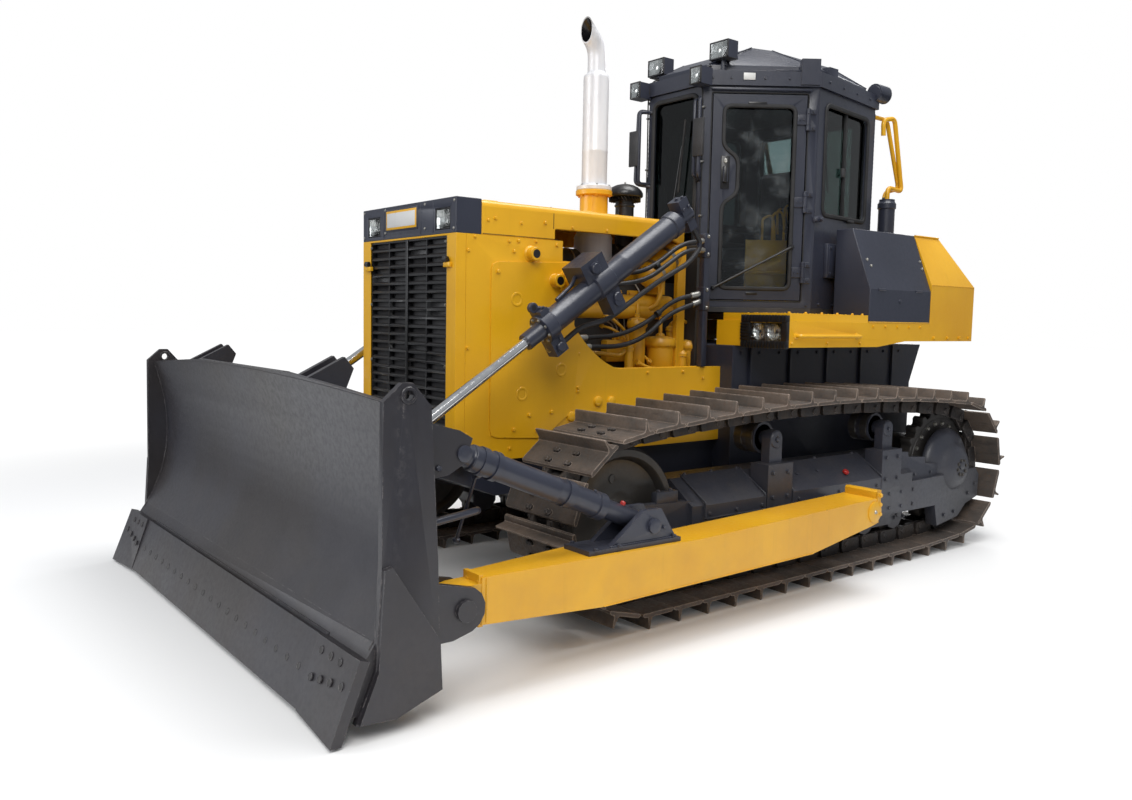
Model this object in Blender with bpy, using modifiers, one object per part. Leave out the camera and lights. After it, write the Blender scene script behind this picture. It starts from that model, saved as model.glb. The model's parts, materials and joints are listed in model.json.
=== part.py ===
# Crawler dozer with a straight blade, built as separate solids.
# Metres, +Z up, ground at zero, the front faces -Y and the machine's left side faces +X.
import math

import bmesh
import bpy
from mathutils import Matrix, Vector

# Air gaps and working margins
GAP = 0.0003
SEAT = 0.0006
RUN = 0.008
OVERRUN = 0.06
MERGE = 0.00002
FLAT_SHARE = 0.002
OVERLAP = 0.004

# Track loops: pitch line round idler and drive wheel
TRACK_X = 1.0
IDLER_Y = -0.90
SPROCKET_Y = 2.18
SPROCKET_LIFT = 0.02
PITCH_RADIUS = 0.395
GROUSER_TIP = 0.145
PLATE_TOP = 0.080
PLATE_UNDER = 0.058
RAIL_TOP = 0.062
RAIL_DEPTH = 0.030
SHOE_WIDTH = 0.56
RAIL_IN = 0.055
RAIL_OUT = 0.100
LINK_COUNT = 40
TIP_PLACE = -1.07
GROUND_END = 1.75
TOP_RISE = 0.080
TRACK_BASE = SPROCKET_Y - IDLER_Y
IDLER_Z = PITCH_RADIUS + GROUSER_TIP
SPROCKET_Z = IDLER_Z + SPROCKET_LIFT
# One shoe from pin to pin: (share of the pitch, share of the grouser's height above the plate)
SHOE_SHARES = ((0.02, 0.0), (0.14, 0.0), (0.18, 1.0), (0.22, 1.0), (0.30, 0.0))
GROUSER_SHARE = 0.20

# Track frames
FRAME_IN = TRACK_X - 0.14
FRAME_OUT = TRACK_X + 0.20
FRAME_TOP = 0.70
FRAME_SHOULDER = 0.575
FRAME_CREST_OUT = TRACK_X + 0.02
FRAME_LOW = 0.33
FRAME_FRONT = -0.49
FRAME_REAR = 1.62
FRAME_TAIL_TOP = 0.48
TAIL_FRONT = 1.55
COVER_SPANS = ((-0.40, 0.09), (0.34, 1.24))
COVER_LIP = 0.014
COVER_FOOT = 0.505
FORK_LOW = 0.44
FORK_HIGH = 0.62
FORK_ROOT_LOW = 0.36
FORK_ROOT_HIGH = 0.60
FORK_REACH = 0.07
FORK_CLEAR = 0.012
FORK_INSET = 0.01
ROLLER_RADIUS = 0.0997
ROLLER_HALF = 0.098
ROLLER_FIRST = -0.42
ROLLER_STEP = 0.335
ROLLER_COUNT = 7
ROLLER_GUARD = ((-0.36, 0.345), (-0.30, 0.225), (1.50, 0.225), (1.60, 0.345))
GUARD_IN = TRACK_X + 0.112
GUARD_OUT = TRACK_X + 0.130
CARRIER_PLACES = (0.22, 1.35)
CARRIER_RADIUS = 0.095
CARRIER_HALF = 0.075
CARRIER_AXLE = 0.03
CARRIER_DROP = 0.004
POST_OUT = TRACK_X + 0.17
POST_THICK = 0.06
POST_WIDTH = 0.11
POST_BOX_IN = TRACK_X + 0.08
POST_BOX_OUT = FRAME_OUT + 0.012
POST_BOX_WIDTH = 0.22
POST_BOX_LOW = 0.50
POST_BOX_TOP = 0.75
PIVOT_Y = 0.66
PIVOT_Z = 0.477
PIVOT_RADIUS = 0.05
PIVOT_REACH = 0.12
# Rear arm outside the drive wheel and the stepped case in front of the final drive (y, z)
ARM_IN_X = TRACK_X + 0.112
ARM_OUT_X = TRACK_X + 0.195
REAR_ARM_OUTLINE = ((1.25, 0.325), (1.28, 0.315), (1.93, 0.315), (1.97, 0.165), (2.24, 0.205), (2.34, 0.285),
                    (2.50, 0.325), (2.505, 0.484), (2.455, 0.535), (1.25, 0.505))
CASE_STEPS_X = TRACK_X + 0.165
CASE_STEPS_OUTLINE = ((1.42, 0.40), (2.00, 0.40), (2.00, 0.60), (1.83, 0.615), (1.82, 0.66), (1.62, 0.675),
                      (1.61, 0.71), (1.42, 0.72))

# Idlers, drive wheels and final drives
IDLER_BORE = 0.055
IDLER_BOSS = 0.11
IDLER_WEB = 0.05
IDLER_RIM = 0.05
IDLER_FLANGE = 0.383
IDLER_SLOPE = 0.03
IDLER_SIDE = 0.005
IDLER_STEP_COUNT = 20
HUB_RADIUS = 0.155
SPROCKET_HALF = 0.045
SPROCKET_TEETH_COUNT = 23
SPROCKET_TIP = 0.40
SPROCKET_ROOT = 0.362
TOOTH_SHARES = ((0.0, 0.0), (0.30, 0.0), (0.45, 1.0), (0.70, 1.0))
# Outer bearing of the final drive: (distance outside the track's centre, radius)
DRIVE_CASE = ((0.240, 0.0), (0.240, 0.085), (0.228, 0.115), (0.205, 0.150), (0.165, 0.185), (0.145, 0.235),
              (0.105, 0.270), (0.075, 0.262), (0.0603, 0.235), (0.0603, 0.0))
HUB_HALF = 0.060
AXLE_RADIUS = 0.20

# Fenders, side boxes and rear tank
FENDER_OUT = 1.03
FENDER_IN = 0.46
FENDER_FRONT = 0.46
FENDER_LOW = 1.41
FENDER_TOP = 1.57
FENDER_RISE_FROM = 1.40
FENDER_RISE_TO = 1.72
FENDER_TAIL_LOW = 1.447
LAMP_POCKET_IN = 0.70
LAMP_POCKET_OUT = 1.015
LAMP_POCKET_LOW = 1.425
LAMP_POCKET_HIGH = 1.555
LAMP_POCKET_DEPTH = 0.06
FENDER_LAMP = 0.02
STEP_TOP = 1.617
STEP_IN = 0.50
STEP_FRONT = 0.475
STEP_REAR = 1.28
STEP_INSET = 0.001
HANDLE_FRONT = 0.54
HANDLE_REAR = 1.16
HANDLE_Z = 1.48
HANDLE_OUT = 0.04
HANDLE_RADIUS = 0.011
TANK_FRONT = 2.02
TANK_REAR = 2.60
TANK_BELT = 1.84
TANK_TOP = 2.19
TANK_TOP_HALF = 0.877
TANK_TOP_REAR = 2.33
BOX_IN = 0.745
BOX_FRONT = 1.29
BOX_BELT = 1.79
# Filler post and grab rail on the tank, beside the cab's rear corner
FILLER_X = 0.60
FILLER_Y = 2.085
FILLER_RADIUS = 0.056
FILLER_TOP = 2.47
RAIL_X = 0.57
RAIL_RADIUS = 0.016
RAIL_BEND = 0.045
# Grab rail (y, z), whose upper end meets the cab's rear wall
RAIL_ROUTE = ((2.085, 2.43), (2.100, 2.53), (2.270, 2.570), (2.080, 3.045))

# Hull
CASE_HALF = 0.62
CASE_FRONT = 0.44
CASE_TOP = FENDER_LOW - GAP
CASE_OUTLINE = ((CASE_FRONT, 0.58), (2.30, 0.46), (2.47, 0.62), (2.47, 1.12), (2.60, CASE_TOP),
                (CASE_FRONT, CASE_TOP))
SHAFT_Y = 1.40
SHAFT_Z = 0.47
SHAFT_RADIUS = 0.08
HITCH_LOW = (-0.16, 2.30, 0.50)
HITCH_HIGH = (0.16, 2.70, 0.62)
HITCH_PIN_Y = 2.60
HITCH_PIN_RADIUS = 0.035
HULL_HALF = 0.48
HULL_LOW = 0.60
HULL_TOP = 0.795
HULL_FRONT = -1.42
HULL_CHAMFER = 0.15
HULL_CHIN = 0.06
BAR_Y = -0.22
BAR_DEPTH = 0.16
BAR_HEIGHT = 0.11

# Front body: guard, cap, hood and side frames
BODY_HALF = 0.52
NOSE_Y = -1.552
GUARD_DEPTH = 0.06
SIDE_SKIN = 0.03
SIDE_LOW = 0.80
SIDE_TOP = 1.985
GRILLE_HALF = 0.426
GRILLE_LOW = 0.93
GRILLE_TOP = 1.975
GRILLE_SET = 0.008
GRILLE_DEPTH = 0.030
GRILLE_BACK = 0.015
GRILLE_COLUMN_COUNT = 4
GRILLE_ROW_COUNT = 22
GRILLE_BAR = 0.010
CORE_DEPTH = 0.10
CAP_DEPTH = 0.153
CAP_TOP = 2.167
LAMP_X = 0.383
LAMP_Z = 2.062
LAMP_HALF_WIDTH = 0.075
LAMP_HALF_HEIGHT = 0.055
LAMP_RECESS = 0.03
LAMP_INSET = 0.008
HOOD_TOP = 2.165
HOOD_REAR = 0.36
HOOD_REAR_HALF = 0.24
HOOD_TAPER_Y = -0.02
HOOD_SKIN = 0.02
HOOD_SKIRT = 2.045
HOOD_ROUND = 0.035
SADDLE_LENGTH = 0.479
NOTCH_Y = -0.866
NOTCH_LOW = 1.876
CUT_TOP_Y = -0.775
CUT_TOP_Z = 1.52
CUT_BEND = (-0.62, 1.325)
CUT_LOW_Y = -0.44
CUT_LOW_Z = 1.272
NOTCH_STEP = 0.02
# Raised panel on each side frame (y, z), then the tube bosses (y, z, radius, reach)
PANEL_OUTLINE = ((-1.339, 0.925), (-0.985, 0.900), (-0.78, 1.04), (-0.74, 1.40), (-0.835, 1.56), (-0.80, 1.868),
                 (-1.339, 1.850))
PANEL_RISE = 0.008
PANEL_ROUND = 0.045
BOSS_TABLE = ((-1.084, 1.902, 0.036, 0.055), (-0.924, 1.765, 0.036, 0.060))

# Engine, pipes and hoses
ENGINE_HALF = 0.24
ENGINE_FRONT = -0.95
ENGINE_REAR = 0.30
ENGINE_LOW = HULL_TOP
ENGINE_TOP = 1.80
FAN_Z = 1.45
FAN_HUB = 0.12
SHELF_OUT = 0.43
SHELF_ROOT = 0.02
SHELF_FRONT = -0.45
SHELF_REAR = 0.42
SHELF_LOW = 1.15
SHELF_TOP = 1.20
# Each can on the shelf: (y, radius, top)
CAN_TABLE = ((-0.122, 0.053, 1.565), (0.08, 0.086, 1.45), (0.334, 0.066, 1.43))
CAN_X = 0.33
LID_DROP = 0.02
LID_HEIGHT = 0.05
LID_SHARE = 1.16
TANK_END_LOW = (0.335, -0.015, 1.845)
TANK_END_HIGH = (0.335, 0.125, 1.965)
TANK_END_RADIUS = 0.088
BRACKET_LOW = (0.20, 0.02, 1.72)
BRACKET_HIGH = (0.36, 0.08, 1.86)
PILLAR_LOW = (0.375, 0.145, 1.16)
PILLAR_HIGH = (0.405, 0.215, 2.04)
MANIFOLD_X = 0.27
MANIFOLD_Z = 1.66
MANIFOLD_RADIUS = 0.055
MANIFOLD_SPAN = (-0.78, 0.20)
STACK_X = 0.0
STACK_Y = -0.217
STACK_RADIUS = 0.080
STACK_NECK = 0.057
STACK_SHOULDER = 3.075
STACK_FUNNEL = 0.03
STACK_KNEE_Z = 3.25
STACK_CUT_Y = -0.305
STACK_RUNOUT = 0.23
STACK_BORE_SHARE = 0.86
STACK_BEND = 0.06
STUB_TOP = 2.365
STUB_FLANGE = 0.115
STUB_RADIUS = 0.088
FLANGE_THICK = 0.03
STACK_PLAY = 0.002
MUFFLER_RADIUS = 0.122
MUFFLER_TOP = HOOD_TOP - HOOD_SKIN - RUN
MUFFLER_LOW = 1.86
MUFFLER_ROUND = 0.035
MUFFLER_PIPE = 0.05
CLEANER_Y = 0.045
CLEANER_RADIUS = 0.118
CLEANER_NECK = 0.060
CLEANER_TOP = 2.435
CLEANER_RIM = 2.330
CLEANER_FLANGE = 0.085
# Dome of the pre-cleaner: (share of its height, share of the rim's radius)
CLEANER_DOME_SHARES = ((1.0, 0.0), (0.97, 0.30), (0.88, 0.58), (0.70, 0.84), (0.45, 1.0))
HOSE_RADIUS = 0.014
HOSE_BEND = 0.05
HOSE_POST_LOW = (0.492, 0.245)
HOSE_POST_HIGH = (0.518, 0.290)
HOSE_POST_TOP = 2.10
# Hoses from the engine to their post, as places (x, y, z)
HOSE_ROUTES = (
    ((0.42, -0.80, 1.45), (0.42, -0.337, 1.465), (0.42, -0.10, 1.555), (0.43, 0.09, 1.69), (0.505, 0.267, 1.735)),
    ((0.455, -0.80, 1.40), (0.455, -0.36, 1.40), (0.455, -0.16, 1.46), (0.455, 0.02, 1.60), (0.505, 0.267, 1.69)),
    ((0.32, -0.50, 1.84), (0.545, -0.30, 1.835), (0.545, -0.15, 1.90), (0.545, 0.05, 2.02), (0.508, 0.267, 2.06)),
    ((0.35, -0.60, 1.76), (0.575, -0.44, 1.76), (0.575, -0.26, 1.80), (0.570, 0.06, 1.98), (0.508, 0.267, 2.00)),
)

# Cab: plan corners of the left half, front post, widest corner and rear corner
CAB_FRONT_HALF = 0.25
CAB_FRONT_Y = 0.48
CAB_WIDE_HALF = 0.72
CAB_WIDE_Y = 1.08
CAB_REAR_HALF = 0.59
CAB_REAR_Y = 1.90
CAB_FLOOR = 1.655
CAB_EAVE = 3.09
CAB_SKIN = 0.05
FRONT_WALL, DOOR_WALL, QUARTER_WALL, REAR_WALL = range(4)
FLOOR_THICK = 0.035
CAB_FOOT_X = 0.38
CAB_FOOT_FRONT = 0.98
CAB_FOOT_REAR = 1.80
CAB_FOOT_RADIUS = 0.055
CONSOLE_LOW = (0.30, 1.15)
CONSOLE_HIGH = (0.44, 1.60)
CONSOLE_TOP = 2.16
DOOR_FROM = 0.065
DOOR_TO = 0.070
DOOR_SILL = 0.045
DOOR_HEAD = 0.045
DOOR_GAP = 0.006
# Recess in the glass round the door handle: heights and depth from the front edge
HANDLE_LOW = 2.33
HANDLE_HIGH = 2.70
HANDLE_SLOPE = 0.07
HANDLE_DEPTH = 0.10
HINGE_OUT = 0.016
HINGE_HEIGHTS = (1.89, 2.35, 2.88)
HINGE_HALF = 0.035
HINGE_RADIUS = 0.014
HINGE_STRAP = 0.07
FRAME_STRAP = 0.052
HINGE_INSET = 0.003
HINGE_ROOT = 0.008
GRIP_WIDTH = 0.03
GRIP_OUT = 0.035
PANE = 0.006
PANE_RIM = 0.075
WINDOW_ROUND = 0.05
# Each fixed window: wall, margins from its two ends, foot and head heights
WINDOW_TABLE = {
    "front": (FRONT_WALL, 0.045, 0.045, 1.98, 3.04),
    "side": (QUARTER_WALL, 0.10, 0.10, 2.28, 3.00),
    "rear": (REAR_WALL, 0.16, 0.16, 2.28, 3.00),
}
# Hand rail beside each front post: (x, y, z)
POST_RAIL_RADIUS = 0.012
POST_RAIL_ROUTE = ((0.224, 0.505, 2.985), (0.262, 0.400, 2.985), (0.262, 0.400, 2.500), (0.224, 0.505, 2.500))

# Cab roof: a band over the walls, a hipped cap, lamps on it
BAND_HEIGHT = 0.095
BAND_OVERHANG = 0.02
CAP_RIM_IN = 0.055
CAP_RIM_Z = 3.235
ROOF_TOP = 3.385
# Corners of the cap's flat top, in the order of the plan's corners
CAP_TOP_PLACES = ((-0.31, 0.86), (0.31, 0.86), (0.36, 1.02), (0.36, 1.66), (-0.36, 1.66), (-0.36, 1.02))
# Box over the door's hinges: from, to along the door wall; foot, head; reach
CORNER_BOX = (0.635, 0.757, 3.10, 3.265, 0.03)
QUARTER_BOX_LOW = (0.56, 1.25, 3.17)
QUARTER_BOX_HIGH = (0.665, 1.345, 3.262)
WORK_LAMP_LOW = (0.215, 0.575, 3.265)
WORK_LAMP_HIGH = (0.375, 0.665, 3.378)
WORK_LAMP_STEM = (0.295, 0.62)
WORK_STEM_RADIUS = 0.018
CORNER_LAMP_LOW = (0.235, 0.375, 3.075)
CORNER_LAMP_HIGH = (0.335, 0.476, 3.182)
REAR_LAMP_X = 0.60
REAR_LAMP_Y = 1.99
REAR_LAMP_Z = 3.205
REAR_LAMP_RADIUS = 0.060
REAR_LAMP_DEPTH = 0.13

# Seat
SEAT_BASE_LOW = (-0.20, 1.20)
SEAT_BASE_HIGH = (0.20, 1.60)
SEAT_BASE_TOP = 2.0
CUSHION_LOW = (-0.25, 1.12, 1.98)
CUSHION_HIGH = (0.25, 1.62, 2.10)
BACK_LOW = (-0.25, 1.61, 1.99)
BACK_HIGH = (0.25, 1.745, 2.72)

# Blade, arms and braces
BLADE_PIN_Y = -2.144
BLADE_PIN_Z = 0.412
ARM_CLEAR = 0.036
ARM_WIDTH = 0.234
ARM_IN = TRACK_X + SHOE_WIDTH / 2 + ARM_CLEAR
ARM_OUT = ARM_IN + ARM_WIDTH
ARM_NARROWING = 0.104
ARM_NOSE_IN = ARM_IN + ARM_NARROWING
BLADE_OVERHANG = 0.032
BLADE_HALF = ARM_OUT + BLADE_OVERHANG
BOARD_TOP = (-2.49, 1.305)
BOARD_BELLY = (-2.27, 0.72)
BOARD_FOOT = (-2.560, 0.31)
BOARD_SKIN = 0.03
BOARD_BACK_Y = -2.29
BOARD_BACK_Z = 0.62
BOARD_BACK_FROM = 0.66
BOARD_KEEL = ((-2.50, 0.075), (-2.29, 0.13))
BOARD_EDGE_HIGH = 0.296
BOARD_EDGE_LOW = 0.10
# Fall of the board's top edge towards each end: (x, z)
CROWN_TABLE = ((0.60, 1.304), (1.13, 1.272), (1.50, 1.246), (1.70, 1.240))
CHEEK = 0.03
CHEEK_OUTLINE = ((-2.614, 0.066), (-2.46, 0.055), (-2.258, 0.124), (-2.272, 0.638), (-2.306, 1.228),
                 (-2.385, 1.318), (-2.43, 1.318), (-2.505, 1.251), (-2.511, 0.635), (-2.536, 0.252))
CHEEK_EYE = (-2.402, 1.272)
CHEEK_EYE_RADIUS = 0.020
WEAR = 0.022
WEAR_OUTLINE = ((-2.608, 0.072), (-2.46, 0.062), (-2.262, 0.130), (-2.272, 0.328), (-2.476, 0.640),
                (-2.508, 0.633), (-2.533, 0.252))
EDGE_TOP_Y = -2.5683
EDGE_TOP_Z = 0.30
EDGE_FOOT_Z = 0.023
EDGE_LEAN_SHARE = 0.3827
EDGE_NOSE = (-2.698, 0.030)
EDGE_SHOULDER = (-2.595, 0.31)
BIT_LENGTH = 0.356
BIT_END = BLADE_HALF + 0.018
BIT_START = BIT_END - BIT_LENGTH
BIT_LAP = 0.01
BIT_RISE = 0.004
BIT_FOOT_Z = 0.010
BIT_NOSE = (-2.724, 0.012)
BIT_SHOULDER = (-2.606, 0.316)
BIT_INNER_NOSE = (-2.7010, 0.0275)
BIT_INNER_FOOT_Z = 0.0205
ARM_FRONT = -2.05
ARM_EYE_INSET = 0.004
ARM_TAPER_Y = -1.45
ARM_REAR = 0.705
ARM_OUTLINE = ((ARM_FRONT, 0.328), (-1.414, 0.287), (0.103, 0.312), (0.64, 0.396), (ARM_REAR, 0.41),
               (ARM_REAR, 0.554), (-0.796, 0.511), (ARM_FRONT, 0.523))
ARM_FLANGE = 0.02
ARM_CAP_OUTLINE = ((0.685, 0.435), (0.735, 0.438), (0.735, 0.597), (0.695, 0.600), (0.685, 0.59))
ARM_EYE_BACK = -1.98
ARM_EYE_LOW = 0.345
ARM_EYE_HIGH = 0.50
ARM_EYE_RADIUS = 0.085
CLEVIS_FRONT = -2.32
CLEVIS_LOW = 0.30
CLEVIS_HIGH = 0.55
CLEVIS_STEP = -2.20
CLEVIS_RADIUS = 0.095
CLEVIS_THICK = 0.03
CLEVIS_PIN = 0.045
CLEVIS_HEAD = 0.018
# Lower eye of the tilt brace (y, z)
BRACE_FOOT = (-1.07, 0.605)
BRACE_FOOT_X = ARM_IN + ARM_WIDTH / 2
BRACE_LEAN = 0.055
BRACE_HEAD_X = BRACE_FOOT_X - BRACE_LEAN
BRACE_HEAD_Y = -2.08
BRACE_HEAD_Z = 1.015
BRACE_PIN = 0.028
BRACE_PIN_HEAD = 0.012
BRACE_RADIUS = 0.056
BRACE_NECK = 0.046
BRACE_STEP_SHARE = 0.44
BRACE_SLEEVE_SHARE = 0.93
BRACE_COLLAR = 0.063
BRACE_COLLAR_SHARES = ((0.42, 0.46), (0.86, 0.89))
BRACE_EYE = 0.052
BRACE_EYE_HALF = 0.045
BRACE_TUBE_SHARES = (0.05, 0.965)
BASE_MARGIN = 0.027
BASE_FRONT = -1.47
BASE_REAR = -0.90
BASE_THICK = 0.022
BRACE_LUG_OUTLINE = ((-1.35, 0.525), (-0.915, 0.525), (-1.02, 0.682), (-1.13, 0.682))
# Lugs beside each eye of the brace: distances from the eye's middle
BRACKET_IN = 0.048
BRACKET_OUT = 0.076
BRACKET_OUTLINE = ((-2.42, 0.90), (-2.15, 0.935), (-2.075, 0.975), (-2.04, 1.075), (-2.10, 1.11), (-2.24, 1.148),
                   (-2.42, 1.12))

# Lift cylinders, with places along the barrel from its pivot, positive towards the rod
LIFT_X = 0.75
LIFT_PIVOT_Y = -0.787
LIFT_PIVOT_Z = 1.755
LIFT_EYE_Y = -2.105
LIFT_EYE_Z = 0.893
TRUNNION_BORE = 0.0356
TRUNNION_RADIUS = 0.035
TRUNNION_INNER = 0.02
# Bearing on the side frame: (distance outside its face, radius)
BEARING_TABLE = ((0.085, 0.075), (0.020, 0.085), (0.020, 0.11))
BARREL_RADIUS = 0.067
BARREL_FRONT = 0.43
BARREL_BACK = 0.66
BARREL_BORE_FROM = 0.75
BARREL_BORE_TO = 0.61
GLAND_TABLE = ((0.400, 0.470, 0.080), (0.455, 0.585, 0.045))
RING_TABLE = ((-0.062, 0.062, 0.078), (-0.655, -0.60, 0.074), (-0.79, -0.62, 0.042))
# Blocks on the barrel: (along low, along high, up low, up high, x low, x high)
BLOCK_TABLE = (
    (-0.060, 0.110, 0.050, 0.158, 0.640, 0.800),
    (-0.070, 0.035, -0.180, -0.050, 0.705, 0.795),
    (0.385, 0.470, -0.165, -0.060, 0.705, 0.785),
    (0.400, 0.455, 0.060, 0.100, 0.705, 0.795),
    (-0.775, -0.700, 0.010, 0.105, 0.705, 0.795),
    (-0.800, -0.735, -0.100, 0.020, 0.695, 0.765),
)
# Small pins across the barrel's blocks: (along, up, radius, x low, x high)
STUD_TABLE = ((0.030, 0.108, 0.030, 0.625, 0.820), (-0.020, -0.125, 0.026, 0.690, 0.812),
              (0.430, -0.125, 0.024, 0.690, 0.800))
LEVER = ((0.75, -1.085, 1.600), (0.75, -1.235, 1.612))
LEVER_RADIUS = 0.013
LEVER_EYE = 0.027
LEVER_EYE_HALF = 0.012
FEED_ROUTE = ((0.735, -1.115, 1.400), (0.715, -1.02, 1.425), (0.700, -0.88, 1.515), (0.700, -0.68, 1.560),
              (0.700, -0.44, 1.705), (0.700, -0.28, 1.795), (0.700, -0.06, 1.900), (0.700, 0.045, 2.010),
              (0.725, -0.09, 2.130))
FEED_BEND = 0.035
ROD_RADIUS = 0.028
ROD_INSIDE = 0.30
EYE_RADIUS = 0.055
EYE_HALF = 0.035
LUG_THICK = 0.03
LUG_FRONT_Y = -2.388
LUG_REAR_Y = -2.27
LUG_REACH = 0.20
LUG_RADIUS = 0.075
EYE_CLEAR = 0.006
# Top of each lift lug, which shows over the board's edge (y, z)
LUG_CROWN = ((-2.268, 1.14), (-2.292, 1.238), (-2.256, 1.326), (-2.298, 1.377), (-2.470, 1.290), (-2.44, 1.12))

COLOURS = {
    "yellow": (0.83, 0.47, 0.03, 0.38, 0.0),
    "slate": (0.085, 0.088, 0.11, 0.42, 0.0),
    "blade": (0.075, 0.072, 0.078, 0.5, 0.1),
    "rust": (0.16, 0.105, 0.07, 0.7, 0.3),
    "cast": (0.06, 0.055, 0.05, 0.6, 0.4),
    "black": (0.015, 0.015, 0.017, 0.5, 0.0),
    "bright": (0.75, 0.76, 0.78, 0.12, 1.0),
    "white": (0.72, 0.73, 0.75, 0.35, 0.0),
    "glass": (0.25, 0.3, 0.33, 0.05, 0.0),
    "cloth": (0.05, 0.05, 0.055, 0.85, 0.0),
}


def clear_scene():
    for thing in list(bpy.data.objects):
        bpy.data.objects.remove(thing)


def paint(name):
    found = bpy.data.materials.get(name)
    if found:
        return found
    red, green, blue, rough, metal = COLOURS[name]
    made = bpy.data.materials.new(name)
    made.use_nodes = True
    shader = made.node_tree.nodes["Principled BSDF"]
    shader.inputs["Base Color"].default_value = (red, green, blue, 1.0)
    shader.inputs["Roughness"].default_value = rough
    shader.inputs["Metallic"].default_value = metal
    return made


def linked(name, data):
    made = bpy.data.objects.new(name, data)
    machine.objects.link(made)
    return made


def evaluated_mesh(thing):
    graph = bpy.context.evaluated_depsgraph_get()
    return bpy.data.meshes.new_from_object(thing.evaluated_get(graph))


def tidy(mesh):
    work = bmesh.new()
    work.from_mesh(mesh)
    bmesh.ops.remove_doubles(work, verts=work.verts, dist=MERGE)
    bmesh.ops.recalc_face_normals(work, faces=work.faces)
    work.to_mesh(mesh)
    work.free()


def baked(thing):
    # A curve or modified piece becomes a plain mesh in world space
    bpy.context.view_layer.update()
    name = thing.name
    mesh = evaluated_mesh(thing)
    mesh.transform(thing.matrix_world)
    tidy(mesh)
    bpy.data.objects.remove(thing)
    return linked(name, mesh)


AXIS_TURNS = {
    "X": Matrix(((0, 0, 1, 0), (1, 0, 0, 0), (0, 1, 0, 0), (0, 0, 0, 1))),
    "Y": Matrix(((1, 0, 0, 0), (0, 0, -1, 0), (0, 1, 0, 0), (0, 0, 0, 1))),
    "Z": Matrix.Identity(4),
}


def slab(name, outline, axis, low, high, holes=()):
    # A flat outline pushed along one axis: (y, z) for X, (x, z) for Y, (x, y) for Z
    if holes:
        reach = (axis, low - OVERRUN, high + OVERRUN)
        return cut(slab(name, outline, axis, low, high), *(slab("hole", hole, *reach) for hole in holes))
    data = bpy.data.curves.new(name, "CURVE")
    data.dimensions = "2D"
    data.fill_mode = "BOTH"
    data.extrude = (high - low) / 2
    outline = corners_of(outline)
    spline = data.splines.new("POLY")
    spline.points.add(len(outline) - 1)
    for point, (a, b) in zip(spline.points, outline):
        point.co = (a, b, 0, 1)
    spline.use_cyclic_u = True
    made = linked(name, data)
    shift = Vector([(low + high) / 2 if letter == axis else 0 for letter in "XYZ"])
    made.matrix_world = Matrix.Translation(shift) @ AXIS_TURNS[axis]
    made = baked(made)
    merge_ends(made.data, "XYZ".index(axis), low, high)
    return made


def merge_ends(mesh, axis, low, high):
    # Each end of a slab becomes one face
    work = bmesh.new()
    work.from_mesh(mesh)
    for place in (low, high):
        flat = [face for face in work.faces if all(abs(v.co[axis] - place) < MERGE for v in face.verts)]
        bmesh.ops.dissolve_faces(work, faces=flat)
    work.to_mesh(mesh)
    work.free()


def corners_of(outline):
    # The outline without the points that lie along its straight sides
    kept = []
    for i, point in enumerate(outline):
        before = Vector(point) - Vector(outline[i - 1])
        after = Vector(outline[(i + 1) % len(outline)]) - Vector(point)
        if abs(before.normalized().cross(after.normalized())) > FLAT_SHARE:
            kept.append(point)
    return kept


def block(name, low, high):
    low, high = Vector(low), Vector(high)
    mesh = bpy.data.meshes.new(name)
    work = bmesh.new()
    bmesh.ops.create_cube(work, size=1)
    size = Matrix.Diagonal((*(high - low), 1))
    bmesh.ops.transform(work, matrix=Matrix.Translation((low + high) / 2) @ size, verts=work.verts)
    work.to_mesh(mesh)
    work.free()
    return linked(name, mesh)


def rod(name, start, end, radius, end_radius=None, sides=16):
    start, end = Vector(start), Vector(end)
    along = end - start
    mesh = bpy.data.meshes.new(name)
    work = bmesh.new()
    bmesh.ops.create_cone(
        work,
        cap_ends=True,
        segments=sides,
        radius1=radius,
        radius2=radius if end_radius is None else end_radius,
        depth=along.length,
    )
    turn = along.to_track_quat("Z", "Y").to_matrix().to_4x4()
    bmesh.ops.transform(work, matrix=Matrix.Translation((start + end) / 2) @ turn, verts=work.verts)
    work.to_mesh(mesh)
    work.free()
    return linked(name, mesh)


def turned(name, profile, centre, axis="X", steps=32):
    # A profile of (distance along the axis, radius) points, from the +axis end to the other end
    mesh = bpy.data.meshes.new(name)
    points = [(radius, 0, along) for along, radius in profile]
    mesh.from_pydata(points, [(i, i + 1) for i in range(len(points) - 1)], [])
    made = linked(name, mesh)
    screw = made.modifiers.new("turn", "SCREW")
    screw.steps = steps
    screw.render_steps = steps
    screw.use_merge_vertices = True
    screw.merge_threshold = MERGE
    made.matrix_world = Matrix.Translation(centre) @ AXIS_TURNS[axis]
    return baked(made)


def combined(piece, others, operation):
    for other in others:
        step = piece.modifiers.new(operation.lower(), "BOOLEAN")
        step.operation = operation
        step.object = other
        step.solver = "EXACT"
    bpy.context.view_layer.update()
    mesh = evaluated_mesh(piece)
    tidy(mesh)
    name = piece.name
    for thing in (piece, *others):
        bpy.data.objects.remove(thing)
    made = linked(name, mesh)
    made.name = name
    return made


def fused(piece, *others):
    return combined(piece, others, "UNION")


def cut(piece, *others):
    return combined(piece, others, "DIFFERENCE")


def dress(thing, colour, smooth=False):
    thing.data.materials.clear()
    thing.data.materials.append(paint(colour))
    if smooth:
        thing.data.shade_smooth()
        thing.data.set_sharp_from_angle(angle=math.radians(35))
    return thing


def mirrored(thing, name):
    mesh = thing.data.copy()
    mesh.transform(Matrix.Diagonal((-1, 1, 1, 1)))
    mesh.flip_normals()
    return linked(name, mesh)


def both_sides(thing, stem):
    thing.name = stem + "_left"
    return thing, mirrored(thing, stem + "_right")


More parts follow.
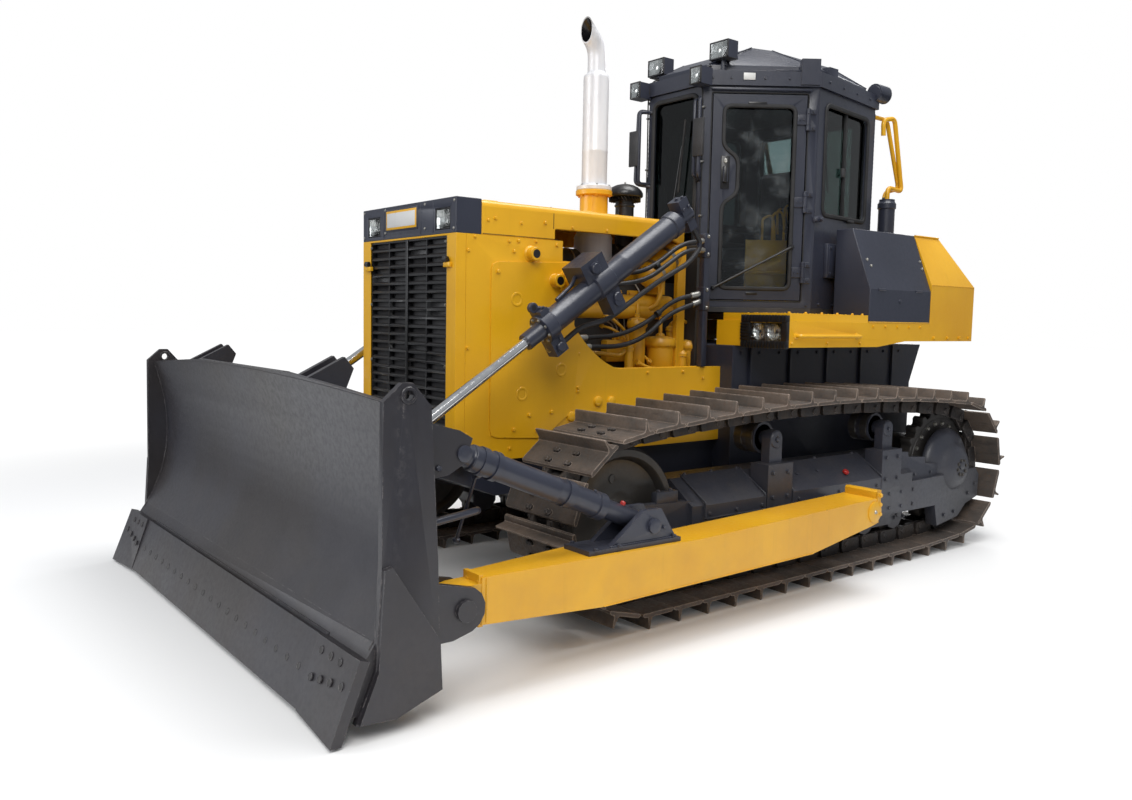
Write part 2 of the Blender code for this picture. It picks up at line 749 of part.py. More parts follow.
def ride(pieces, empty):
    # Moving pieces keep their place and take the joint's empty as parent
    for piece in pieces:
        piece.data.transform(Matrix.Translation(-empty.location))
        piece.parent = empty


def pivot(name, place):
    empty = bpy.data.objects.new(name, None)
    machine.objects.link(empty)
    empty.location = place
    return empty


def arc(centre, radius, start, end, steps):
    angles = [math.radians(start + (end - start) * i / steps) for i in range(steps + 1)]
    return [(centre[0] + radius * math.cos(a), centre[1] + radius * math.sin(a)) for a in angles]


def bend(start, control, end, steps):
    start, control, end = Vector(start), Vector(control), Vector(end)
    shares = [i / steps for i in range(steps + 1)]
    return [start * (1 - t) ** 2 + control * (2 * t * (1 - t)) + end * (t * t) for t in shares]


def softened(outline, reach, steps=3):
    # A closed outline with each corner rounded from the given distance on both sides
    points = []
    for i, corner in enumerate(outline):
        here = Vector(corner)
        before = Vector(outline[i - 1]) - here
        after = Vector(outline[(i + 1) % len(outline)]) - here
        points += bend(here + before.normalized() * reach, here, here + after.normalized() * reach, steps)
    return points


def tube(name, places, radius, reach, steps, sides=8):
    # A round bar along an open path with its corners rounded
    places = [Vector(place) for place in places]
    path = [places[0]]
    for before, here, after in zip(places, places[1:], places[2:]):
        start = here + (before - here).normalized() * reach
        path += bend(start, here, here + (after - here).normalized() * reach, steps)
    path.append(places[-1])
    data = bpy.data.curves.new(name, "CURVE")
    data.dimensions = "3D"
    data.bevel_depth = radius
    data.bevel_resolution = (sides - 4) // 2
    data.use_fill_caps = True
    spline = data.splines.new("POLY")
    spline.points.add(len(path) - 1)
    for point, place in zip(spline.points, path):
        point.co = (*place, 1)
    return baked(linked(name, data))


def capsule(name, start, end, radius):
    start, end = Vector(start), Vector(end)
    length = (end - start).length
    dome = arc((0, 0), radius, 90, 0, 3)
    profile = [(length + along, out) for out, along in dome]
    profile += [(-along, out) for out, along in reversed(dome)]
    made = turned(name, profile, (0, 0, 0), "Z", 14)
    turn = (end - start).to_track_quat("Z", "Y").to_matrix().to_4x4()
    made.data.transform(Matrix.Translation(start) @ turn)
    return made


def lofted(name, rings):
    # Sections with equal numbers of corners, joined in order and closed at both ends
    count = len(rings[0])
    points = [tuple(point) for ring in rings for point in ring]
    faces = [list(range(count)), list(range(len(points) - count, len(points)))]
    for level in range(len(rings) - 1):
        for i in range(count):
            a, b = level * count + i, level * count + (i + 1) % count
            faces.append([a, b, b + count, a + count])
    mesh = bpy.data.meshes.new(name)
    mesh.from_pydata(points, [], faces)
    tidy(mesh)
    return linked(name, mesh)


def rounded(low, high, radius, steps=3):
    # Corners of a rectangle with round corners, anticlockwise from the lower right
    corners = ((high[0] - radius, low[1] + radius, -90), (high[0] - radius, high[1] - radius, 0),
               (low[0] + radius, high[1] - radius, 90), (low[0] + radius, low[1] + radius, 180))
    points = []
    for x, y, start in corners:
        points += arc((x, y), radius, start, start + 90, steps)
    return points


# Track loop


def pitch_path():
    # The closed line of the link pins, from under the idler rearwards
    idler = (IDLER_Y, IDLER_Z)
    sprocket = (SPROCKET_Y, SPROCKET_Z)
    points = [(IDLER_Y, IDLER_Z - PITCH_RADIUS), (GROUND_END, IDLER_Z - PITCH_RADIUS)]
    points += arc(sprocket, PITCH_RADIUS, -90, 90, 72)
    steps = 18
    for i in range(1, steps):
        y = SPROCKET_Y - TRACK_BASE * i / steps
        points.append((y, top_run_z(y)))
    return points + arc(idler, PITCH_RADIUS, 90, 270, 72)[:-1]


def top_run_z(y):
    share = (SPROCKET_Y - y) / TRACK_BASE
    return SPROCKET_Z + PITCH_RADIUS - SPROCKET_LIFT * share + 4 * TOP_RISE * share * (1 - share)


def pins():
    path = [Vector(point) for point in pitch_path()]
    ends = path[1:] + path[:1]
    length = sum((b - a).length for a, b in zip(path, ends))
    step = length / LINK_COUNT
    start = (TIP_PLACE - IDLER_Y - GROUSER_SHARE * step) % step
    found, walked, wanted = [], 0.0, start
    for a, b in zip(path, ends):
        run = (b - a).length
        while wanted <= walked + run and len(found) < LINK_COUNT:
            found.append(a.lerp(b, (wanted - walked) / run))
            wanted += step
        walked += run
    return found


def outward(a, b):
    along = (b - a).normalized()
    return Vector((along[1], -along[0]))


def ring_points(places, heights_of):
    points = []
    for i, start in enumerate(places):
        end = places[(i + 1) % len(places)]
        normal = outward(start, end)
        for share, height in heights_of:
            points.append(tuple(start.lerp(end, share) + normal * height))
    return points


def mean_ring(places, height):
    # The ring at one height over the pins, its corners on the bisectors
    points = []
    count = len(places)
    for i, place in enumerate(places):
        before = outward(places[i - 1], place)
        after = outward(place, places[(i + 1) % count])
        middle = (before + after).normalized()
        points.append(tuple(place + middle * (height / middle.dot(after))))
    return points


def track(name):
    places = pins()
    rise = GROUSER_TIP - PLATE_TOP
    shoe = [(share, PLATE_TOP + rise * lift) for share, lift in SHOE_SHARES]
    low_x, high_x = TRACK_X - SHOE_WIDTH / 2, TRACK_X + SHOE_WIDTH / 2
    plates = slab(name, ring_points(places, shoe), "X", low_x, high_x, [mean_ring(places, PLATE_UNDER)])
    rails = []
    for side in (-1, 1):
        ends = sorted((TRACK_X + side * RAIL_IN, TRACK_X + side * RAIL_OUT))
        rails.append(slab("rail", mean_ring(places, RAIL_TOP), "X", *ends, [mean_ring(places, -RAIL_DEPTH)]))
    return dress(fused(plates, *rails), "rust")


# Track frame with its rollers


def track_frame(name):
    # Section of the long beam (x, z): flat crest, sloped cover, upright side
    section = [(FRAME_IN, FRAME_LOW), (FRAME_OUT, FRAME_LOW), (FRAME_OUT, FRAME_SHOULDER),
               (FRAME_CREST_OUT, FRAME_TOP), (FRAME_IN, FRAME_TOP)]
    beam = slab(name, section, "Y", FRAME_FRONT, FRAME_REAR)
    root = (FRAME_OUT - PIVOT_RADIUS, PIVOT_Y, PIVOT_Z)
    tip = (ARM_IN + PIVOT_REACH, PIVOT_Y, PIVOT_Z)
    trunnion = rod("trunnion", root, tip, PIVOT_RADIUS, sides=32)
    parts = [*fork_arms(), *rollers(), *carriers(), *frame_covers(), *rear_arm(), trunnion]
    return dress(fused(beam, *parts), "slate")


def fork_arms():
    # Two arms hold the idler's shaft
    root = FRAME_FRONT + FORK_INSET * 2
    outline = [(IDLER_Y - FORK_REACH, FORK_LOW), (root, FORK_ROOT_LOW), (root, FORK_ROOT_HIGH),
               (IDLER_Y - FORK_REACH, FORK_HIGH)]
    inner = slab("fork", outline, "X", FRAME_IN + FORK_INSET / 4, TRACK_X - RAIL_OUT - FORK_CLEAR)
    outer = slab("fork", outline, "X", TRACK_X + RAIL_OUT + FORK_CLEAR, FRAME_OUT - FORK_INSET * 3)
    start = (FRAME_IN + FORK_INSET, IDLER_Y, IDLER_Z)
    radius = IDLER_BORE * math.cos(math.pi / IDLER_STEP_COUNT) - GAP
    shaft = rod("shaft", start, (FRAME_OUT - FORK_INSET * 4, IDLER_Y, IDLER_Z), radius)
    return inner, outer, shaft


def rollers():
    pieces = []
    z = IDLER_Z - PITCH_RADIUS + RAIL_DEPTH + ROLLER_RADIUS + SEAT
    for i in range(ROLLER_COUNT):
        y = ROLLER_FIRST + ROLLER_STEP * i
        ends = (TRACK_X - ROLLER_HALF, y, z), (TRACK_X + ROLLER_HALF, y, z)
        pieces.append(rod("roller", *ends, ROLLER_RADIUS, sides=10))
    pieces.append(slab("guard", ROLLER_GUARD, "X", GUARD_IN, GUARD_OUT))
    return pieces


def carriers():
    # Upper rollers on round-headed posts that stand on a box
    pieces = []
    for y in CARRIER_PLACES:
        z = top_run_z(y) - RAIL_DEPTH - CARRIER_RADIUS - CARRIER_DROP
        ends = (TRACK_X - CARRIER_HALF, y, z), (TRACK_X + CARRIER_HALF, y, z)
        pieces.append(rod("carrier", *ends, CARRIER_RADIUS, sides=12))
        pieces.append(rod("axle", (TRACK_X, y, z), (POST_OUT, y, z), CARRIER_AXLE, sides=8))
        half = POST_WIDTH / 2
        post = [(y - half, FRAME_SHOULDER), (y + half, FRAME_SHOULDER), *arc((y, z), half, 0, 180, 6)]
        pieces.append(slab("post", post, "X", POST_OUT - POST_THICK, POST_OUT))
        low = (POST_BOX_IN, y - POST_BOX_WIDTH / 2, POST_BOX_LOW)
        pieces.append(block("post_box", low, (POST_BOX_OUT, y + POST_BOX_WIDTH / 2, POST_BOX_TOP)))
    return pieces


def frame_covers():
    # Raised plates on the beam's slope
    section = [(FRAME_OUT - COVER_LIP, COVER_FOOT), (FRAME_OUT + COVER_LIP, COVER_FOOT),
               (FRAME_OUT + COVER_LIP, FRAME_SHOULDER), (FRAME_CREST_OUT, FRAME_TOP + COVER_LIP),
               (FRAME_CREST_OUT - COVER_LIP, FRAME_TOP - COVER_LIP)]
    return [slab("cover", section, "Y", *span) for span in COVER_SPANS]


def rear_arm():
    # Arm outside the drive wheel, with the stepped case and the final drive's outer bearing
    profile = [(TRACK_X + along, radius) for along, radius in DRIVE_CASE]
    bearing = turned("bearing", profile, (0, SPROCKET_Y, SPROCKET_Z), steps=20)
    arm = slab("arm", REAR_ARM_OUTLINE, "X", ARM_IN_X, ARM_OUT_X)
    return bearing, arm, slab("case", CASE_STEPS_OUTLINE, "X", ARM_IN_X + OVERLAP / 2, CASE_STEPS_X)


def tread_radius():
    # The links lie as chords, so the wheel is smaller than the pin circle
    places = pins()
    nearest = min(chord_distance(a, b) for a, b in zip(places, places[1:]) if a[0] < IDLER_Y and b[0] < IDLER_Y)
    return nearest - RAIL_DEPTH - SEAT


def chord_distance(a, b):
    along = (b - a).normalized()
    return abs(along.cross(Vector((IDLER_Y, IDLER_Z)) - a))


def idler(name):
    tread = tread_radius()
    half = RAIL_OUT
    profile = [(half, IDLER_BORE), (half, IDLER_BOSS), (IDLER_WEB, IDLER_BOSS + IDLER_SLOPE),
               (IDLER_WEB, tread - IDLER_RIM), (half, tread - IDLER_RIM + IDLER_SLOPE / 2), (half, tread),
               (RAIL_IN - IDLER_SIDE, tread), (RAIL_IN - IDLER_SIDE * 2, IDLER_FLANGE)]
    profile += [(-along, radius) for along, radius in reversed(profile)]
    profile.append(profile[0])
    return dress(turned(name, profile, (TRACK_X, IDLER_Y, IDLER_Z), steps=IDLER_STEP_COUNT), "cast", True)


def drive_wheel(name):
    points = []
    reach = SPROCKET_TIP - SPROCKET_ROOT
    for i in range(SPROCKET_TEETH_COUNT):
        for share, lift in TOOTH_SHARES:
            angle = 2 * math.pi * (i + share) / SPROCKET_TEETH_COUNT
            radius = SPROCKET_ROOT + reach * lift
            points.append((SPROCKET_Y + radius * math.cos(angle), SPROCKET_Z + radius * math.sin(angle)))
    teeth = slab(name, points, "X", TRACK_X - SPROCKET_HALF, TRACK_X + SPROCKET_HALF)
    profile = [(TRACK_X + HUB_HALF, 0.0), (TRACK_X + HUB_HALF, HUB_RADIUS), (TRACK_X - HUB_HALF, HUB_RADIUS),
               (TRACK_X - HUB_HALF - OVERLAP, AXLE_RADIUS), (CASE_HALF + GAP, AXLE_RADIUS), (CASE_HALF + GAP, 0.0)]
    hub = turned("hub", profile, (0, SPROCKET_Y, SPROCKET_Z), steps=16)
    return dress(fused(teeth, hub), "cast")


# Hull


def main_frame():
    case = slab("main_frame", CASE_OUTLINE, "X", -CASE_HALF, CASE_HALF)
    reach = FRAME_IN - GAP
    pivots = rod("pivots", (-reach, SHAFT_Y, SHAFT_Z), (reach, SHAFT_Y, SHAFT_Z), SHAFT_RADIUS)
    hole = rod("pin_hole", (0, HITCH_PIN_Y, 0), (0, HITCH_PIN_Y, HITCH_HIGH[2] + OVERRUN), HITCH_PIN_RADIUS)
    hitch = cut(block("tongue", HITCH_LOW, HITCH_HIGH), hole)
    rear = CASE_FRONT + OVERRUN
    nose = [(HULL_FRONT, HULL_LOW + HULL_CHIN), (HULL_FRONT + HULL_CHAMFER, HULL_LOW), (rear, HULL_LOW),
            (rear, HULL_TOP), (HULL_FRONT, HULL_TOP)]
    return dress(fused(case, pivots, hitch, slab("nose", nose, "X", -HULL_HALF, HULL_HALF)), "slate")


def equalizer_bar():
    # Rocking bar under the hull, its ends on the track frames
    top = HULL_LOW - GAP
    reach = FRAME_IN - GAP
    low = (-reach, BAR_Y - BAR_DEPTH / 2, top - BAR_HEIGHT)
    return dress(block("equalizer_bar", low, (reach, BAR_Y + BAR_DEPTH / 2, top)), "yellow")


# Front body


def side_frame(name):
    front = NOSE_Y + GUARD_DEPTH + GAP
    outline = [(front, SIDE_LOW), (CASE_FRONT - GAP, SIDE_LOW), (CASE_FRONT - GAP, CUT_LOW_Z)]
    outline += bend((CUT_LOW_Y, CUT_LOW_Z), CUT_BEND, (CUT_TOP_Y, CUT_TOP_Z), 8)
    outline += [(CUT_TOP_Y + NOTCH_STEP, NOTCH_LOW), (NOTCH_Y, NOTCH_LOW), (NOTCH_Y, SIDE_TOP), (front, SIDE_TOP)]
    skin = slab(name, outline, "X", BODY_HALF - SIDE_SKIN, BODY_HALF)
    panel = slab("panel", softened(PANEL_OUTLINE, PANEL_ROUND, 2), "X", BODY_HALF - OVERLAP, BODY_HALF + PANEL_RISE)
    bosses = []
    for y, z, radius, reach in BOSS_TABLE:
        bosses.append(rod("boss", (BODY_HALF - SIDE_SKIN / 2, y, z), (BODY_HALF + reach, y, z), radius, sides=12))
    seat_face = BODY_HALF + BEARING_TABLE[0][0]
    start = (BODY_HALF, LIFT_PIVOT_Y, LIFT_PIVOT_Z)
    bore = rod("bore", start, (seat_face + OVERRUN, LIFT_PIVOT_Y, LIFT_PIVOT_Z), TRUNNION_BORE, sides=24)
    return dress(cut(fused(skin, panel, trunnion_seat(), *bosses), bore), "yellow")


def trunnion_seat():
    # Bearing for the cylinder's axle, its foot inside the side plate
    back = BODY_HALF - SIDE_SKIN / 2
    rim = [(BODY_HALF + along, radius) for along, radius in BEARING_TABLE]
    profile = [(rim[0][0], 0.0), *rim, (back, rim[-1][1]), (back, 0.0)]
    return turned("trunnion_seat", profile, (0, LIFT_PIVOT_Y, LIFT_PIVOT_Z), steps=24)


def radiator_guard():
    outline = [(-BODY_HALF, SIDE_LOW), (BODY_HALF, SIDE_LOW), (BODY_HALF, SIDE_TOP), (-BODY_HALF, SIDE_TOP)]
    window = [(-GRILLE_HALF, GRILLE_LOW), (GRILLE_HALF, GRILLE_LOW), (GRILLE_HALF, GRILLE_TOP),
              (-GRILLE_HALF, GRILLE_TOP)]
    return dress(slab("radiator_guard", outline, "Y", NOSE_Y, NOSE_Y + GUARD_DEPTH, [window]), "yellow")


def grille():
    # Slats and posts over a dark back: a grid whose slots are pushed in
    across = slot_lines(-GRILLE_HALF + GAP, GRILLE_HALF - GAP, GRILLE_COLUMN_COUNT)
    upward = slot_lines(GRILLE_LOW + GAP, GRILLE_TOP - GAP, GRILLE_ROW_COUNT)
    work = bmesh.new()
    bmesh.ops.create_grid(work, x_segments=len(across) - 1, y_segments=len(upward) - 1, size=0.5)
    for vertex in work.verts:
        column = round((vertex.co.x + 0.5) * (len(across) - 1))
        row = round((vertex.co.y + 0.5) * (len(upward) - 1))
        vertex.co = (across[column], NOSE_Y + GRILLE_SET, upward[row])
    slots = [face for face in work.faces if is_slot(face, across, upward)]
    rim = [edge for edge in work.edges if edge.is_boundary]
    pushed = bmesh.ops.extrude_discrete_faces(work, faces=slots)["faces"]
    floors = {vertex for face in pushed for vertex in face.verts}
    bmesh.ops.translate(work, verts=list(floors), vec=(0, GRILLE_DEPTH, 0))
    sides = bmesh.ops.extrude_edge_only(work, edges=rim)["geom"]
    backs = [item for item in sides if isinstance(item, bmesh.types.BMVert)]
    bmesh.ops.translate(work, verts=backs, vec=(0, GRILLE_DEPTH + GRILLE_BACK, 0))
    open_edges = [edge for edge in work.edges if edge.is_boundary]
    bmesh.ops.holes_fill(work, edges=open_edges, sides=0)
    bmesh.ops.recalc_face_normals(work, faces=work.faces)
    mesh = bpy.data.meshes.new("grille")
    work.to_mesh(mesh)
    work.free()
    return dress(linked("grille", mesh), "black")


def slot_lines(low, high, count):
    step = (high - low - GRILLE_BAR) / count
    lines = [low]
    for i in range(count):
        lines += [low + GRILLE_BAR + step * i, low + step * (i + 1)]
    return [*lines, high]


def is_slot(face, across, upward):
    middle = face.calc_center_median()
    column = sum(line < middle.x for line in across)
    row = sum(line < middle.z for line in upward)
    return column % 2 == 0 and row % 2 == 0


def headlamp_cap():
    low = SIDE_TOP + GAP
    cap = block("headlamp_cap", (-BODY_HALF, NOSE_Y, low), (BODY_HALF, NOSE_Y + CAP_DEPTH - GAP, CAP_TOP))
    cutters, lamps = [], []
    for side in (-1, 1):
        x = side * LAMP_X
        near = (x - LAMP_HALF_WIDTH, NOSE_Y - OVERRUN, LAMP_Z - LAMP_HALF_HEIGHT)
        cutters.append(block("recess", near, (x + LAMP_HALF_WIDTH, NOSE_Y + LAMP_RECESS, LAMP_Z + LAMP_HALF_HEIGHT)))
        wide, high = LAMP_HALF_WIDTH - LAMP_INSET, LAMP_HALF_HEIGHT - LAMP_INSET
        near = (x - wide, NOSE_Y + LAMP_INSET, LAMP_Z - high)
        lamps.append(block("lamp", near, (x + wide, NOSE_Y + LAMP_RECESS * 2, LAMP_Z + high)))
    return dress(fused(cut(cap, *cutters), *lamps), "slate")


def hood_section(low):
    # Flat-topped arch (x, z) with rounded long edges
    right = bend((BODY_HALF, HOOD_TOP - HOOD_ROUND), (BODY_HALF, HOOD_TOP), (BODY_HALF - HOOD_ROUND, HOOD_TOP), 4)
    left = [(-x, z) for x, z in reversed(right)]
    return [(-BODY_HALF, low), (BODY_HALF, low), *right, *left]


def hood():
    front = NOSE_Y + CAP_DEPTH
    saddle = slab("hood", hood_section(SIDE_TOP + GAP), "Y", front, front + SADDLE_LENGTH)
    rear = slab("rear", hood_section(HOOD_SKIRT), "Y", front + SADDLE_LENGTH - OVERLAP, HOOD_REAR)
    body = cut(fused(saddle, rear), *(corner_cut(side) for side in (-1, 1)))
    inner = BODY_HALF - HOOD_SKIN
    back = HOOD_REAR - HOOD_SKIN
    back_half = HOOD_REAR_HALF - HOOD_SKIN / 2
    room = [(-inner, front - OVERRUN), (inner, front - OVERRUN), (inner, HOOD_TAPER_Y - HOOD_SKIN / 2),
            (back_half, back), (-back_half, back), (-inner, HOOD_TAPER_Y - HOOD_SKIN / 2)]
    hollow = slab("room", room, "Z", SIDE_TOP - OVERRUN, HOOD_TOP - HOOD_SKIN)
    body = fused(cut(body, hollow), stack_stub())
    low = (STACK_X, STACK_Y, SIDE_TOP)
    bore = rod("bore", low, (STACK_X, STACK_Y, STUB_TOP + OVERRUN), STACK_RADIUS + STACK_PLAY, sides=32)
    return dress(cut(body, bore), "yellow")


def corner_cut(side):
    # Takes one rear corner of the hood away
    start, end = Vector((BODY_HALF, HOOD_TAPER_Y)), Vector((HOOD_REAR_HALF, HOOD_REAR))
    past = (end - start) / 4
    outline = [start - past, end + past, Vector((BODY_HALF + OVERRUN * 2, HOOD_REAR + OVERRUN * 2))]
    return slab("corner", [(side * x, y) for x, y in outline], "Z", SIDE_TOP - OVERRUN, HOOD_TOP + OVERRUN)


def stack_stub():
    base = HOOD_TOP - HOOD_SKIN / 2
    profile = [(STUB_TOP, 0.0), (STUB_TOP, STUB_FLANGE), (STUB_TOP - FLANGE_THICK, STUB_FLANGE),
               (STUB_TOP - FLANGE_THICK, STUB_RADIUS), (base, STUB_RADIUS), (base, 0.0)]
    return turned("stack_stub", profile, (STACK_X, STACK_Y, 0), "Z", 32)


# Engine, exhaust and hoses


def engine():
    # Engine as a plain block with its radiator in front and the parts that show at its sides
    back = NOSE_Y + GUARD_DEPTH + GAP
    inner = BODY_HALF - SIDE_SKIN - GAP
    core = block("core", (-inner, back, HULL_TOP + GAP), (inner, back + CORE_DEPTH, SIDE_TOP - RUN))
    fan = rod("fan", (0, back + CORE_DEPTH / 2, FAN_Z), (0, ENGINE_FRONT + CORE_DEPTH, FAN_Z), FAN_HUB, sides=12)
    motor = block("engine", (-ENGINE_HALF, ENGINE_FRONT, HULL_TOP + GAP), (ENGINE_HALF, ENGINE_REAR, ENGINE_TOP))
    sides = [*engine_side()]
    others = []
    for piece in sides:
        others.append(mirrored(piece, piece.name))
    return dress(fused(motor, core, fan, *sides, *others), "yellow")


def engine_side():
    # What stands on the left shelf: filter cans, a slanting tank, a pillar and the manifold
    pieces = [block("shelf", (ENGINE_HALF - SHELF_ROOT, SHELF_FRONT, SHELF_LOW), (SHELF_OUT, SHELF_REAR, SHELF_TOP))]
    for y, radius, top in CAN_TABLE:
        foot = SHELF_TOP - SHELF_ROOT
        profile = [(top, 0.0), (top, radius), (top - LID_DROP, radius * LID_SHARE),
                   (top - LID_HEIGHT, radius * LID_SHARE), (top - LID_HEIGHT - LID_DROP, radius), (foot, radius),
                   (foot, 0.0)]
        pieces.append(turned("can", profile, (CAN_X, y, 0), "Z", 12))
    pieces.append(capsule("tank", TANK_END_LOW, TANK_END_HIGH, TANK_END_RADIUS))
    pieces.append(block("bracket", BRACKET_LOW, BRACKET_HIGH))
    pieces.append(block("pillar", PILLAR_LOW, PILLAR_HIGH))
    ends = [(MANIFOLD_X, y, MANIFOLD_Z) for y in MANIFOLD_SPAN]
    pieces.append(rod("manifold", *ends, MANIFOLD_RADIUS, sides=12))
    return pieces


def exhaust_stack():
    # Silencer under the hood, pipe through it, and an elbow whose mouth is cut upright
    seat = STUB_TOP + GAP
    flange = STUB_FLANGE - STACK_PLAY
    profile = [(STACK_SHOULDER + STACK_FUNNEL, 0.0), (STACK_SHOULDER + STACK_FUNNEL, STACK_NECK * STACK_BORE_SHARE),
               (STACK_SHOULDER, STACK_RADIUS), (seat + FLANGE_THICK, STACK_RADIUS), (seat + FLANGE_THICK, flange),
               (seat, flange), (seat, STACK_RADIUS), (MUFFLER_TOP, STACK_RADIUS),
               (MUFFLER_TOP, MUFFLER_RADIUS - MUFFLER_ROUND), (MUFFLER_TOP - MUFFLER_ROUND, MUFFLER_RADIUS),
               (MUFFLER_LOW + MUFFLER_ROUND, MUFFLER_RADIUS), (MUFFLER_LOW, MUFFLER_RADIUS - MUFFLER_ROUND),
               (MUFFLER_LOW, MUFFLER_PIPE), (ENGINE_TOP + GAP, MUFFLER_PIPE), (ENGINE_TOP + GAP, 0.0)]
    pipe = turned("exhaust_stack", profile, (STACK_X, STACK_Y, 0), "Z", 20)
    knee = Vector((STACK_X, STACK_Y, STACK_KNEE_Z))
    lean = Vector((0, -1, 1)).normalized()
    foot = (STACK_X, STACK_Y, STACK_SHOULDER - STACK_FUNNEL)
    elbow = tube("elbow", (foot, knee, knee + lean * STACK_RUNOUT), STACK_NECK, STACK_BEND, 4, 12)
    front = block("front", (-STACK_RUNOUT, STACK_CUT_Y - STACK_RUNOUT, STACK_SHOULDER + STACK_FUNNEL),
                  (STACK_RUNOUT, STACK_CUT_Y, STACK_KNEE_Z + STACK_RUNOUT))
    bore = rod("bore", knee, knee + lean * STACK_RUNOUT * 2, STACK_NECK * STACK_BORE_SHARE)
    return dress(cut(fused(pipe, elbow), front, bore), "white", True)


def pre_cleaner():
    base = HOOD_TOP + GAP
    height = CLEANER_TOP - CLEANER_RIM
    profile = [(CLEANER_RIM + height * lift, CLEANER_RADIUS * out) for lift, out in CLEANER_DOME_SHARES]
    profile += [(CLEANER_RIM, CLEANER_RADIUS), (CLEANER_RIM, CLEANER_NECK), (base + FLANGE_THICK, CLEANER_NECK),
                (base + FLANGE_THICK, CLEANER_FLANGE), (base, CLEANER_FLANGE), (base, 0.0)]
    return dress(turned("pre_cleaner", profile, (STACK_X, CLEANER_Y, 0), "Z", 20), "slate", True)


def hoses(name):
    # Hoses from behind the side plate up to a post that stands on it
    foot = CUT_LOW_Z + GAP
    post = block(name, (*HOSE_POST_LOW, foot), (*HOSE_POST_HIGH, HOSE_POST_TOP))
    runs = [tube("hose", route, HOSE_RADIUS, HOSE_BEND, 1, 6) for route in HOSE_ROUTES]
    return dress(fused(post, *runs), "black", True)


# Cab


def plan(offset=0.0):
    # Cab corners, anticlockwise from the front right post, moved outwards by the offset
    corners = [Vector(p) for p in (
        (-CAB_FRONT_HALF, CAB_FRONT_Y), (CAB_FRONT_HALF, CAB_FRONT_Y), (CAB_WIDE_HALF, CAB_WIDE_Y),
        (CAB_REAR_HALF, CAB_REAR_Y), (-CAB_REAR_HALF, CAB_REAR_Y), (-CAB_WIDE_HALF, CAB_WIDE_Y))]
    moved = []
    for i, corner in enumerate(corners):
        before = outward(corners[i - 1], corner)
        after = outward(corner, corners[(i + 1) % len(corners)])
        middle = (before + after).normalized()
        moved.append(corner + middle * (offset / middle.dot(after)))
    return moved


def wall(name, index, count=1):
    # A run of walls, mitred at its ends, standing on the floor under the eave
    outer, inner = plan(), plan(-CAB_SKIN)
    corners = [(index + i) % len(outer) for i in range(count + 1)]
    first = (outer[corners[1]] - outer[corners[0]]).normalized() * GAP
    last = (outer[corners[-1]] - outer[corners[-2]]).normalized() * GAP
    middle = corners[1:-1]
    points = [outer[corners[0]] + first, *(outer[i] for i in middle), outer[corners[-1]] - last]
    points += [inner[corners[-1]] - last, *(inner[i] for i in reversed(middle)), inner[corners[0]] + first]
    return slab(name, [tuple(p) for p in points], "Z", CAB_FLOOR + GAP, CAB_EAVE - GAP)


def wall_turn(index):
    # Wall space: u along the wall, v up, w outwards
    outer = plan()
    start = outer[index]
    along = (outer[(index + 1) % len(outer)] - start).normalized()
    normal = Vector((along[1], -along[0]))
    turn = Matrix(((along[0], 0, normal[0], start[0]), (along[1], 0, normal[1], start[1]), (0, 1, 0, 0), (0, 0, 0, 1)))
    length = (outer[(index + 1) % len(outer)] - start).length
    return turn, length


def wall_piece(name, index, outline, low, high, holes=()):
    turn, _ = wall_turn(index)
    piece = slab(name, outline, "Z", low, high, holes)
    piece.data.transform(turn)
    tidy(piece.data)
    return piece


def oblong(low, high):
    return [(low[0], low[1]), (high[0], low[1]), (high[0], high[1]), (low[0], high[1])]


def window_outline(place, margin=0.0):
    index, start, end, foot, head = place
    _, length = wall_turn(index)
    return rounded((start + margin, foot + margin), (length - end - margin, head - margin), WINDOW_ROUND)


def glazed_wall(name, place):
    cutter = wall_piece("opening", place[0], window_outline(place), -CAB_SKIN - OVERRUN, OVERRUN)
    return dress(cut(wall(name, place[0]), cutter), "slate")


def cab_front():
    # The front wall with a hand rail beside each post
    front = glazed_wall("cab_front", WINDOW_TABLE["front"])
    left = tube("rail", POST_RAIL_ROUTE, POST_RAIL_RADIUS, POST_RAIL_RADIUS * 2, 2)
    return dress(fused(front, left, mirrored(left, "rail_right")), "slate")


def pane(name, place):
    middle = -CAB_SKIN / 2
    outline = window_outline(place, GAP)
    return dress(wall_piece(name, place[0], outline, middle - PANE / 2, middle + PANE / 2), "glass")


def door_span():
    _, length = wall_turn(DOOR_WALL)
    return DOOR_FROM, length - DOOR_TO, CAB_FLOOR + DOOR_SILL, CAB_EAVE - DOOR_HEAD


def cab_side(name):
    # Door frame and rear quarter in one, with the doorway and the quarter window cut
    start, end, low, high = door_span()
    doorway = oblong((start, low), (end, high))
    cutter = wall_piece("doorway", DOOR_WALL, doorway, -CAB_SKIN - OVERRUN, OVERRUN)
    place = WINDOW_TABLE["side"]
    window = wall_piece("opening", place[0], window_outline(place), -CAB_SKIN - OVERRUN, OVERRUN)
    frame = cut(wall(name, DOOR_WALL, 2), cutter, window)
    return dress(fused(frame, *hinge_pieces(False)), "slate")


def door_outline(margin):
    start, end, low, high = door_span()
    reach = DOOR_GAP + margin
    return start + reach, end - reach, low + reach, high - reach


def door_hole(margin):
    # Glass outline with a recess round the handle on the front edge
    start, end, low, high = door_outline(PANE_RIM + margin)
    deep = start + HANDLE_DEPTH
    foot, head = HANDLE_LOW - margin / 2, HANDLE_HIGH + margin / 2
    corners = [(start, low), (end, low), (end, high), (start, high), (start, head), (deep, head - HANDLE_SLOPE),
               (deep, foot + HANDLE_SLOPE), (start, foot)]
    return softened(corners, WINDOW_ROUND)


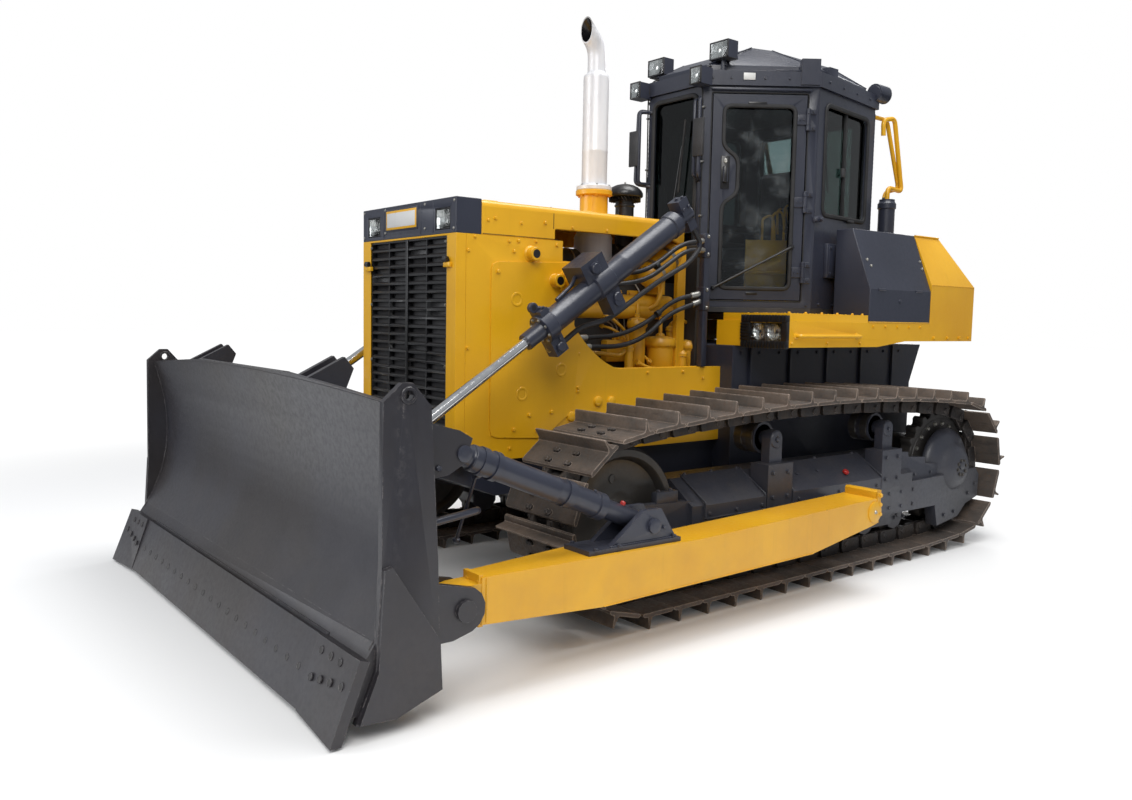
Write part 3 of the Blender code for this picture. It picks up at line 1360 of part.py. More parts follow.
def door_leaf(name):
    start, end, low, high = door_outline(0.0)
    leaf = wall_piece(name, DOOR_WALL, oblong((start, low), (end, high)), -CAB_SKIN, 0, [door_hole(0.0)])
    grip_at = start + PANE_RIM
    grip = oblong((grip_at, HANDLE_LOW + HANDLE_SLOPE * 2), (grip_at + GRIP_WIDTH, HANDLE_HIGH - HANDLE_SLOPE * 2))
    handle = wall_piece("handle", DOOR_WALL, grip, -OVERLAP, GRIP_OUT)
    return dress(fused(leaf, handle, *hinge_pieces(True)), "slate")


def hinge_pieces(on_door):
    # Door knuckles with a strap onto the leaf; the frame's knuckles stand above and below each
    turn, _ = wall_turn(DOOR_WALL)
    _, end, _, _ = door_span()
    pieces = []
    for height in HINGE_HEIGHTS:
        spans = [(-HINGE_HALF, HINGE_HALF)]
        if not on_door:
            spans = [(-HINGE_HALF * 2, -HINGE_HALF - GAP), (HINGE_HALF + GAP, HINGE_HALF * 2)]
        for low, high in spans:
            centre = turn @ Vector((end, height, HINGE_OUT))
            ends = centre + Vector((0, 0, low)), centre + Vector((0, 0, high))
            pieces.append(rod("knuckle", *ends, HINGE_RADIUS, sides=8))
            reach = (-HINGE_STRAP, -HINGE_INSET) if on_door else (HINGE_INSET, FRAME_STRAP)
            foot, head = height + low + HINGE_INSET, height + high - HINGE_INSET
            outline = oblong((end + reach[0], foot), (end + reach[1], head))
            pieces.append(wall_piece("strap", DOOR_WALL, outline, -HINGE_ROOT, HINGE_OUT - HINGE_INSET))
    return pieces


def door_glass(name):
    middle = -CAB_SKIN / 2
    return dress(wall_piece(name, DOOR_WALL, door_hole(GAP), middle - PANE / 2, middle + PANE / 2), "glass")


def hinge_place():
    turn, _ = wall_turn(DOOR_WALL)
    _, end, low, _ = door_span()
    return turn @ Vector((end, low, HINGE_OUT))


def cab_floor():
    # Floor plate on four feet, with the side console that shows through the door
    under = CAB_FLOOR - FLOOR_THICK
    floor = slab("cab_floor", [tuple(p) for p in plan()], "Z", under, CAB_FLOOR)
    console = block("console", (*CONSOLE_LOW, under + FLOOR_THICK / 2), (*CONSOLE_HIGH, CONSOLE_TOP))
    feet = []
    for side in (-1, 1):
        for y in (CAB_FOOT_FRONT, CAB_FOOT_REAR):
            x = side * CAB_FOOT_X
            ends = (x, y, CASE_TOP + GAP), (x, y, under + FLOOR_THICK / 2)
            feet.append(rod("foot", *ends, CAB_FOOT_RADIUS, sides=12))
    return dress(fused(floor, console, *feet), "slate")


def cab_roof():
    # A band over the walls, a hipped cap set in from it, and the boxes and lamps on them
    band_top = CAB_EAVE + BAND_HEIGHT
    band = slab("cab_roof", [tuple(p) for p in plan(BAND_OVERHANG)], "Z", CAB_EAVE, band_top)
    rim = plan(-CAP_RIM_IN)
    levels = [[(*p, z) for p in rim] for z in (band_top - OVERLAP, CAP_RIM_Z)]
    levels.append([(*p, ROOF_TOP) for p in CAP_TOP_PLACES])
    parts = [lofted("cap", levels)]
    for side in (-1, 1):
        for piece in roof_boxes():
            parts.append(piece if side > 0 else mirrored(piece, "box"))
            if side < 0:
                bpy.data.objects.remove(piece)
    return dress(fused(band, *parts), "slate")


def roof_boxes():
    start, end, foot, head, reach = CORNER_BOX
    middle = (REAR_LAMP_X, REAR_LAMP_Y - REAR_LAMP_DEPTH, REAR_LAMP_Z)
    stem_x, stem_y = WORK_LAMP_STEM
    stem = (stem_x, stem_y, CAB_EAVE + BAND_HEIGHT / 2), (stem_x, stem_y, WORK_LAMP_LOW[2] + OVERLAP)
    return [
        wall_piece("corner_box", DOOR_WALL, oblong((start, foot), (end, head)), -reach, reach),
        block("quarter_box", QUARTER_BOX_LOW, QUARTER_BOX_HIGH),
        block("work_lamp", WORK_LAMP_LOW, WORK_LAMP_HIGH),
        rod("stem", *stem, WORK_STEM_RADIUS, sides=12),
        block("corner_lamp", CORNER_LAMP_LOW, CORNER_LAMP_HIGH),
        rod("rear_lamp", middle, (REAR_LAMP_X, REAR_LAMP_Y, REAR_LAMP_Z), REAR_LAMP_RADIUS),
    ]


def seat():
    base = block("seat", (*SEAT_BASE_LOW, CAB_FLOOR + GAP), (*SEAT_BASE_HIGH, SEAT_BASE_TOP))
    return dress(fused(base, block("cushion", CUSHION_LOW, CUSHION_HIGH), block("back", BACK_LOW, BACK_HIGH)), "cloth")


# Fenders, boxes, tank


def fender(name):
    rear = TANK_FRONT - GAP
    outline = [(FENDER_FRONT, FENDER_LOW), (FENDER_RISE_FROM, FENDER_LOW), (FENDER_RISE_TO, FENDER_TAIL_LOW),
               (rear, FENDER_TAIL_LOW), (rear, FENDER_TOP), (FENDER_FRONT, FENDER_TOP)]
    body = slab(name, outline, "X", FENDER_IN, FENDER_OUT)
    pocket = block("pocket", (LAMP_POCKET_IN, FENDER_FRONT - OVERRUN, LAMP_POCKET_LOW),
                   (LAMP_POCKET_OUT, FENDER_FRONT + LAMP_POCKET_DEPTH, LAMP_POCKET_HIGH))
    margin = FENDER_LAMP
    lamp = block("lamp", (LAMP_POCKET_IN + margin, FENDER_FRONT + margin, LAMP_POCKET_LOW + margin),
                 (LAMP_POCKET_OUT - margin, FENDER_FRONT + LAMP_POCKET_DEPTH * 2, LAMP_POCKET_HIGH - margin))
    step = block("step", (STEP_IN, STEP_FRONT, FENDER_TOP - OVERLAP), (FENDER_OUT - STEP_INSET, STEP_REAR, STEP_TOP))
    root, out = FENDER_OUT - OVERLAP * 2, FENDER_OUT + HANDLE_OUT
    route = ((root, HANDLE_FRONT, HANDLE_Z), (out, HANDLE_FRONT, HANDLE_Z), (out, HANDLE_REAR, HANDLE_Z),
             (root, HANDLE_REAR, HANDLE_Z))
    handle = tube("handle", route, HANDLE_RADIUS, HANDLE_RADIUS * 2, 2)
    return dress(fused(cut(body, pocket), lamp, step, handle), "yellow")


def side_box(name):
    base = FENDER_TOP + GAP
    outline = [(BOX_IN, base), (FENDER_OUT, base), (FENDER_OUT, BOX_BELT), (TANK_TOP_HALF, TANK_TOP),
               (BOX_IN, TANK_TOP)]
    return dress(slab(name, outline, "Y", BOX_FRONT, TANK_FRONT - GAP), "slate")


def rear_tank():
    # Tank with sloped shoulders, a filler post and a grab rail beside each cab corner
    low_ring = [(side * FENDER_OUT, y) for side, y in
                ((-1, TANK_FRONT), (1, TANK_FRONT), (1, TANK_REAR), (-1, TANK_REAR))]
    top_ring = [(side * TANK_TOP_HALF, y) for side, y in
                ((-1, TANK_FRONT), (1, TANK_FRONT), (1, TANK_TOP_REAR), (-1, TANK_TOP_REAR))]
    levels = [[(*p, z) for p in low_ring] for z in (FENDER_TAIL_LOW, TANK_BELT)]
    levels.append([(*p, TANK_TOP) for p in top_ring])
    tank = lofted("rear_tank", levels)
    post_ends = (FILLER_X, FILLER_Y, TANK_TOP - OVERLAP * 2), (FILLER_X, FILLER_Y, FILLER_TOP)
    post = rod("post", *post_ends, FILLER_RADIUS)
    route = [(RAIL_X, y, z) for y, z in RAIL_ROUTE] + [(RAIL_X, CAB_REAR_Y + GAP, RAIL_ROUTE[-1][1])]
    rail = tube("rail", route, RAIL_RADIUS, RAIL_BEND, 3)
    others = [mirrored(post, "post_right"), mirrored(rail, "rail_right")]
    return dress(fused(tank, post, rail, *others), "yellow")


# Blade group


def moldboard():
    front = bend(BOARD_TOP, BOARD_BELLY, BOARD_FOOT, 16)
    back = [(y + BOARD_SKIN, z) for y, z in reversed(front) if z > BOARD_BACK_FROM]
    outline = [tuple(point) for point in front]
    outline += [edge_back(BOARD_EDGE_HIGH, SEAT), edge_back(BOARD_EDGE_LOW, SEAT), *BOARD_KEEL,
                (BOARD_BACK_Y, BOARD_BACK_Z)]
    outline += [point for point in back if point[0] < BOARD_BACK_Y + BOARD_SKIN / 2]
    board = slab("moldboard", outline, "X", -BLADE_HALF + CHEEK / 2, BLADE_HALF - CHEEK / 2)
    trims = []
    above = BOARD_TOP[1] + OVERRUN
    for side in (-1, 1):
        line = [(side * x, z) for x, z in CROWN_TABLE]
        crown = [(line[0][0], above), *line, (line[-1][0], above)]
        trims.append(slab("trim", crown, "Y", BOARD_FOOT[0] - OVERRUN, BOARD_BACK_Y + OVERRUN))
    return cut(board, *trims)


def cheek(side):
    # End plate with a lifting eye, and the wear plate on it
    ends = sorted((side * (BLADE_HALF - CHEEK), side * BLADE_HALF))
    eye = arc(CHEEK_EYE, CHEEK_EYE_RADIUS, 0, 315, 7)
    plate = slab("cheek", CHEEK_OUTLINE, "X", *ends, [eye])
    ends = sorted((side * (BLADE_HALF - CHEEK / 3), side * (BLADE_HALF + WEAR)))
    return plate, slab("wear", WEAR_OUTLINE, "X", *ends)


def lift_lugs(side):
    lugs = []
    half = EYE_HALF + EYE_CLEAR
    outline = [(LUG_FRONT_Y, LIFT_EYE_Z - LUG_REACH), (LUG_REAR_Y, LIFT_EYE_Z - LUG_REACH),
               *arc((LIFT_EYE_Y, LIFT_EYE_Z), LUG_RADIUS, -60, 80, 5), (LUG_REAR_Y, LIFT_EYE_Z + LUG_REACH),
               (LUG_FRONT_Y, LIFT_EYE_Z + LUG_REACH)]
    for x in (-half - LUG_THICK, half):
        low = side * LIFT_X + x
        lugs.append(slab("lug", outline, "X", low, low + LUG_THICK))
        lugs.append(slab("crown", LUG_CROWN, "X", low, low + LUG_THICK))
    return lugs


def clevis(side):
    # Two plates behind the lower corner with the pin's heads on their outer faces
    outline = [(CLEVIS_FRONT, CLEVIS_LOW), (CLEVIS_STEP, CLEVIS_LOW),
               *arc((BLADE_PIN_Y, BLADE_PIN_Z), CLEVIS_RADIUS, -70, 90, 6), (CLEVIS_FRONT, CLEVIS_HIGH)]
    inner, outer = ARM_NOSE_IN - GAP, ARM_OUT - ARM_EYE_INSET + GAP
    pieces = []
    for near, far in ((inner, inner - CLEVIS_THICK), (outer, outer + CLEVIS_THICK)):
        pieces.append(slab("clevis", outline, "X", *sorted((side * near, side * far))))
        reach = CLEVIS_HEAD if far > near else -CLEVIS_HEAD
        ends = (side * (near + far) / 2, BLADE_PIN_Y, BLADE_PIN_Z), (side * (far + reach), BLADE_PIN_Y, BLADE_PIN_Z)
        pieces.append(rod("pin_head", *ends, CLEVIS_PIN, sides=12))
    return pieces


def brace_bracket(side):
    pieces = []
    for reach in (-BRACKET_OUT, BRACKET_IN):
        low = BRACE_HEAD_X + reach
        ends = sorted((side * low, side * (low + BRACKET_OUT - BRACKET_IN)))
        pieces.append(slab("bracket", BRACKET_OUTLINE, "X", *ends))
    return pieces


def blade_body():
    parts = []
    for side in (-1, 1):
        parts += [*cheek(side), *lift_lugs(side), *clevis(side), *brace_bracket(side)]
    return dress(fused(moldboard(), *parts), "blade")


def edge_back(z, away=0.0):
    # The back plane of the cutting edge, or a plane behind it
    return EDGE_TOP_Y + (z - EDGE_TOP_Z) * EDGE_LEAN_SHARE + away, z


def cutting_edge():
    outline = [edge_back(EDGE_TOP_Z), edge_back(EDGE_FOOT_Z), EDGE_NOSE, EDGE_SHOULDER]
    edge = slab("cutting_edge", outline, "X", -BIT_START, BIT_START)
    return dress(fused(edge, *(end_bit(side) for side in (-1, 1))), "blade")


def end_bit(side):
    # Its lower edge slopes from the cutting edge down to the tip
    top = edge_back(EDGE_TOP_Z + BIT_RISE, -SEAT / 2)
    inner = [top, edge_back(BIT_INNER_FOOT_Z, -SEAT / 2), BIT_INNER_NOSE, BIT_SHOULDER]
    outer = [top, edge_back(BIT_FOOT_Z, -SEAT / 2), BIT_NOSE, BIT_SHOULDER]
    rings = [[(side * x, *point) for point in ring] for x, ring in ((BIT_START - BIT_LAP, inner), (BIT_END, outer))]
    return lofted("end_bit", rings)


def arm_top(y):
    # Height of the arm's upper line
    (rear_y, rear_z), (front_y, front_z) = ARM_OUTLINE[-2:]
    return rear_z + (front_z - rear_z) * (rear_y - y) / (rear_y - front_y)


def push_arm(name):
    beam = slab(name, ARM_OUTLINE, "X", ARM_IN, ARM_OUT)
    past = ARM_FRONT - OVERRUN
    taper = [(ARM_IN - OVERRUN, ARM_TAPER_Y), (ARM_IN, ARM_TAPER_Y), (ARM_NOSE_IN, ARM_FRONT), (ARM_NOSE_IN, past),
             (ARM_IN - OVERRUN, past)]
    cap = slab("cap", ARM_CAP_OUTLINE, "X", ARM_IN + ARM_FLANGE / 2, ARM_OUT - ARM_FLANGE / 2)
    start = (ARM_IN - OVERRUN, PIVOT_Y, PIVOT_Z)
    end = (ARM_IN + PIVOT_REACH + RUN, PIVOT_Y, PIVOT_Z)
    bore = rod("bore", start, end, PIVOT_RADIUS + SEAT, sides=32)
    beam = cut(fused(beam, cap), slab("taper", taper, "Z", 0, BRACE_HEAD_Z), bore)
    round_end = arc((BLADE_PIN_Y, BLADE_PIN_Z), ARM_EYE_RADIUS, 90, 270, 8)
    eye = slab("eye", [(ARM_EYE_BACK, ARM_EYE_LOW), (ARM_EYE_BACK, ARM_EYE_HIGH), *round_end],
               "X", ARM_NOSE_IN, ARM_OUT - ARM_EYE_INSET)
    foot, head = ARM_OUTLINE[0][1] - ARM_FLANGE / 2, ARM_OUTLINE[-1][1] + ARM_FLANGE / 2
    flange = block("flange", (ARM_NOSE_IN + ARM_EYE_INSET, ARM_FRONT - ARM_FLANGE / 2, foot),
                   (ARM_OUT - ARM_EYE_INSET * 2, ARM_FRONT + ARM_FLANGE / 2, head))
    return dress(fused(beam, eye, flange), "yellow")


def brace(name):
    # Tilt brace with its base plate on the arm and two lugs round its lower eye
    foot, head = Vector((BRACE_FOOT_X, *BRACE_FOOT)), Vector((BRACE_HEAD_X, BRACE_HEAD_Y, BRACE_HEAD_Z))
    low, high = BRACE_TUBE_SHARES
    tube_piece = rod(name, foot.lerp(head, low), foot.lerp(head, high), BRACE_NECK)
    parts = [rod("sleeve", foot.lerp(head, BRACE_STEP_SHARE), foot.lerp(head, BRACE_SLEEVE_SHARE), BRACE_RADIUS)]
    for start, end in BRACE_COLLAR_SHARES:
        parts.append(rod("collar", foot.lerp(head, start), foot.lerp(head, end), BRACE_COLLAR))
    across = Vector((BRACE_EYE_HALF, 0, 0))
    parts.append(rod("eye", foot - across, foot + across, BRACE_EYE, sides=12))
    parts.append(rod("head_eye", head - across, head + across, BRACE_EYE, sides=12))
    pin = Vector((BRACKET_OUT + BRACE_PIN_HEAD, 0, 0))
    parts.append(rod("pin", foot - pin, foot + pin, BRACE_PIN, sides=10))
    base = [(BASE_FRONT, arm_top(BASE_FRONT) + GAP), (BASE_REAR, arm_top(BASE_REAR) + GAP),
            (BASE_REAR, arm_top(BASE_REAR) + BASE_THICK), (BASE_FRONT, arm_top(BASE_FRONT) + BASE_THICK)]
    parts.append(slab("base", base, "X", ARM_IN + BASE_MARGIN, ARM_OUT - BASE_MARGIN))
    for reach in (-BRACKET_OUT, BRACKET_IN):
        low_x = BRACE_FOOT_X + reach
        parts.append(slab("lug", BRACE_LUG_OUTLINE, "X", low_x, low_x + BRACKET_OUT - BRACKET_IN))
    return dress(fused(tube_piece, *parts), "slate", True)


# Lift cylinders


def lift_frame():
    pivot_at = Vector((LIFT_X, LIFT_PIVOT_Y, LIFT_PIVOT_Z))
    eye_at = Vector((LIFT_X, LIFT_EYE_Y, LIFT_EYE_Z))
    return pivot_at, eye_at, (eye_at - pivot_at).normalized()


def barrel(name):
    pivot_at, _, along = lift_frame()

    def at(reach):
        return pivot_at + along * reach

    tube_piece = rod(name, at(BARREL_FRONT), at(-BARREL_BACK), BARREL_RADIUS)
    parts = [rod("ring", at(high), at(low), radius) for low, high, radius in (*GLAND_TABLE, *RING_TABLE)]
    axle_end = (BODY_HALF + GAP, pivot_at.y, pivot_at.z)
    parts.append(rod("axle", pivot_at - Vector((TRUNNION_INNER, 0, 0)), axle_end, TRUNNION_RADIUS, sides=24))
    bore = rod("bore", at(BARREL_BORE_FROM), at(-BARREL_BORE_TO), ROD_RADIUS + SEAT)
    feed = tube("feed", FEED_ROUTE, HOSE_RADIUS, FEED_BEND, 1, 6)
    whole = fused(tube_piece, *parts, *barrel_blocks(), feed)
    return dress(cut(whole, bore), "slate", True)


def barrel_blocks():
    # Yoke, gland clamp and port blocks, in the cylinder's own directions
    pivot_at, _, along = lift_frame()
    up = Vector((0, along.z, -along.y))
    turn = Matrix(((1, 0, 0, 0), (0, along.y, up.y, pivot_at.y), (0, along.z, up.z, pivot_at.z), (0, 0, 0, 1)))
    pieces = []
    for from_pivot, to, low, high, inner, outer in BLOCK_TABLE:
        piece = block("block", (inner, from_pivot, low), (outer, to, high))
        piece.data.transform(turn)
        tidy(piece.data)
        pieces.append(piece)
    for reach, height, radius, inner, outer in STUD_TABLE:
        ends = [turn @ Vector((x, reach, height)) for x in (inner, outer)]
        pieces.append(rod("stud", *ends, radius, sides=10))
    root, tip = (Vector(place) for place in LEVER)
    pieces.append(rod("lever", root, tip, LEVER_RADIUS, sides=8))
    across = Vector((LEVER_EYE_HALF, 0, 0))
    pieces.append(rod("lever_eye", tip - across, tip + across, LEVER_EYE, sides=12))
    return pieces


def piston_rod(name):
    pivot_at, eye_at, along = lift_frame()
    inner = pivot_at + along * (BARREL_FRONT - ROD_INSIDE)
    shaft = rod(name, eye_at - along * ROD_RADIUS, inner, ROD_RADIUS)
    across = Vector((EYE_HALF, 0, 0))
    return dress(fused(shaft, rod("eye", eye_at - across, eye_at + across, EYE_RADIUS)), "bright", True)


def build():
    for maker, stem in ((track, "track"), (track_frame, "track_frame"), (idler, "idler"), (drive_wheel, "drive_wheel"),
                        (side_frame, "side_frame"), (cab_side, "cab_side"), (fender, "fender"), (side_box, "side_box"),
                        (hoses, "hoses")):
        both_sides(maker(stem), stem)
    for maker in (main_frame, equalizer_bar, radiator_guard, grille, headlamp_cap, hood, engine, exhaust_stack,
                  pre_cleaner, cab_front, cab_floor, cab_roof, seat, rear_tank):
        maker()
    glazed_wall("cab_rear", WINDOW_TABLE["rear"])
    pane("windscreen", WINDOW_TABLE["front"])
    pane("rear_glass", WINDOW_TABLE["rear"])
    both_sides(pane("side_glass", WINDOW_TABLE["side"]), "side_glass")

    lift = pivot("blade_lift", (0, PIVOT_Y, PIVOT_Z))
    blade_group = [blade_body(), cutting_edge()]
    for maker, stem in ((push_arm, "push_arm"), (brace, "brace")):
        blade_group += both_sides(maker(stem), stem)
    ride(blade_group, lift)

    pivot_at, _, _ = lift_frame()
    hinge_at = hinge_place()
    barrels = both_sides(barrel("barrel"), "barrel")
    rods = both_sides(piston_rod("piston_rod"), "piston_rod")
    leaves = both_sides(door_leaf("door"), "door")
    panes = both_sides(door_glass("door_glass"), "door_glass")
    for side, sign in ((0, 1), (1, -1)):
        label = ("left", "right")[side]
        swing = pivot("lift_swing_" + label, (sign * pivot_at.x, pivot_at.y, pivot_at.z))
        ride([barrels[side], rods[side]], swing)
        hinge = pivot("door_hinge_" + label, (sign * hinge_at.x, hinge_at.y, hinge_at.z))
        ride([leaves[side], panes[side]], hinge)


clear_scene()
machine = bpy.data.collections.new("crawler_dozer")
bpy.context.scene.collection.children.link(machine)
build()
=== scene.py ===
import json
import math
import random

import bmesh
import bpy
from mathutils import Matrix, Vector


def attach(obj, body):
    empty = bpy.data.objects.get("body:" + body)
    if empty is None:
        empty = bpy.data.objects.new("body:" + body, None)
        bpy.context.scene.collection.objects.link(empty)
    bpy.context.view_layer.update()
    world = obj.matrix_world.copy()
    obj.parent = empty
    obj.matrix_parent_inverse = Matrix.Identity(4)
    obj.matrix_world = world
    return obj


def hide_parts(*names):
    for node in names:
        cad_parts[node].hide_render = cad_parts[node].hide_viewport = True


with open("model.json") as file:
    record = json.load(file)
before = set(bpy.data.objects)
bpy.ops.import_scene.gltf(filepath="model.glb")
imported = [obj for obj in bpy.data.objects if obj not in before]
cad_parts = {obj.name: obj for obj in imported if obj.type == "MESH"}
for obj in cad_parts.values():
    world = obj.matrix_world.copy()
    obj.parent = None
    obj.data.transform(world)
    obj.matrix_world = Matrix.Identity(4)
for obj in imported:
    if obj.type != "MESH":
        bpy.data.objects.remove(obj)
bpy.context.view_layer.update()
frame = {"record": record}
nodeBodies = {node: body for body, nodes in frame["record"]["behaviour"]["bodies"].items() for node in nodes}
print("frame loaded:", len(nodeBodies), "nodes")

# the photo's camera, fitted to the machine's straight edges
camera = {"place": (4.6306, -4.0826, 1.5739), "yaw": 51.584, "pitch": -5.1146, "roll": 1.1285, "lens": 29.81}


def makeCamera():
    yaw, pitch, roll = (math.radians(camera[k]) for k in ("yaw", "pitch", "roll"))
    look = Vector((-math.sin(yaw) * math.cos(pitch), math.cos(yaw) * math.cos(pitch), math.sin(pitch)))
    right = Vector((math.cos(yaw), math.sin(yaw), 0))
    up = right.cross(look)
    across = right * math.cos(roll) + up * math.sin(roll)
    above = up * math.cos(roll) - right * math.sin(roll)
    data = bpy.data.cameras.new("photoCamera")
    data.lens = camera["lens"]
    data.sensor_width = 36
    data.clip_end = 100
    made = bpy.data.objects.new("photoCamera", data)
    bpy.context.scene.collection.objects.link(made)
    turn = Matrix((across, above, -look)).transposed().to_4x4()
    made.matrix_world = Matrix.Translation(camera["place"]) @ turn
    bpy.context.scene.camera = made


makeCamera()


# Materials
class Graph:
    # short hands for wiring one material
    def __init__(self, name):
        self.material = bpy.data.materials.new(name)
        self.material.use_nodes = True
        self.tree = self.material.node_tree
        self.tree.nodes.clear()
        self.out = self.tree.nodes.new("ShaderNodeOutputMaterial")
        self.shader = self.tree.nodes.new("ShaderNodeBsdfPrincipled")
        self.link(self.shader.outputs[0], self.out.inputs["Surface"])
        self.place = self.tree.nodes.new("ShaderNodeTexCoord").outputs["Object"]

    def link(self, source, target):
        self.tree.links.new(source, target)

    def node(self, kind, **settings):
        made = self.tree.nodes.new(kind)
        for key, value in settings.items():
            setattr(made, key, value)
        return made

    def feed(self, socket, value):
        if isinstance(value, bpy.types.NodeSocket):
            self.link(value, socket)
        elif isinstance(value, (tuple, list)) and len(value) == 3 and socket.type == "RGBA":
            socket.default_value = (*value, 1)
        else:
            socket.default_value = value

    def noise(self, scale, detail=4, rough=0.55, stretch=None, warp=0.0):
        made = self.node("ShaderNodeTexNoise")
        for key, value in (("Scale", scale), ("Detail", detail), ("Roughness", rough), ("Distortion", warp)):
            made.inputs[key].default_value = value
        place = self.place
        if stretch:
            mapping = self.node("ShaderNodeMapping")
            mapping.inputs["Scale"].default_value = stretch
            self.link(place, mapping.inputs["Vector"])
            place = mapping.outputs[0]
        self.link(place, made.inputs["Vector"])
        return made.outputs[0]

    def ramp(self, source, low, high, first=0.0, last=1.0):
        made = self.node("ShaderNodeMapRange", interpolation_type="SMOOTHSTEP")
        self.link(source, made.inputs["Value"])
        for key, value in (("From Min", low), ("From Max", high), ("To Min", first), ("To Max", last)):
            made.inputs[key].default_value = value
        return made.outputs[0]

    def math(self, operation, a, b=0.0, clamp=False):
        made = self.node("ShaderNodeMath", operation=operation, use_clamp=clamp)
        self.feed(made.inputs[0], a)
        self.feed(made.inputs[1], b)
        return made.outputs[0]

    def mix(self, share, a, b):
        made = self.node("ShaderNodeMix", data_type="RGBA")
        self.feed(made.inputs[0], share)
        self.feed(made.inputs[6], a)
        self.feed(made.inputs[7], b)
        return made.outputs[2]

    def axis(self, index):
        split = self.node("ShaderNodeSeparateXYZ")
        self.link(self.place, split.inputs[0])
        return split.outputs[index]

    def upward(self):
        # 1 where the surface faces the sky
        split = self.node("ShaderNodeSeparateXYZ")
        self.link(self.node("ShaderNodeNewGeometry").outputs["Normal"], split.inputs[0])
        return split.outputs[2]

    def edges(self, radius=0.006):
        # bright where the surface turns sharply
        soft = self.node("ShaderNodeBevel", samples=4)
        soft.inputs["Radius"].default_value = radius
        dot = self.node("ShaderNodeVectorMath", operation="DOT_PRODUCT")
        self.link(soft.outputs[0], dot.inputs[0])
        self.link(self.node("ShaderNodeNewGeometry").outputs["True Normal"], dot.inputs[1])
        return self.ramp(self.math("SUBTRACT", 1.0, dot.outputs["Value"]), 0.01, 0.12)

    def relief(self, source, strength, distance):
        made = self.node("ShaderNodeBump")
        made.inputs["Strength"].default_value = strength
        made.inputs["Distance"].default_value = distance
        self.link(source, made.inputs["Height"])
        self.link(made.outputs[0], self.shader.inputs["Normal"])

    def finish(self, **values):
        for key, value in values.items():
            self.feed(self.shader.inputs[key.replace("_", " ")], value)
        return self.material


def enamel(name, base, shade, rough, dust=(0.17, 0.135, 0.10), dustTop=1.0, dustMost=0.35, wear=(0.06, 0.05, 0.045),
           streaks=0.25, settled=0.25, chipFrom=0.56, coat=0.2):
    # paint over cast or plate steel: broad fading, run-down streaks, low dust, dust on decks, chipped edges
    g = Graph(name)
    fine = g.noise(42, 6, 0.65)
    colour = g.mix(g.ramp(g.noise(1.3, 5), 0.35, 0.68), base, shade)
    colour = g.mix(g.ramp(g.noise(160, 3), 0.35, 0.75, 0, 0.22), colour, shade)
    streak = g.ramp(g.noise(6, 6, 0.62, stretch=(3.4, 3.4, 0.22)), 0.54, 0.80, 0, streaks)
    colour = g.mix(streak, colour, tuple(c * 0.5 for c in base))
    patch = g.ramp(g.noise(3.6, 7, 0.62), 0.34, 0.72, 0.15, 1.0)
    low = g.math("MULTIPLY", g.ramp(g.axis(2), dustTop, 0.0, 0, dustMost), patch)
    deck = g.math("MULTIPLY", g.ramp(g.upward(), 0.55, 0.95, 0, settled), patch)
    dusty = g.math("MAXIMUM", low, deck)
    colour = g.mix(dusty, colour, dust)
    chips = g.math("MULTIPLY", g.edges(), g.ramp(fine, chipFrom, chipFrom + 0.10))
    colour = g.mix(chips, colour, wear)
    roughness = g.math("ADD", g.ramp(fine, 0.3, 0.8, rough - 0.06, rough + 0.12), g.math("MULTIPLY", dusty, 0.6), True)
    g.relief(g.math("ADD", g.noise(260, 3), g.math("MULTIPLY", g.noise(9, 3), 2.0)), 0.10, 0.0012)
    return g.finish(Base_Color=colour, Roughness=roughness, Coat_Weight=coat, Coat_Roughness=0.22)


materials = {
    "yellow": enamel("yellowEnamel", (0.80, 0.425, 0.009), (0.70, 0.345, 0.007), 0.34, dustMost=0.22, settled=0.10,
                     streaks=0.16, chipFrom=0.60),
    "slate": enamel("slateEnamel", (0.029, 0.033, 0.052), (0.020, 0.023, 0.038), 0.36, dust=(0.085, 0.08, 0.075),
                    streaks=0.30, settled=0.20),
    "slateLow": enamel("trackFrameEnamel", (0.033, 0.036, 0.052), (0.022, 0.025, 0.036), 0.42, dust=(0.09, 0.08, 0.07),
                       dustMost=0.40, settled=0.35, streaks=0.45, chipFrom=0.52),
    "blade": enamel("bladeEnamel", (0.023, 0.023, 0.031), (0.019, 0.016, 0.017), 0.40, dust=(0.075, 0.062, 0.055),
                    dustMost=0.30, dustTop=0.9, wear=(0.13, 0.12, 0.12), streaks=0.45, chipFrom=0.50),
    # dark oily casting; it also paints the shade of the engine bay's core and inner wall
    "cast": enamel("oilyCasting", (0.034, 0.032, 0.031), (0.020, 0.019, 0.018), 0.46, dustMost=0.35, streaks=0.5),
    "black": enamel("blackEnamel", (0.010, 0.010, 0.012), (0.006, 0.006, 0.007), 0.36, dustMost=0.15, settled=0.12,
                    streaks=0.1, wear=(0.03, 0.03, 0.03)),
    "plate": enamel("framePlate", (0.032, 0.031, 0.034), (0.022, 0.021, 0.023), 0.5, dustMost=0.25),
    "blank": enamel("blankPlate", (0.68, 0.68, 0.67), (0.60, 0.60, 0.58), 0.40, dustMost=0.1, settled=0.1),
    "red": enamel("redPlastic", (0.42, 0.012, 0.010), (0.30, 0.010, 0.008), 0.40, dustMost=0.1, settled=0.1),
    "filter": enamel("filterCan", (0.42, 0.40, 0.36), (0.34, 0.32, 0.29), 0.36, dustMost=0.1),
    "amber": enamel("agedYellow", (0.78, 0.400, 0.012), (0.60, 0.280, 0.010), 0.38, streaks=0.55, settled=0.3,
                    chipFrom=0.5),
}


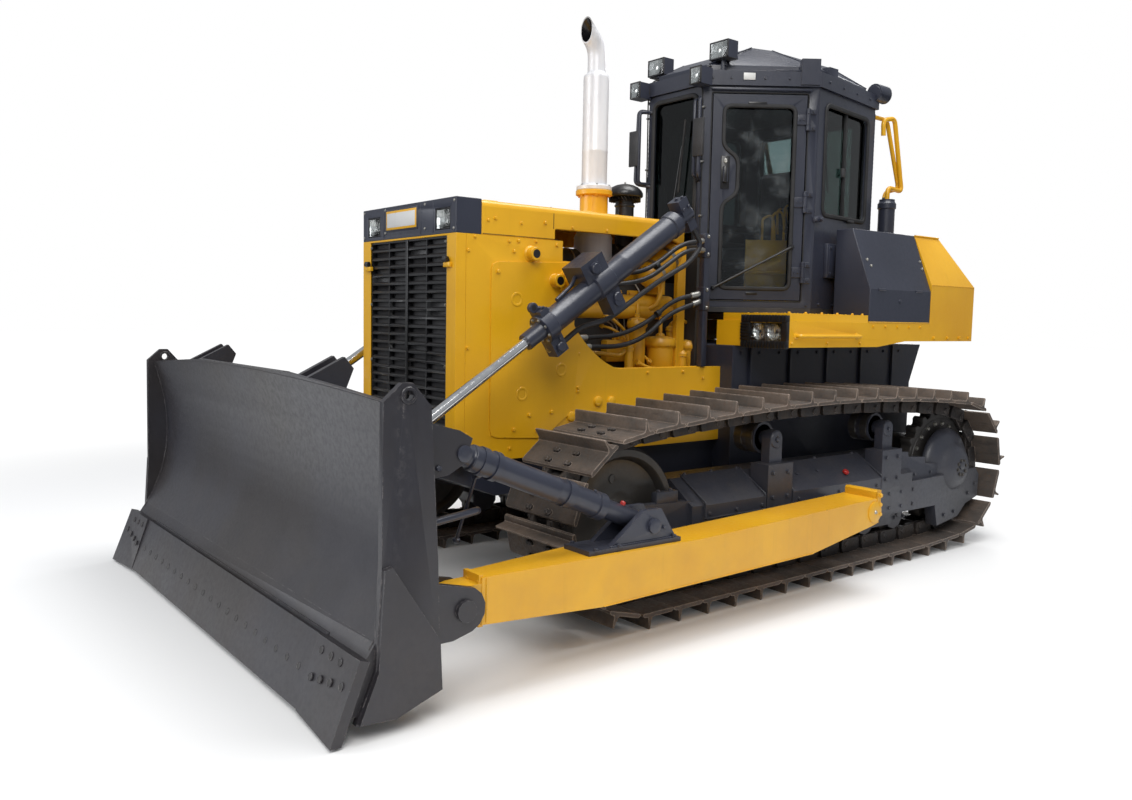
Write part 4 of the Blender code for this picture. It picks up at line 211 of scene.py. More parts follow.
def trackSteel():
    # rolled shoes: rust brown, greyer where soil has scoured them, bright grouser edges
    g = Graph("rolledShoe")
    fine = g.noise(55, 7, 0.7)
    colour = g.mix(g.ramp(g.noise(5, 6, 0.6), 0.32, 0.66), (0.120, 0.092, 0.074), (0.066, 0.057, 0.051))
    colour = g.mix(g.ramp(fine, 0.50, 0.74, 0, 0.6), colour, (0.140, 0.082, 0.052))
    colour = g.mix(g.ramp(g.noise(16, 5, 0.6, stretch=(0.4, 2, 2)), 0.52, 0.72, 0, 0.55), colour, (0.030, 0.027, 0.026))
    worn = g.math("MULTIPLY", g.edges(0.010), g.ramp(g.noise(22, 4), 0.30, 0.55, 0.25, 1.0))
    colour = g.mix(worn, colour, (0.36, 0.29, 0.24))
    g.relief(g.math("ADD", fine, g.noise(170, 4)), 0.35, 0.002)
    return g.finish(Base_Color=colour, Roughness=g.ramp(fine, 0.3, 0.7, 0.52, 0.82), Metallic=0.25)


def chainSteel():
    g = Graph("forgedLink")
    fine = g.noise(48, 6, 0.65)
    colour = g.mix(g.ramp(g.noise(7, 5), 0.35, 0.68), (0.030, 0.028, 0.029), (0.052, 0.042, 0.036))
    colour = g.mix(g.ramp(fine, 0.56, 0.74, 0, 0.5), colour, (0.095, 0.062, 0.042))
    colour = g.mix(g.math("MULTIPLY", g.edges(), g.ramp(fine, 0.46, 0.6)), colour, (0.17, 0.15, 0.14))
    g.relief(fine, 0.25, 0.0015)
    return g.finish(Base_Color=colour, Roughness=g.ramp(fine, 0.3, 0.7, 0.42, 0.70), Metallic=0.3)


def stackSkin():
    # aluminium paint with faint soot and drawn lines
    g = Graph("stackSkin")
    soot = g.ramp(g.axis(2), 3.16, 3.42, 0, 0.75)
    colour = g.mix(g.ramp(g.noise(5, 5, 0.6, stretch=(3, 3, 0.3)), 0.4, 0.75), (0.80, 0.80, 0.82), (0.66, 0.66, 0.69))
    colour = g.mix(g.math("MULTIPLY", soot, g.ramp(g.noise(9, 5), 0.3, 0.7)), colour, (0.14, 0.125, 0.11))
    g.relief(g.noise(120, 3, stretch=(6, 6, 0.3)), 0.08, 0.001)
    return g.finish(Base_Color=colour, Roughness=g.ramp(g.noise(30, 4), 0.3, 0.7, 0.28, 0.42), Metallic=0.12)


def chromeSkin(name, base, low, high):
    g = Graph(name)
    g.relief(g.noise(300, 2, stretch=(1, 1, 8)), 0.03, 0.0005)
    colour = g.mix(g.ramp(g.noise(26, 4), 0.4, 0.8), base, tuple(c * 0.86 for c in base))
    return g.finish(Base_Color=colour, Metallic=1.0, Roughness=g.ramp(g.noise(60), 0.3, 0.7, low, high))


def glassSkin(name, tintAndReflection, rough, dirt):
    # thin tinted pane that lets light through, with random smears of dust that make it less clear
    g = Graph(name)
    smear = g.ramp(g.noise(7, 6, 0.62), 0.45, 0.78, 0, dirt)
    # colour: the pane's tint; for the cab panes it is partly a painted reflection of dark surroundings
    colour = g.mix(g.ramp(g.noise(2.2), 0.3, 0.7), tintAndReflection, tuple(c * 0.82 for c in tintAndReflection))
    colour = g.mix(smear, colour, (0.30, 0.29, 0.26))
    g.relief(g.noise(5, 2), 0.03, 0.003)
    return g.finish(Base_Color=colour, Roughness=g.ramp(g.noise(40, 3), 0.3, 0.8, rough, rough + 0.04),
                    Transmission_Weight=g.math("SUBTRACT", 1.0, g.math("MULTIPLY", smear, 0.6)), IOR=1.45)


def rubberSkin(name, base, rough):
    g = Graph(name)
    fine = g.noise(130, 4)
    colour = g.mix(g.ramp(g.noise(8, 4), 0.3, 0.7), base, tuple(c * 1.7 + 0.004 for c in base))
    g.relief(fine, 0.2, 0.001)
    return g.finish(Base_Color=colour, Roughness=g.ramp(fine, 0.3, 0.7, rough - 0.06, rough + 0.10))


def clothSkin():
    g = Graph("seatCloth")
    weave = g.node("ShaderNodeTexWave", wave_type="BANDS", bands_direction="X")
    weave.inputs["Scale"].default_value = 260
    across = g.node("ShaderNodeTexWave", wave_type="BANDS", bands_direction="Z")
    across.inputs["Scale"].default_value = 260
    g.link(g.place, weave.inputs["Vector"])
    g.link(g.place, across.inputs["Vector"])
    cross = g.math("MULTIPLY", weave.outputs["Fac"], across.outputs["Fac"])
    g.relief(cross, 0.35, 0.001)
    colour = g.mix(g.ramp(g.noise(30, 4), 0.35, 0.7), (0.030, 0.031, 0.036), (0.055, 0.056, 0.062))
    g.shader.inputs["Sheen Weight"].default_value = 0.35
    return g.finish(Base_Color=g.mix(cross, colour, (0.020, 0.020, 0.024)), Roughness=0.92)


materials.update({
    "shoe": trackSteel(), "chain": chainSteel(), "stack": stackSkin(), "cloth": clothSkin(),
    "chrome": chromeSkin("hardChrome", (0.80, 0.81, 0.82), 0.10, 0.20),
    "zinc": chromeSkin("zincBolt", (0.42, 0.41, 0.38), 0.30, 0.45),
    "mirror": chromeSkin("reflectorBowl", (0.88, 0.88, 0.86), 0.08, 0.16),
    "glass": glassSkin("doorGlass", (0.40, 0.45, 0.48), 0.010, 0.30),
    # cab panes: a dark tint that is partly the glass's own tint and partly a painted reflection of dark surroundings
    "darkGlass": glassSkin("cabGlass", (0.060, 0.085, 0.080), 0.010, 0.06),
    "lens": glassSkin("lampLens", (0.93, 0.95, 0.95), 0.03, 0.10),
    "rubber": rubberSkin("blackRubber", (0.010, 0.010, 0.011), 0.62),
    "hose": rubberSkin("hoseCover", (0.013, 0.013, 0.015), 0.48),
    "plastic": rubberSkin("mouldedPlastic", (0.022, 0.022, 0.024), 0.50),
})
print("materials made:", len(materials))


# Shape tools
def turnTo(axis):
    return Vector(axis).normalized().to_track_quat("Z", "Y").to_matrix()


def softRoute(places, reach, steps=4):
    # corners of an open path rounded from the given distance on both sides
    places = [Vector(place) for place in places]
    path = [places[0]]
    for before, here, after in zip(places, places[1:], places[2:]):
        near = min(reach, (here - before).length * 0.48, (after - here).length * 0.48)
        start = here + (before - here).normalized() * near
        end = here + (after - here).normalized() * near
        for i in range(steps + 1):
            t = i / steps
            path.append(start * (1 - t) ** 2 + here * (2 * t * (1 - t)) + end * (t * t))
    return path + [places[-1]]


class Shape:
    # collects the parts of one piece; given for the left side, and mirrored when side is -1
    def __init__(self, name, body="machine", side=1):
        self.name, self.body, self.side = name, body, side
        self.points, self.faces, self.slots, self.colours = [], [], [], []
        self.slot = 0

    def paint(self, colour):
        if colour not in self.colours:
            self.colours.append(colour)
        self.slot = self.colours.index(colour)
        return self

    def add(self, points, faces):
        start = len(self.points)
        self.points += [tuple(point) for point in points]
        self.faces += [[start + i for i in face] for face in faces]
        self.slots += [self.slot] * len(faces)
        return self

    def rings(self, rings, closed=False):
        # rings of equal numbers of points, joined in order
        count = len(rings[0])
        points = [point for ring in rings for point in ring]
        faces = []
        last = len(rings) if closed else len(rings) - 1
        for level in range(last):
            after = (level + 1) % len(rings)
            for i in range(count):
                j = (i + 1) % count
                faces.append([level * count + i, level * count + j, after * count + j, after * count + i])
        if not closed:
            faces += [list(range(count))[::-1], list(range(len(points) - count, len(points)))]
        return self.add(points, faces)

    def turned(self, profile, place, axis=(0, 0, 1), sides=32, hollow=False):
        # profile: (distance along the axis, radius); a hollow one joins its last ring to its first
        turn, middle = turnTo(axis), Vector(place)
        rings = []
        for along, radius in profile:
            ring = []
            for i in range(sides):
                angle = 2 * math.pi * (i + 0.5) / sides
                ring.append(middle + turn @ Vector((radius * math.cos(angle), radius * math.sin(angle), along)))
            rings.append(ring)
        return self.rings(rings, hollow)

    def rod(self, start, end, radius, sides=24, edge=0.0015):
        start, end = Vector(start), Vector(end)
        long = (end - start).length
        edge = min(edge, radius * 0.4, long * 0.4)
        profile = ((0, radius - edge), (edge, radius), (long - edge, radius), (long, radius - edge))
        return self.turned(profile, start, end - start, sides)

    def box(self, low, high, edge=0.004, turn=None, middle=None):
        # a box with cut edges; turn and middle place one that doesn't stand square
        size = [abs(b - a) / 2 for a, b in zip(low, high)]
        centre = Vector([(a + b) / 2 for a, b in zip(low, high)])
        edge = min(edge, *(s * 0.45 for s in size))
        shape = bmesh.new()
        bmesh.ops.create_cube(shape, size=2)
        for point in shape.verts:
            point.co = Vector([c * s for c, s in zip(point.co, size)])
        bmesh.ops.bevel(shape, geom=shape.edges[:], offset=edge, segments=2, profile=0.5, affect="EDGES")
        shape.verts.index_update()
        place = (lambda v: centre + v) if turn is None else (lambda v: Vector(middle) + turn @ v)
        self.add([place(v.co) for v in shape.verts], [[v.index for v in f.verts] for f in shape.faces])
        shape.free()
        return self

    def slab(self, outline, axis, low, high, edge=0.003):
        # an outline pushed along one axis, with its rims cut back
        count = len(outline)
        middle = Vector((sum(p[0] for p in outline) / count, sum(p[1] for p in outline) / count))
        reach = max((Vector(p) - middle).length for p in outline)
        shares = 1 - edge / reach
        rings = []
        span = high - low
        for along, share in ((low, shares), (low + min(edge, span * 0.4), 1), (high - min(edge, span * 0.4), 1),
                             (high, shares)):
            ring = []
            for point in outline:
                a, b = middle + (Vector(point) - middle) * share
                ring.append({"X": (along, a, b), "Y": (a, along, b), "Z": (a, b, along)}[axis])
            rings.append(ring)
        return self.rings(rings)

    def tube(self, places, radius, reach=0.05, sides=12, steps=5, closed=False):
        path = softRoute(places, reach, steps) if reach else [Vector(p) for p in places]
        rings = []
        side = None
        for i, here in enumerate(path):
            before = path[i - 1] if i or closed else here
            after = path[(i + 1) % len(path)] if closed or i < len(path) - 1 else here
            along = (after - before).normalized()
            if side is None:
                side = along.orthogonal().normalized()
            side = (side - along * side.dot(along)).normalized()
            up = along.cross(side)
            wide = radius[i] if isinstance(radius, (list, tuple)) else radius
            rings.append([here + (side * math.cos(a) + up * math.sin(a)) * wide
                          for a in (2 * math.pi * k / sides for k in range(sides))])
        return self.rings(rings, closed)

    def bolt(self, place, axis, size=0.012, tall=None, washer=1.35):
        # hexagon head with cut corners on a washer; size is half its width
        tall = tall or size * 0.85
        turn = Vector(axis).normalized()
        foot = Vector(place)
        thick = size * 0.22
        if washer:
            self.turned(((-0.002, size * washer), (thick, size * washer), (thick, size * 0.5)), foot, turn, 16)
        profile = ((thick - 0.001, size), (thick + tall * 0.78, size), (thick + tall, size * 0.80),
                   (thick + tall * 0.97, size * 0.5))
        return self.turned(profile, foot, turn, 6)

    def bolts(self, places, axis, size=0.012, **more):
        for place in places:
            self.bolt(place, axis, size, **more)
        return self

    def boltRing(self, middle, plane, way, radius, count, size, start=0.5, washer=1.35):
        # bolts on a circle in a plane such as "yz", with their heads towards way
        first, second = ("xyz".index(letter) for letter in plane)
        for i in range(count):
            angle = 2 * math.pi * (i + start) / count
            place = list(middle)
            place[first] += radius * math.cos(angle)
            place[second] += radius * math.sin(angle)
            self.bolt(place, way, size, washer=washer)
        return self

    def weld(self, start, end, radius=0.006, step=0.012):
        # a bead of small waves along a joint
        start, end = Vector(start), Vector(end)
        count = max(int((end - start).length / step), 2)
        path = [start.lerp(end, i / (count * 2)) for i in range(count * 2 + 1)]
        wide = [radius * (1.0 if i % 2 else 0.74) for i in range(len(path))]
        return self.tube(path, wide, reach=0, sides=8)

    def finish(self, sharp=34):
        mesh = bpy.data.meshes.new(self.name)
        points = [(p[0] * self.side, p[1], p[2]) for p in self.points]
        mesh.from_pydata(points, [], self.faces)
        for polygon, slotIndex in zip(mesh.polygons, self.slots):
            polygon.material_index = slotIndex
            polygon.use_smooth = True
        shape = bmesh.new()
        shape.from_mesh(mesh)
        bmesh.ops.recalc_face_normals(shape, faces=shape.faces)
        shape.to_mesh(mesh)
        shape.free()
        mesh.set_sharp_from_angle(angle=math.radians(sharp))
        for colour in self.colours:
            mesh.materials.append(materials[colour])
        made = bpy.data.objects.new(self.name, mesh)
        bpy.context.scene.collection.objects.link(made)
        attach(made, self.body)
        return made


sides = ((1, "Left"), (-1, "Right"))


def sideBody(stem, side):
    return f"{stem}_l" if side > 0 else f"{stem}_r"


softEdges = {"merge": 0.00005, "flat": 0.5, "sharp": 35, "bevelFrom": 32, "segments": 2}  # metres, then degrees


def softCopy(node, colour, width, rule=None, adjust=None):
    # a copy of one solid with its edges rounded; rule picks another colour from a face's middle and direction
    colours = [colour]
    shape = bmesh.new()
    shape.from_mesh(bpy.data.objects[node].data)
    bmesh.ops.remove_doubles(shape, verts=shape.verts, dist=softEdges["merge"])
    bmesh.ops.dissolve_limit(shape, angle_limit=math.radians(softEdges["flat"]), verts=shape.verts, edges=shape.edges)
    if adjust:
        adjust(shape)
    for face in shape.faces:
        face.smooth = True
        picked = rule(face.calc_center_median(), face.normal) if rule else None
        if picked and picked not in colours:
            colours.append(picked)
        face.material_index = colours.index(picked or colour)
    mesh = bpy.data.meshes.new(node)
    shape.to_mesh(mesh)
    shape.free()
    mesh.set_sharp_from_angle(angle=math.radians(softEdges["sharp"]))
    for name in colours:
        mesh.materials.append(materials[name])
    parts = node.split("_")
    made = bpy.data.objects.new(parts[0] + "".join(p.title() for p in parts[1:]) + "Skin", mesh)
    bpy.context.scene.collection.objects.link(made)
    if width:
        bevel = made.modifiers.new("edges", "BEVEL")
        bevel.width = width
        bevel.segments = softEdges["segments"]
        bevel.limit_method = "ANGLE"
        bevel.angle_limit = math.radians(softEdges["bevelFrom"])
        bevel.use_clamp_overlap = True
        bevel.harden_normals = True
        bevel.miter_outer = "MITER_ARC"
    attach(made, nodeBodies[node])
    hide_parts(node)


# Tracks: the closed line of the link pins, then one shoe and two chains of links at each step
track = {"x": 1.0, "idler": (-0.90, 0.54), "sprocket": (2.18, 0.56), "pitchRadius": 0.395, "linkCount": 40,
         "groundEnd": 1.75, "topRise": 0.080, "tipPlace": -1.07, "grouserShare": 0.20, "shoeHalf": 0.28}
# outline of a shoe: (share of the pitch, height over the pins)
shoeOutline = ((-0.015, 0.062), (0.0, 0.0745), (0.045, 0.080), (0.135, 0.0805), (0.158, 0.092), (0.172, 0.142),
               (0.180, 0.145), (0.212, 0.145), (0.220, 0.142), (0.245, 0.096), (0.285, 0.083), (0.33, 0.080),
               (0.90, 0.0795), (0.955, 0.074), (0.985, 0.061), (0.955, 0.0575), (0.30, 0.058), (0.19, 0.060),
               (0.03, 0.058))
# side plates of a link: (share from, share to, x from, x to)
linkPlates = ((-0.20, 0.62, 0.078, 0.101), (0.38, 1.20, 0.056, 0.079))
linkSizes = {"low": -0.030, "high": 0.0572, "pinRadius": 0.021, "bushRadius": 0.030, "pinEnd": 0.108, "round": 0.012}
shoeBolts = ((0.50, 0.066), (0.50, 0.090), (0.83, 0.066), (0.83, 0.090))


def pinLine():
    def arc(middle, start, end):
        steps = 72
        angles = [math.radians(start + (end - start) * i / steps) for i in range(steps + 1)]
        return [(middle[0] + track["pitchRadius"] * math.cos(a),
                 middle[1] + track["pitchRadius"] * math.sin(a)) for a in angles]

    (idlerY, idlerZ), (driveY, driveZ), radius = track["idler"], track["sprocket"], track["pitchRadius"]
    points = [(idlerY, idlerZ - radius), (track["groundEnd"], idlerZ - radius)] + arc(track["sprocket"], -90, 90)
    for i in range(1, 18):
        share = i / 18
        height = driveZ + radius - (driveZ - idlerZ) * share + 4 * track["topRise"] * share * (1 - share)
        points.append((driveY - (driveY - idlerY) * share, height))
    return [Vector(p) for p in points + arc(track["idler"], 90, 270)[:-1]]


def pinPlaces():
    path = pinLine()
    ends = path[1:] + path[:1]
    step = sum((b - a).length for a, b in zip(path, ends)) / track["linkCount"]
    found, walked = [], 0.0
    wanted = (track["tipPlace"] - track["idler"][0] - track["grouserShare"] * step) % step
    for a, b in zip(path, ends):
        run = (b - a).length
        while wanted <= walked + run and len(found) < track["linkCount"]:
            found.append(a.lerp(b, (wanted - walked) / run))
            wanted += step
        walked += run
    return found


def makeTrack(side, tag):
    shape = Shape("track" + tag, "machine", side)
    pins = pinPlaces()
    rng = random.Random(7 + side)
    middle = track["x"]
    for i, start in enumerate(pins):
        end = pins[(i + 1) % len(pins)]
        along = (end - start).normalized()
        pitch = (end - start).length
        out = Vector((along.y, -along.x))

        def at(share, height, x):
            point = start + along * (share * pitch) + out * height
            return (middle + x, point.x, point.y)

        shape.paint("shoe")
        half = track["shoeHalf"]
        rings = []
        for x, cut in ((-half, 0.004), (-half + 0.005, 0), (half - 0.005, 0), (half, 0.004)):
            rings.append([at(share, height - (cut if height > 0.12 else 0), x) for share, height in shoeOutline])
        shape.rings(rings)
        axis = (0, out.x, out.y)
        shape.paint("chain")
        for share, x in shoeBolts:
            for hand in (-1, 1):
                shape.bolt(at(share, 0.0785, x * hand), axis, 0.0145, washer=0)
        low, high = linkSizes["low"], linkSizes["high"]
        for first, last, inner, outer in linkPlates:
            bow = 0.035
            outline = ((first, low + 0.018), (first + bow, low), (last - bow, low), (last, low + 0.018),
                       (last, high - 0.034), (last - 0.06, high), (first + 0.06, high), (first, high - 0.034))
            for hand in (-1, 1):
                a, b = sorted((inner * hand, outer * hand))
                trim = 0.002
                shape.rings([[at(s, h * 0.94, a) for s, h in outline], [at(s, h, a + trim) for s, h in outline],
                             [at(s, h, b - trim) for s, h in outline], [at(s, h * 0.94, b) for s, h in outline]])
        place = at(0, 0, 0)
        shape.rod((middle - 0.055, place[1], place[2]), (middle + 0.055, place[1], place[2]), linkSizes["bushRadius"],
                  14)
        for hand in (-1, 1):
            a = middle + hand * 0.095
            b = middle + hand * (linkSizes["pinEnd"] + rng.uniform(-0.001, 0.001))
            shape.rod((a, place[1], place[2]), (b, place[1], place[2]), linkSizes["pinRadius"], 16, edge=0.004)
    made = shape.finish(sharp=38)
    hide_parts(f"track_{tag.lower()}")


# Idlers, drive wheels, rollers
wheelSizes = {"rim": 0.364, "flange": 0.383, "web": 0.050, "boss": 0.11, "half": 0.10, "railIn": 0.055, "teeth": 23,
              "tip": 0.398, "root": 0.364, "toothHalf": 0.042}
rollerTable = {"first": -0.42, "step": 0.335, "count": 7, "z": 0.2147,
               "profile": ((-0.0495, 0.05), (-0.0495, 0.0995), (-0.010, 0.0995), (-0.007, 0.088), (0.007, 0.088),
                           (0.010, 0.0995), (0.0495, 0.0995), (0.0495, 0.05))}


def makeIdler(side, tag):
    s = wheelSizes
    y, z = track["idler"]
    shape = Shape("idler" + tag, "machine", side).paint("cast")
    profile = [(s["half"] - 0.004, 0.052), (s["half"], 0.058), (s["half"], s["boss"] - 0.01),
               (s["half"] - 0.012, s["boss"]), (s["web"] + 0.012, s["boss"] + 0.022), (s["web"], s["boss"] + 0.040),
               (s["web"] - 0.003, 0.215), (s["web"], 0.285), (s["web"] + 0.006, 0.302), (s["half"] - 0.006, 0.318),
               (s["half"], 0.326), (s["half"], s["rim"] - 0.005), (s["half"] - 0.004, s["rim"]),
               (s["railIn"] - 0.003, s["rim"]), (s["railIn"] - 0.008, s["flange"] - 0.004),
               (s["railIn"] - 0.013, s["flange"])]
    whole = [(along, radius) for along, radius in profile] + [(-along, radius) for along, radius in reversed(profile)]
    shape.turned(whole, (track["x"], y, z), (1, 0, 0), 96)
    shape.rod((track["x"] - 0.115, y, z), (track["x"] + 0.115, y, z), 0.050, 32, edge=0.008)
    # drain plug and casting holes that show in the web, drawn as black discs of painted shade in cast rims
    for angle, radius, out in ((98, 0.207, 0.017), (278, 0.207, 0.017)):
        a = math.radians(angle)
        place = (track["x"] + s["web"] - 0.001, y + radius * math.cos(a), z + radius * math.sin(a))
        shape.paint("black").turned(((0, out), (0.0022, out), (0.0022, out * 0.5)), place, (1, 0, 0), 24)
        shape.paint("cast").turned(((0, out + 0.007), (0.004, out + 0.005), (0.004, out), (0.001, out)), place,
                                   (1, 0, 0), 24)
    made = shape.finish()
    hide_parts(f"idler_{tag.lower()}")


def makeDriveWheel(side, tag):
    s = wheelSizes
    y, z = track["sprocket"]
    shape = Shape("driveWheel" + tag, "machine", side).paint("cast")
    outline = []
    for i in range(s["teeth"]):
        for share, lift in ((0.0, 0.0), (0.10, 0.0), (0.22, 0.02), (0.30, 0.25), (0.40, 0.85), (0.48, 1.0), (0.62, 1.0),
                            (0.70, 0.85), (0.80, 0.25), (0.90, 0.02)):
            angle = 2 * math.pi * (i + share - 0.02) / s["teeth"]
            radius = s["root"] + (s["tip"] - s["root"]) * lift
            outline.append((y + radius * math.cos(angle), z + radius * math.sin(angle)))
    shape.slab(outline, "X", track["x"] - s["toothHalf"], track["x"] + s["toothHalf"], edge=0.005)
    profile = ((0.6205, 0.05), (0.6205, 0.199), (0.90, 0.199), (0.939, 0.192), (0.945, 0.15), (0.952, 0.15),
               (0.955, 0.33), (0.962, 0.335), (1.038, 0.335), (1.045, 0.33), (1.045, 0.155), (1.059, 0.152),
               (1.0595, 0.05))
    shape.turned(profile, (0, y, z), (1, 0, 0), 72)
    shape.paint("zinc").boltRing((1.0445, y, z), "yz", (1, 0, 0), 0.30, 20, 0.013)
    made = shape.finish()
    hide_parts(f"drive_wheel_{tag.lower()}")


for side, tag in sides:
    makeTrack(side, tag)
    makeIdler(side, tag)
    makeDriveWheel(side, tag)
print("tracks and wheels made")


# Solids that stay as they are drawn, with rounded edges and their paint
def engineColours(middle, normal):
    # the block and the fan end are painted dark as painted shade deep in the bay; what hangs on it is yellow
    return "cast" if abs(middle.x) < 0.2455 and middle.z < 1.801 else None


def tankColours(middle, normal):
    # filler posts are dark, the rails above them yellow
    away = math.hypot(abs(middle.x) - 0.60, middle.y - 2.085)
    return "slate" if 2.191 < middle.z < 2.48 and away < 0.0605 else None


def capColours(middle, normal):
    inPocket = abs(abs(middle.x) - 0.383) < 0.07 and abs(middle.z - 2.062) < 0.05
    return "mirror" if inPocket and -1.55 < middle.y < -1.515 else None


def fenderColours(middle, normal):
    inPocket = 0.70 < abs(middle.x) < 1.015 and 1.424 < middle.z < 1.556 and middle.y < 0.53 and middle.y > 0.4605
    return "black" if inPocket else None


def grilleColours(middle, normal):
    return "plate" if middle.y > -1.53 and normal.y < -0.9 else None


boardProfile = (  # height and depth of the board's face, foot to top
    (0.357, -2.5292), (0.415, -2.4955), (0.470, -2.4692), (0.526, -2.4469), (0.583, -2.4286), (0.642, -2.4142),
    (0.702, -2.4039), (0.764, -2.3975), (0.827, -2.3951), (0.891, -2.3967), (0.956, -2.4023), (1.023, -2.4119),
    (1.121, -2.4327), (1.161, -2.4430), (1.196, -2.4534), (1.246, -2.4692), (1.310, -2.4915))


def boardFront(z):
    for (low, front), (high, back) in zip(boardProfile, boardProfile[1:]):
        if z <= high:
            break
    return front + (back - front) * (z - low) / (high - low)


# lugs behind the board: from and to in x, low and high, then how far behind the face they end
boardLugs = {"places": ((0.60, 0.90, 1.04, 1.22), (1.28, 1.47, 0.88, 1.08)), "depth": 0.003}


def keepBehindBoard(shape):
    # lugs whose front corners come through the face are cut back to it
    for point in shape.verts:
        across, height = abs(point.co.x), point.co.z
        lug = any(near < across < far and low < height < high for near, far, low, high in boardLugs["places"])
        if lug and point.co.y < boardFront(height) + boardLugs["depth"]:
            point.co.y = boardFront(height) + boardLugs["depth"]


softNodes = (  # node, colour, edge width, rule
    ("moldboard", "blade", 0.005, None), ("cutting_edge", "blade", 0.004, None),
    ("push_arm", "yellow", 0.007, None), ("brace", "slate", 0.004, None), ("barrel", "slate", 0.011, None),
    ("track_frame", "slateLow", 0.006, None), ("main_frame", "slate", 0.006, None),
    ("equalizer_bar", "yellow", 0.006, None), ("radiator_guard", "yellow", 0.0025, None),
    ("grille", "black", 0, grilleColours), ("headlamp_cap", "slate", 0.006, capColours),
    ("hood", "yellow", 0.006, None), ("side_frame", "yellow", 0.003, None), ("engine", "amber", 0.004, engineColours),
    ("fender", "yellow", 0.006, fenderColours), ("side_box", "slate", 0.007, None),
    ("rear_tank", "yellow", 0.008, tankColours), ("cab_floor", "plastic", 0.004, None),
    ("cab_front", "slate", 0.005, None), ("cab_side", "slate", 0.005, None), ("cab_rear", "slate", 0.005, None),
    ("cab_roof", "slate", 0.007, None), ("door", "slate", 0.004, None),
)
for stem, colour, width, rule in softNodes:
    for node in (stem, f"{stem}_left", f"{stem}_right"):
        if node in nodeBodies:
            softCopy(node, colour, width, rule, keepBehindBoard if stem == "moldboard" else None)
for node in nodeBodies:
    if "glass" in node or node == "windscreen":
        pane = bpy.data.objects[node]
        pane.data.materials.clear()
        pane.data.materials.append(materials["glass" if "door" in node else "darkGlass"])
print("painted solids made")


# Undercarriage fittings
carriers = {"places": (0.22, 1.35), "radius": 0.095, "half": 0.075, "gap": 0.004}
finalDrive = ((0.2406, 0.030), (0.2406, 0.070), (0.2325, 0.076), (0.2325, 0.108), (0.228, 0.1165), (0.218, 0.133),
              (0.205, 0.151), (0.186, 0.166), (0.172, 0.180), (0.160, 0.205), (0.145, 0.236), (0.128, 0.256),
              (0.105, 0.2705), (0.088, 0.271), (0.075, 0.2625), (0.0603, 0.236))


def topLine(y):
    (idlerY, idlerZ), (driveY, driveZ) = track["idler"], track["sprocket"]
    share = (driveY - y) / (driveY - idlerY)
    return driveZ + track["pitchRadius"] - (driveZ - idlerZ) * share + 4 * track["topRise"] * share * (1 - share)


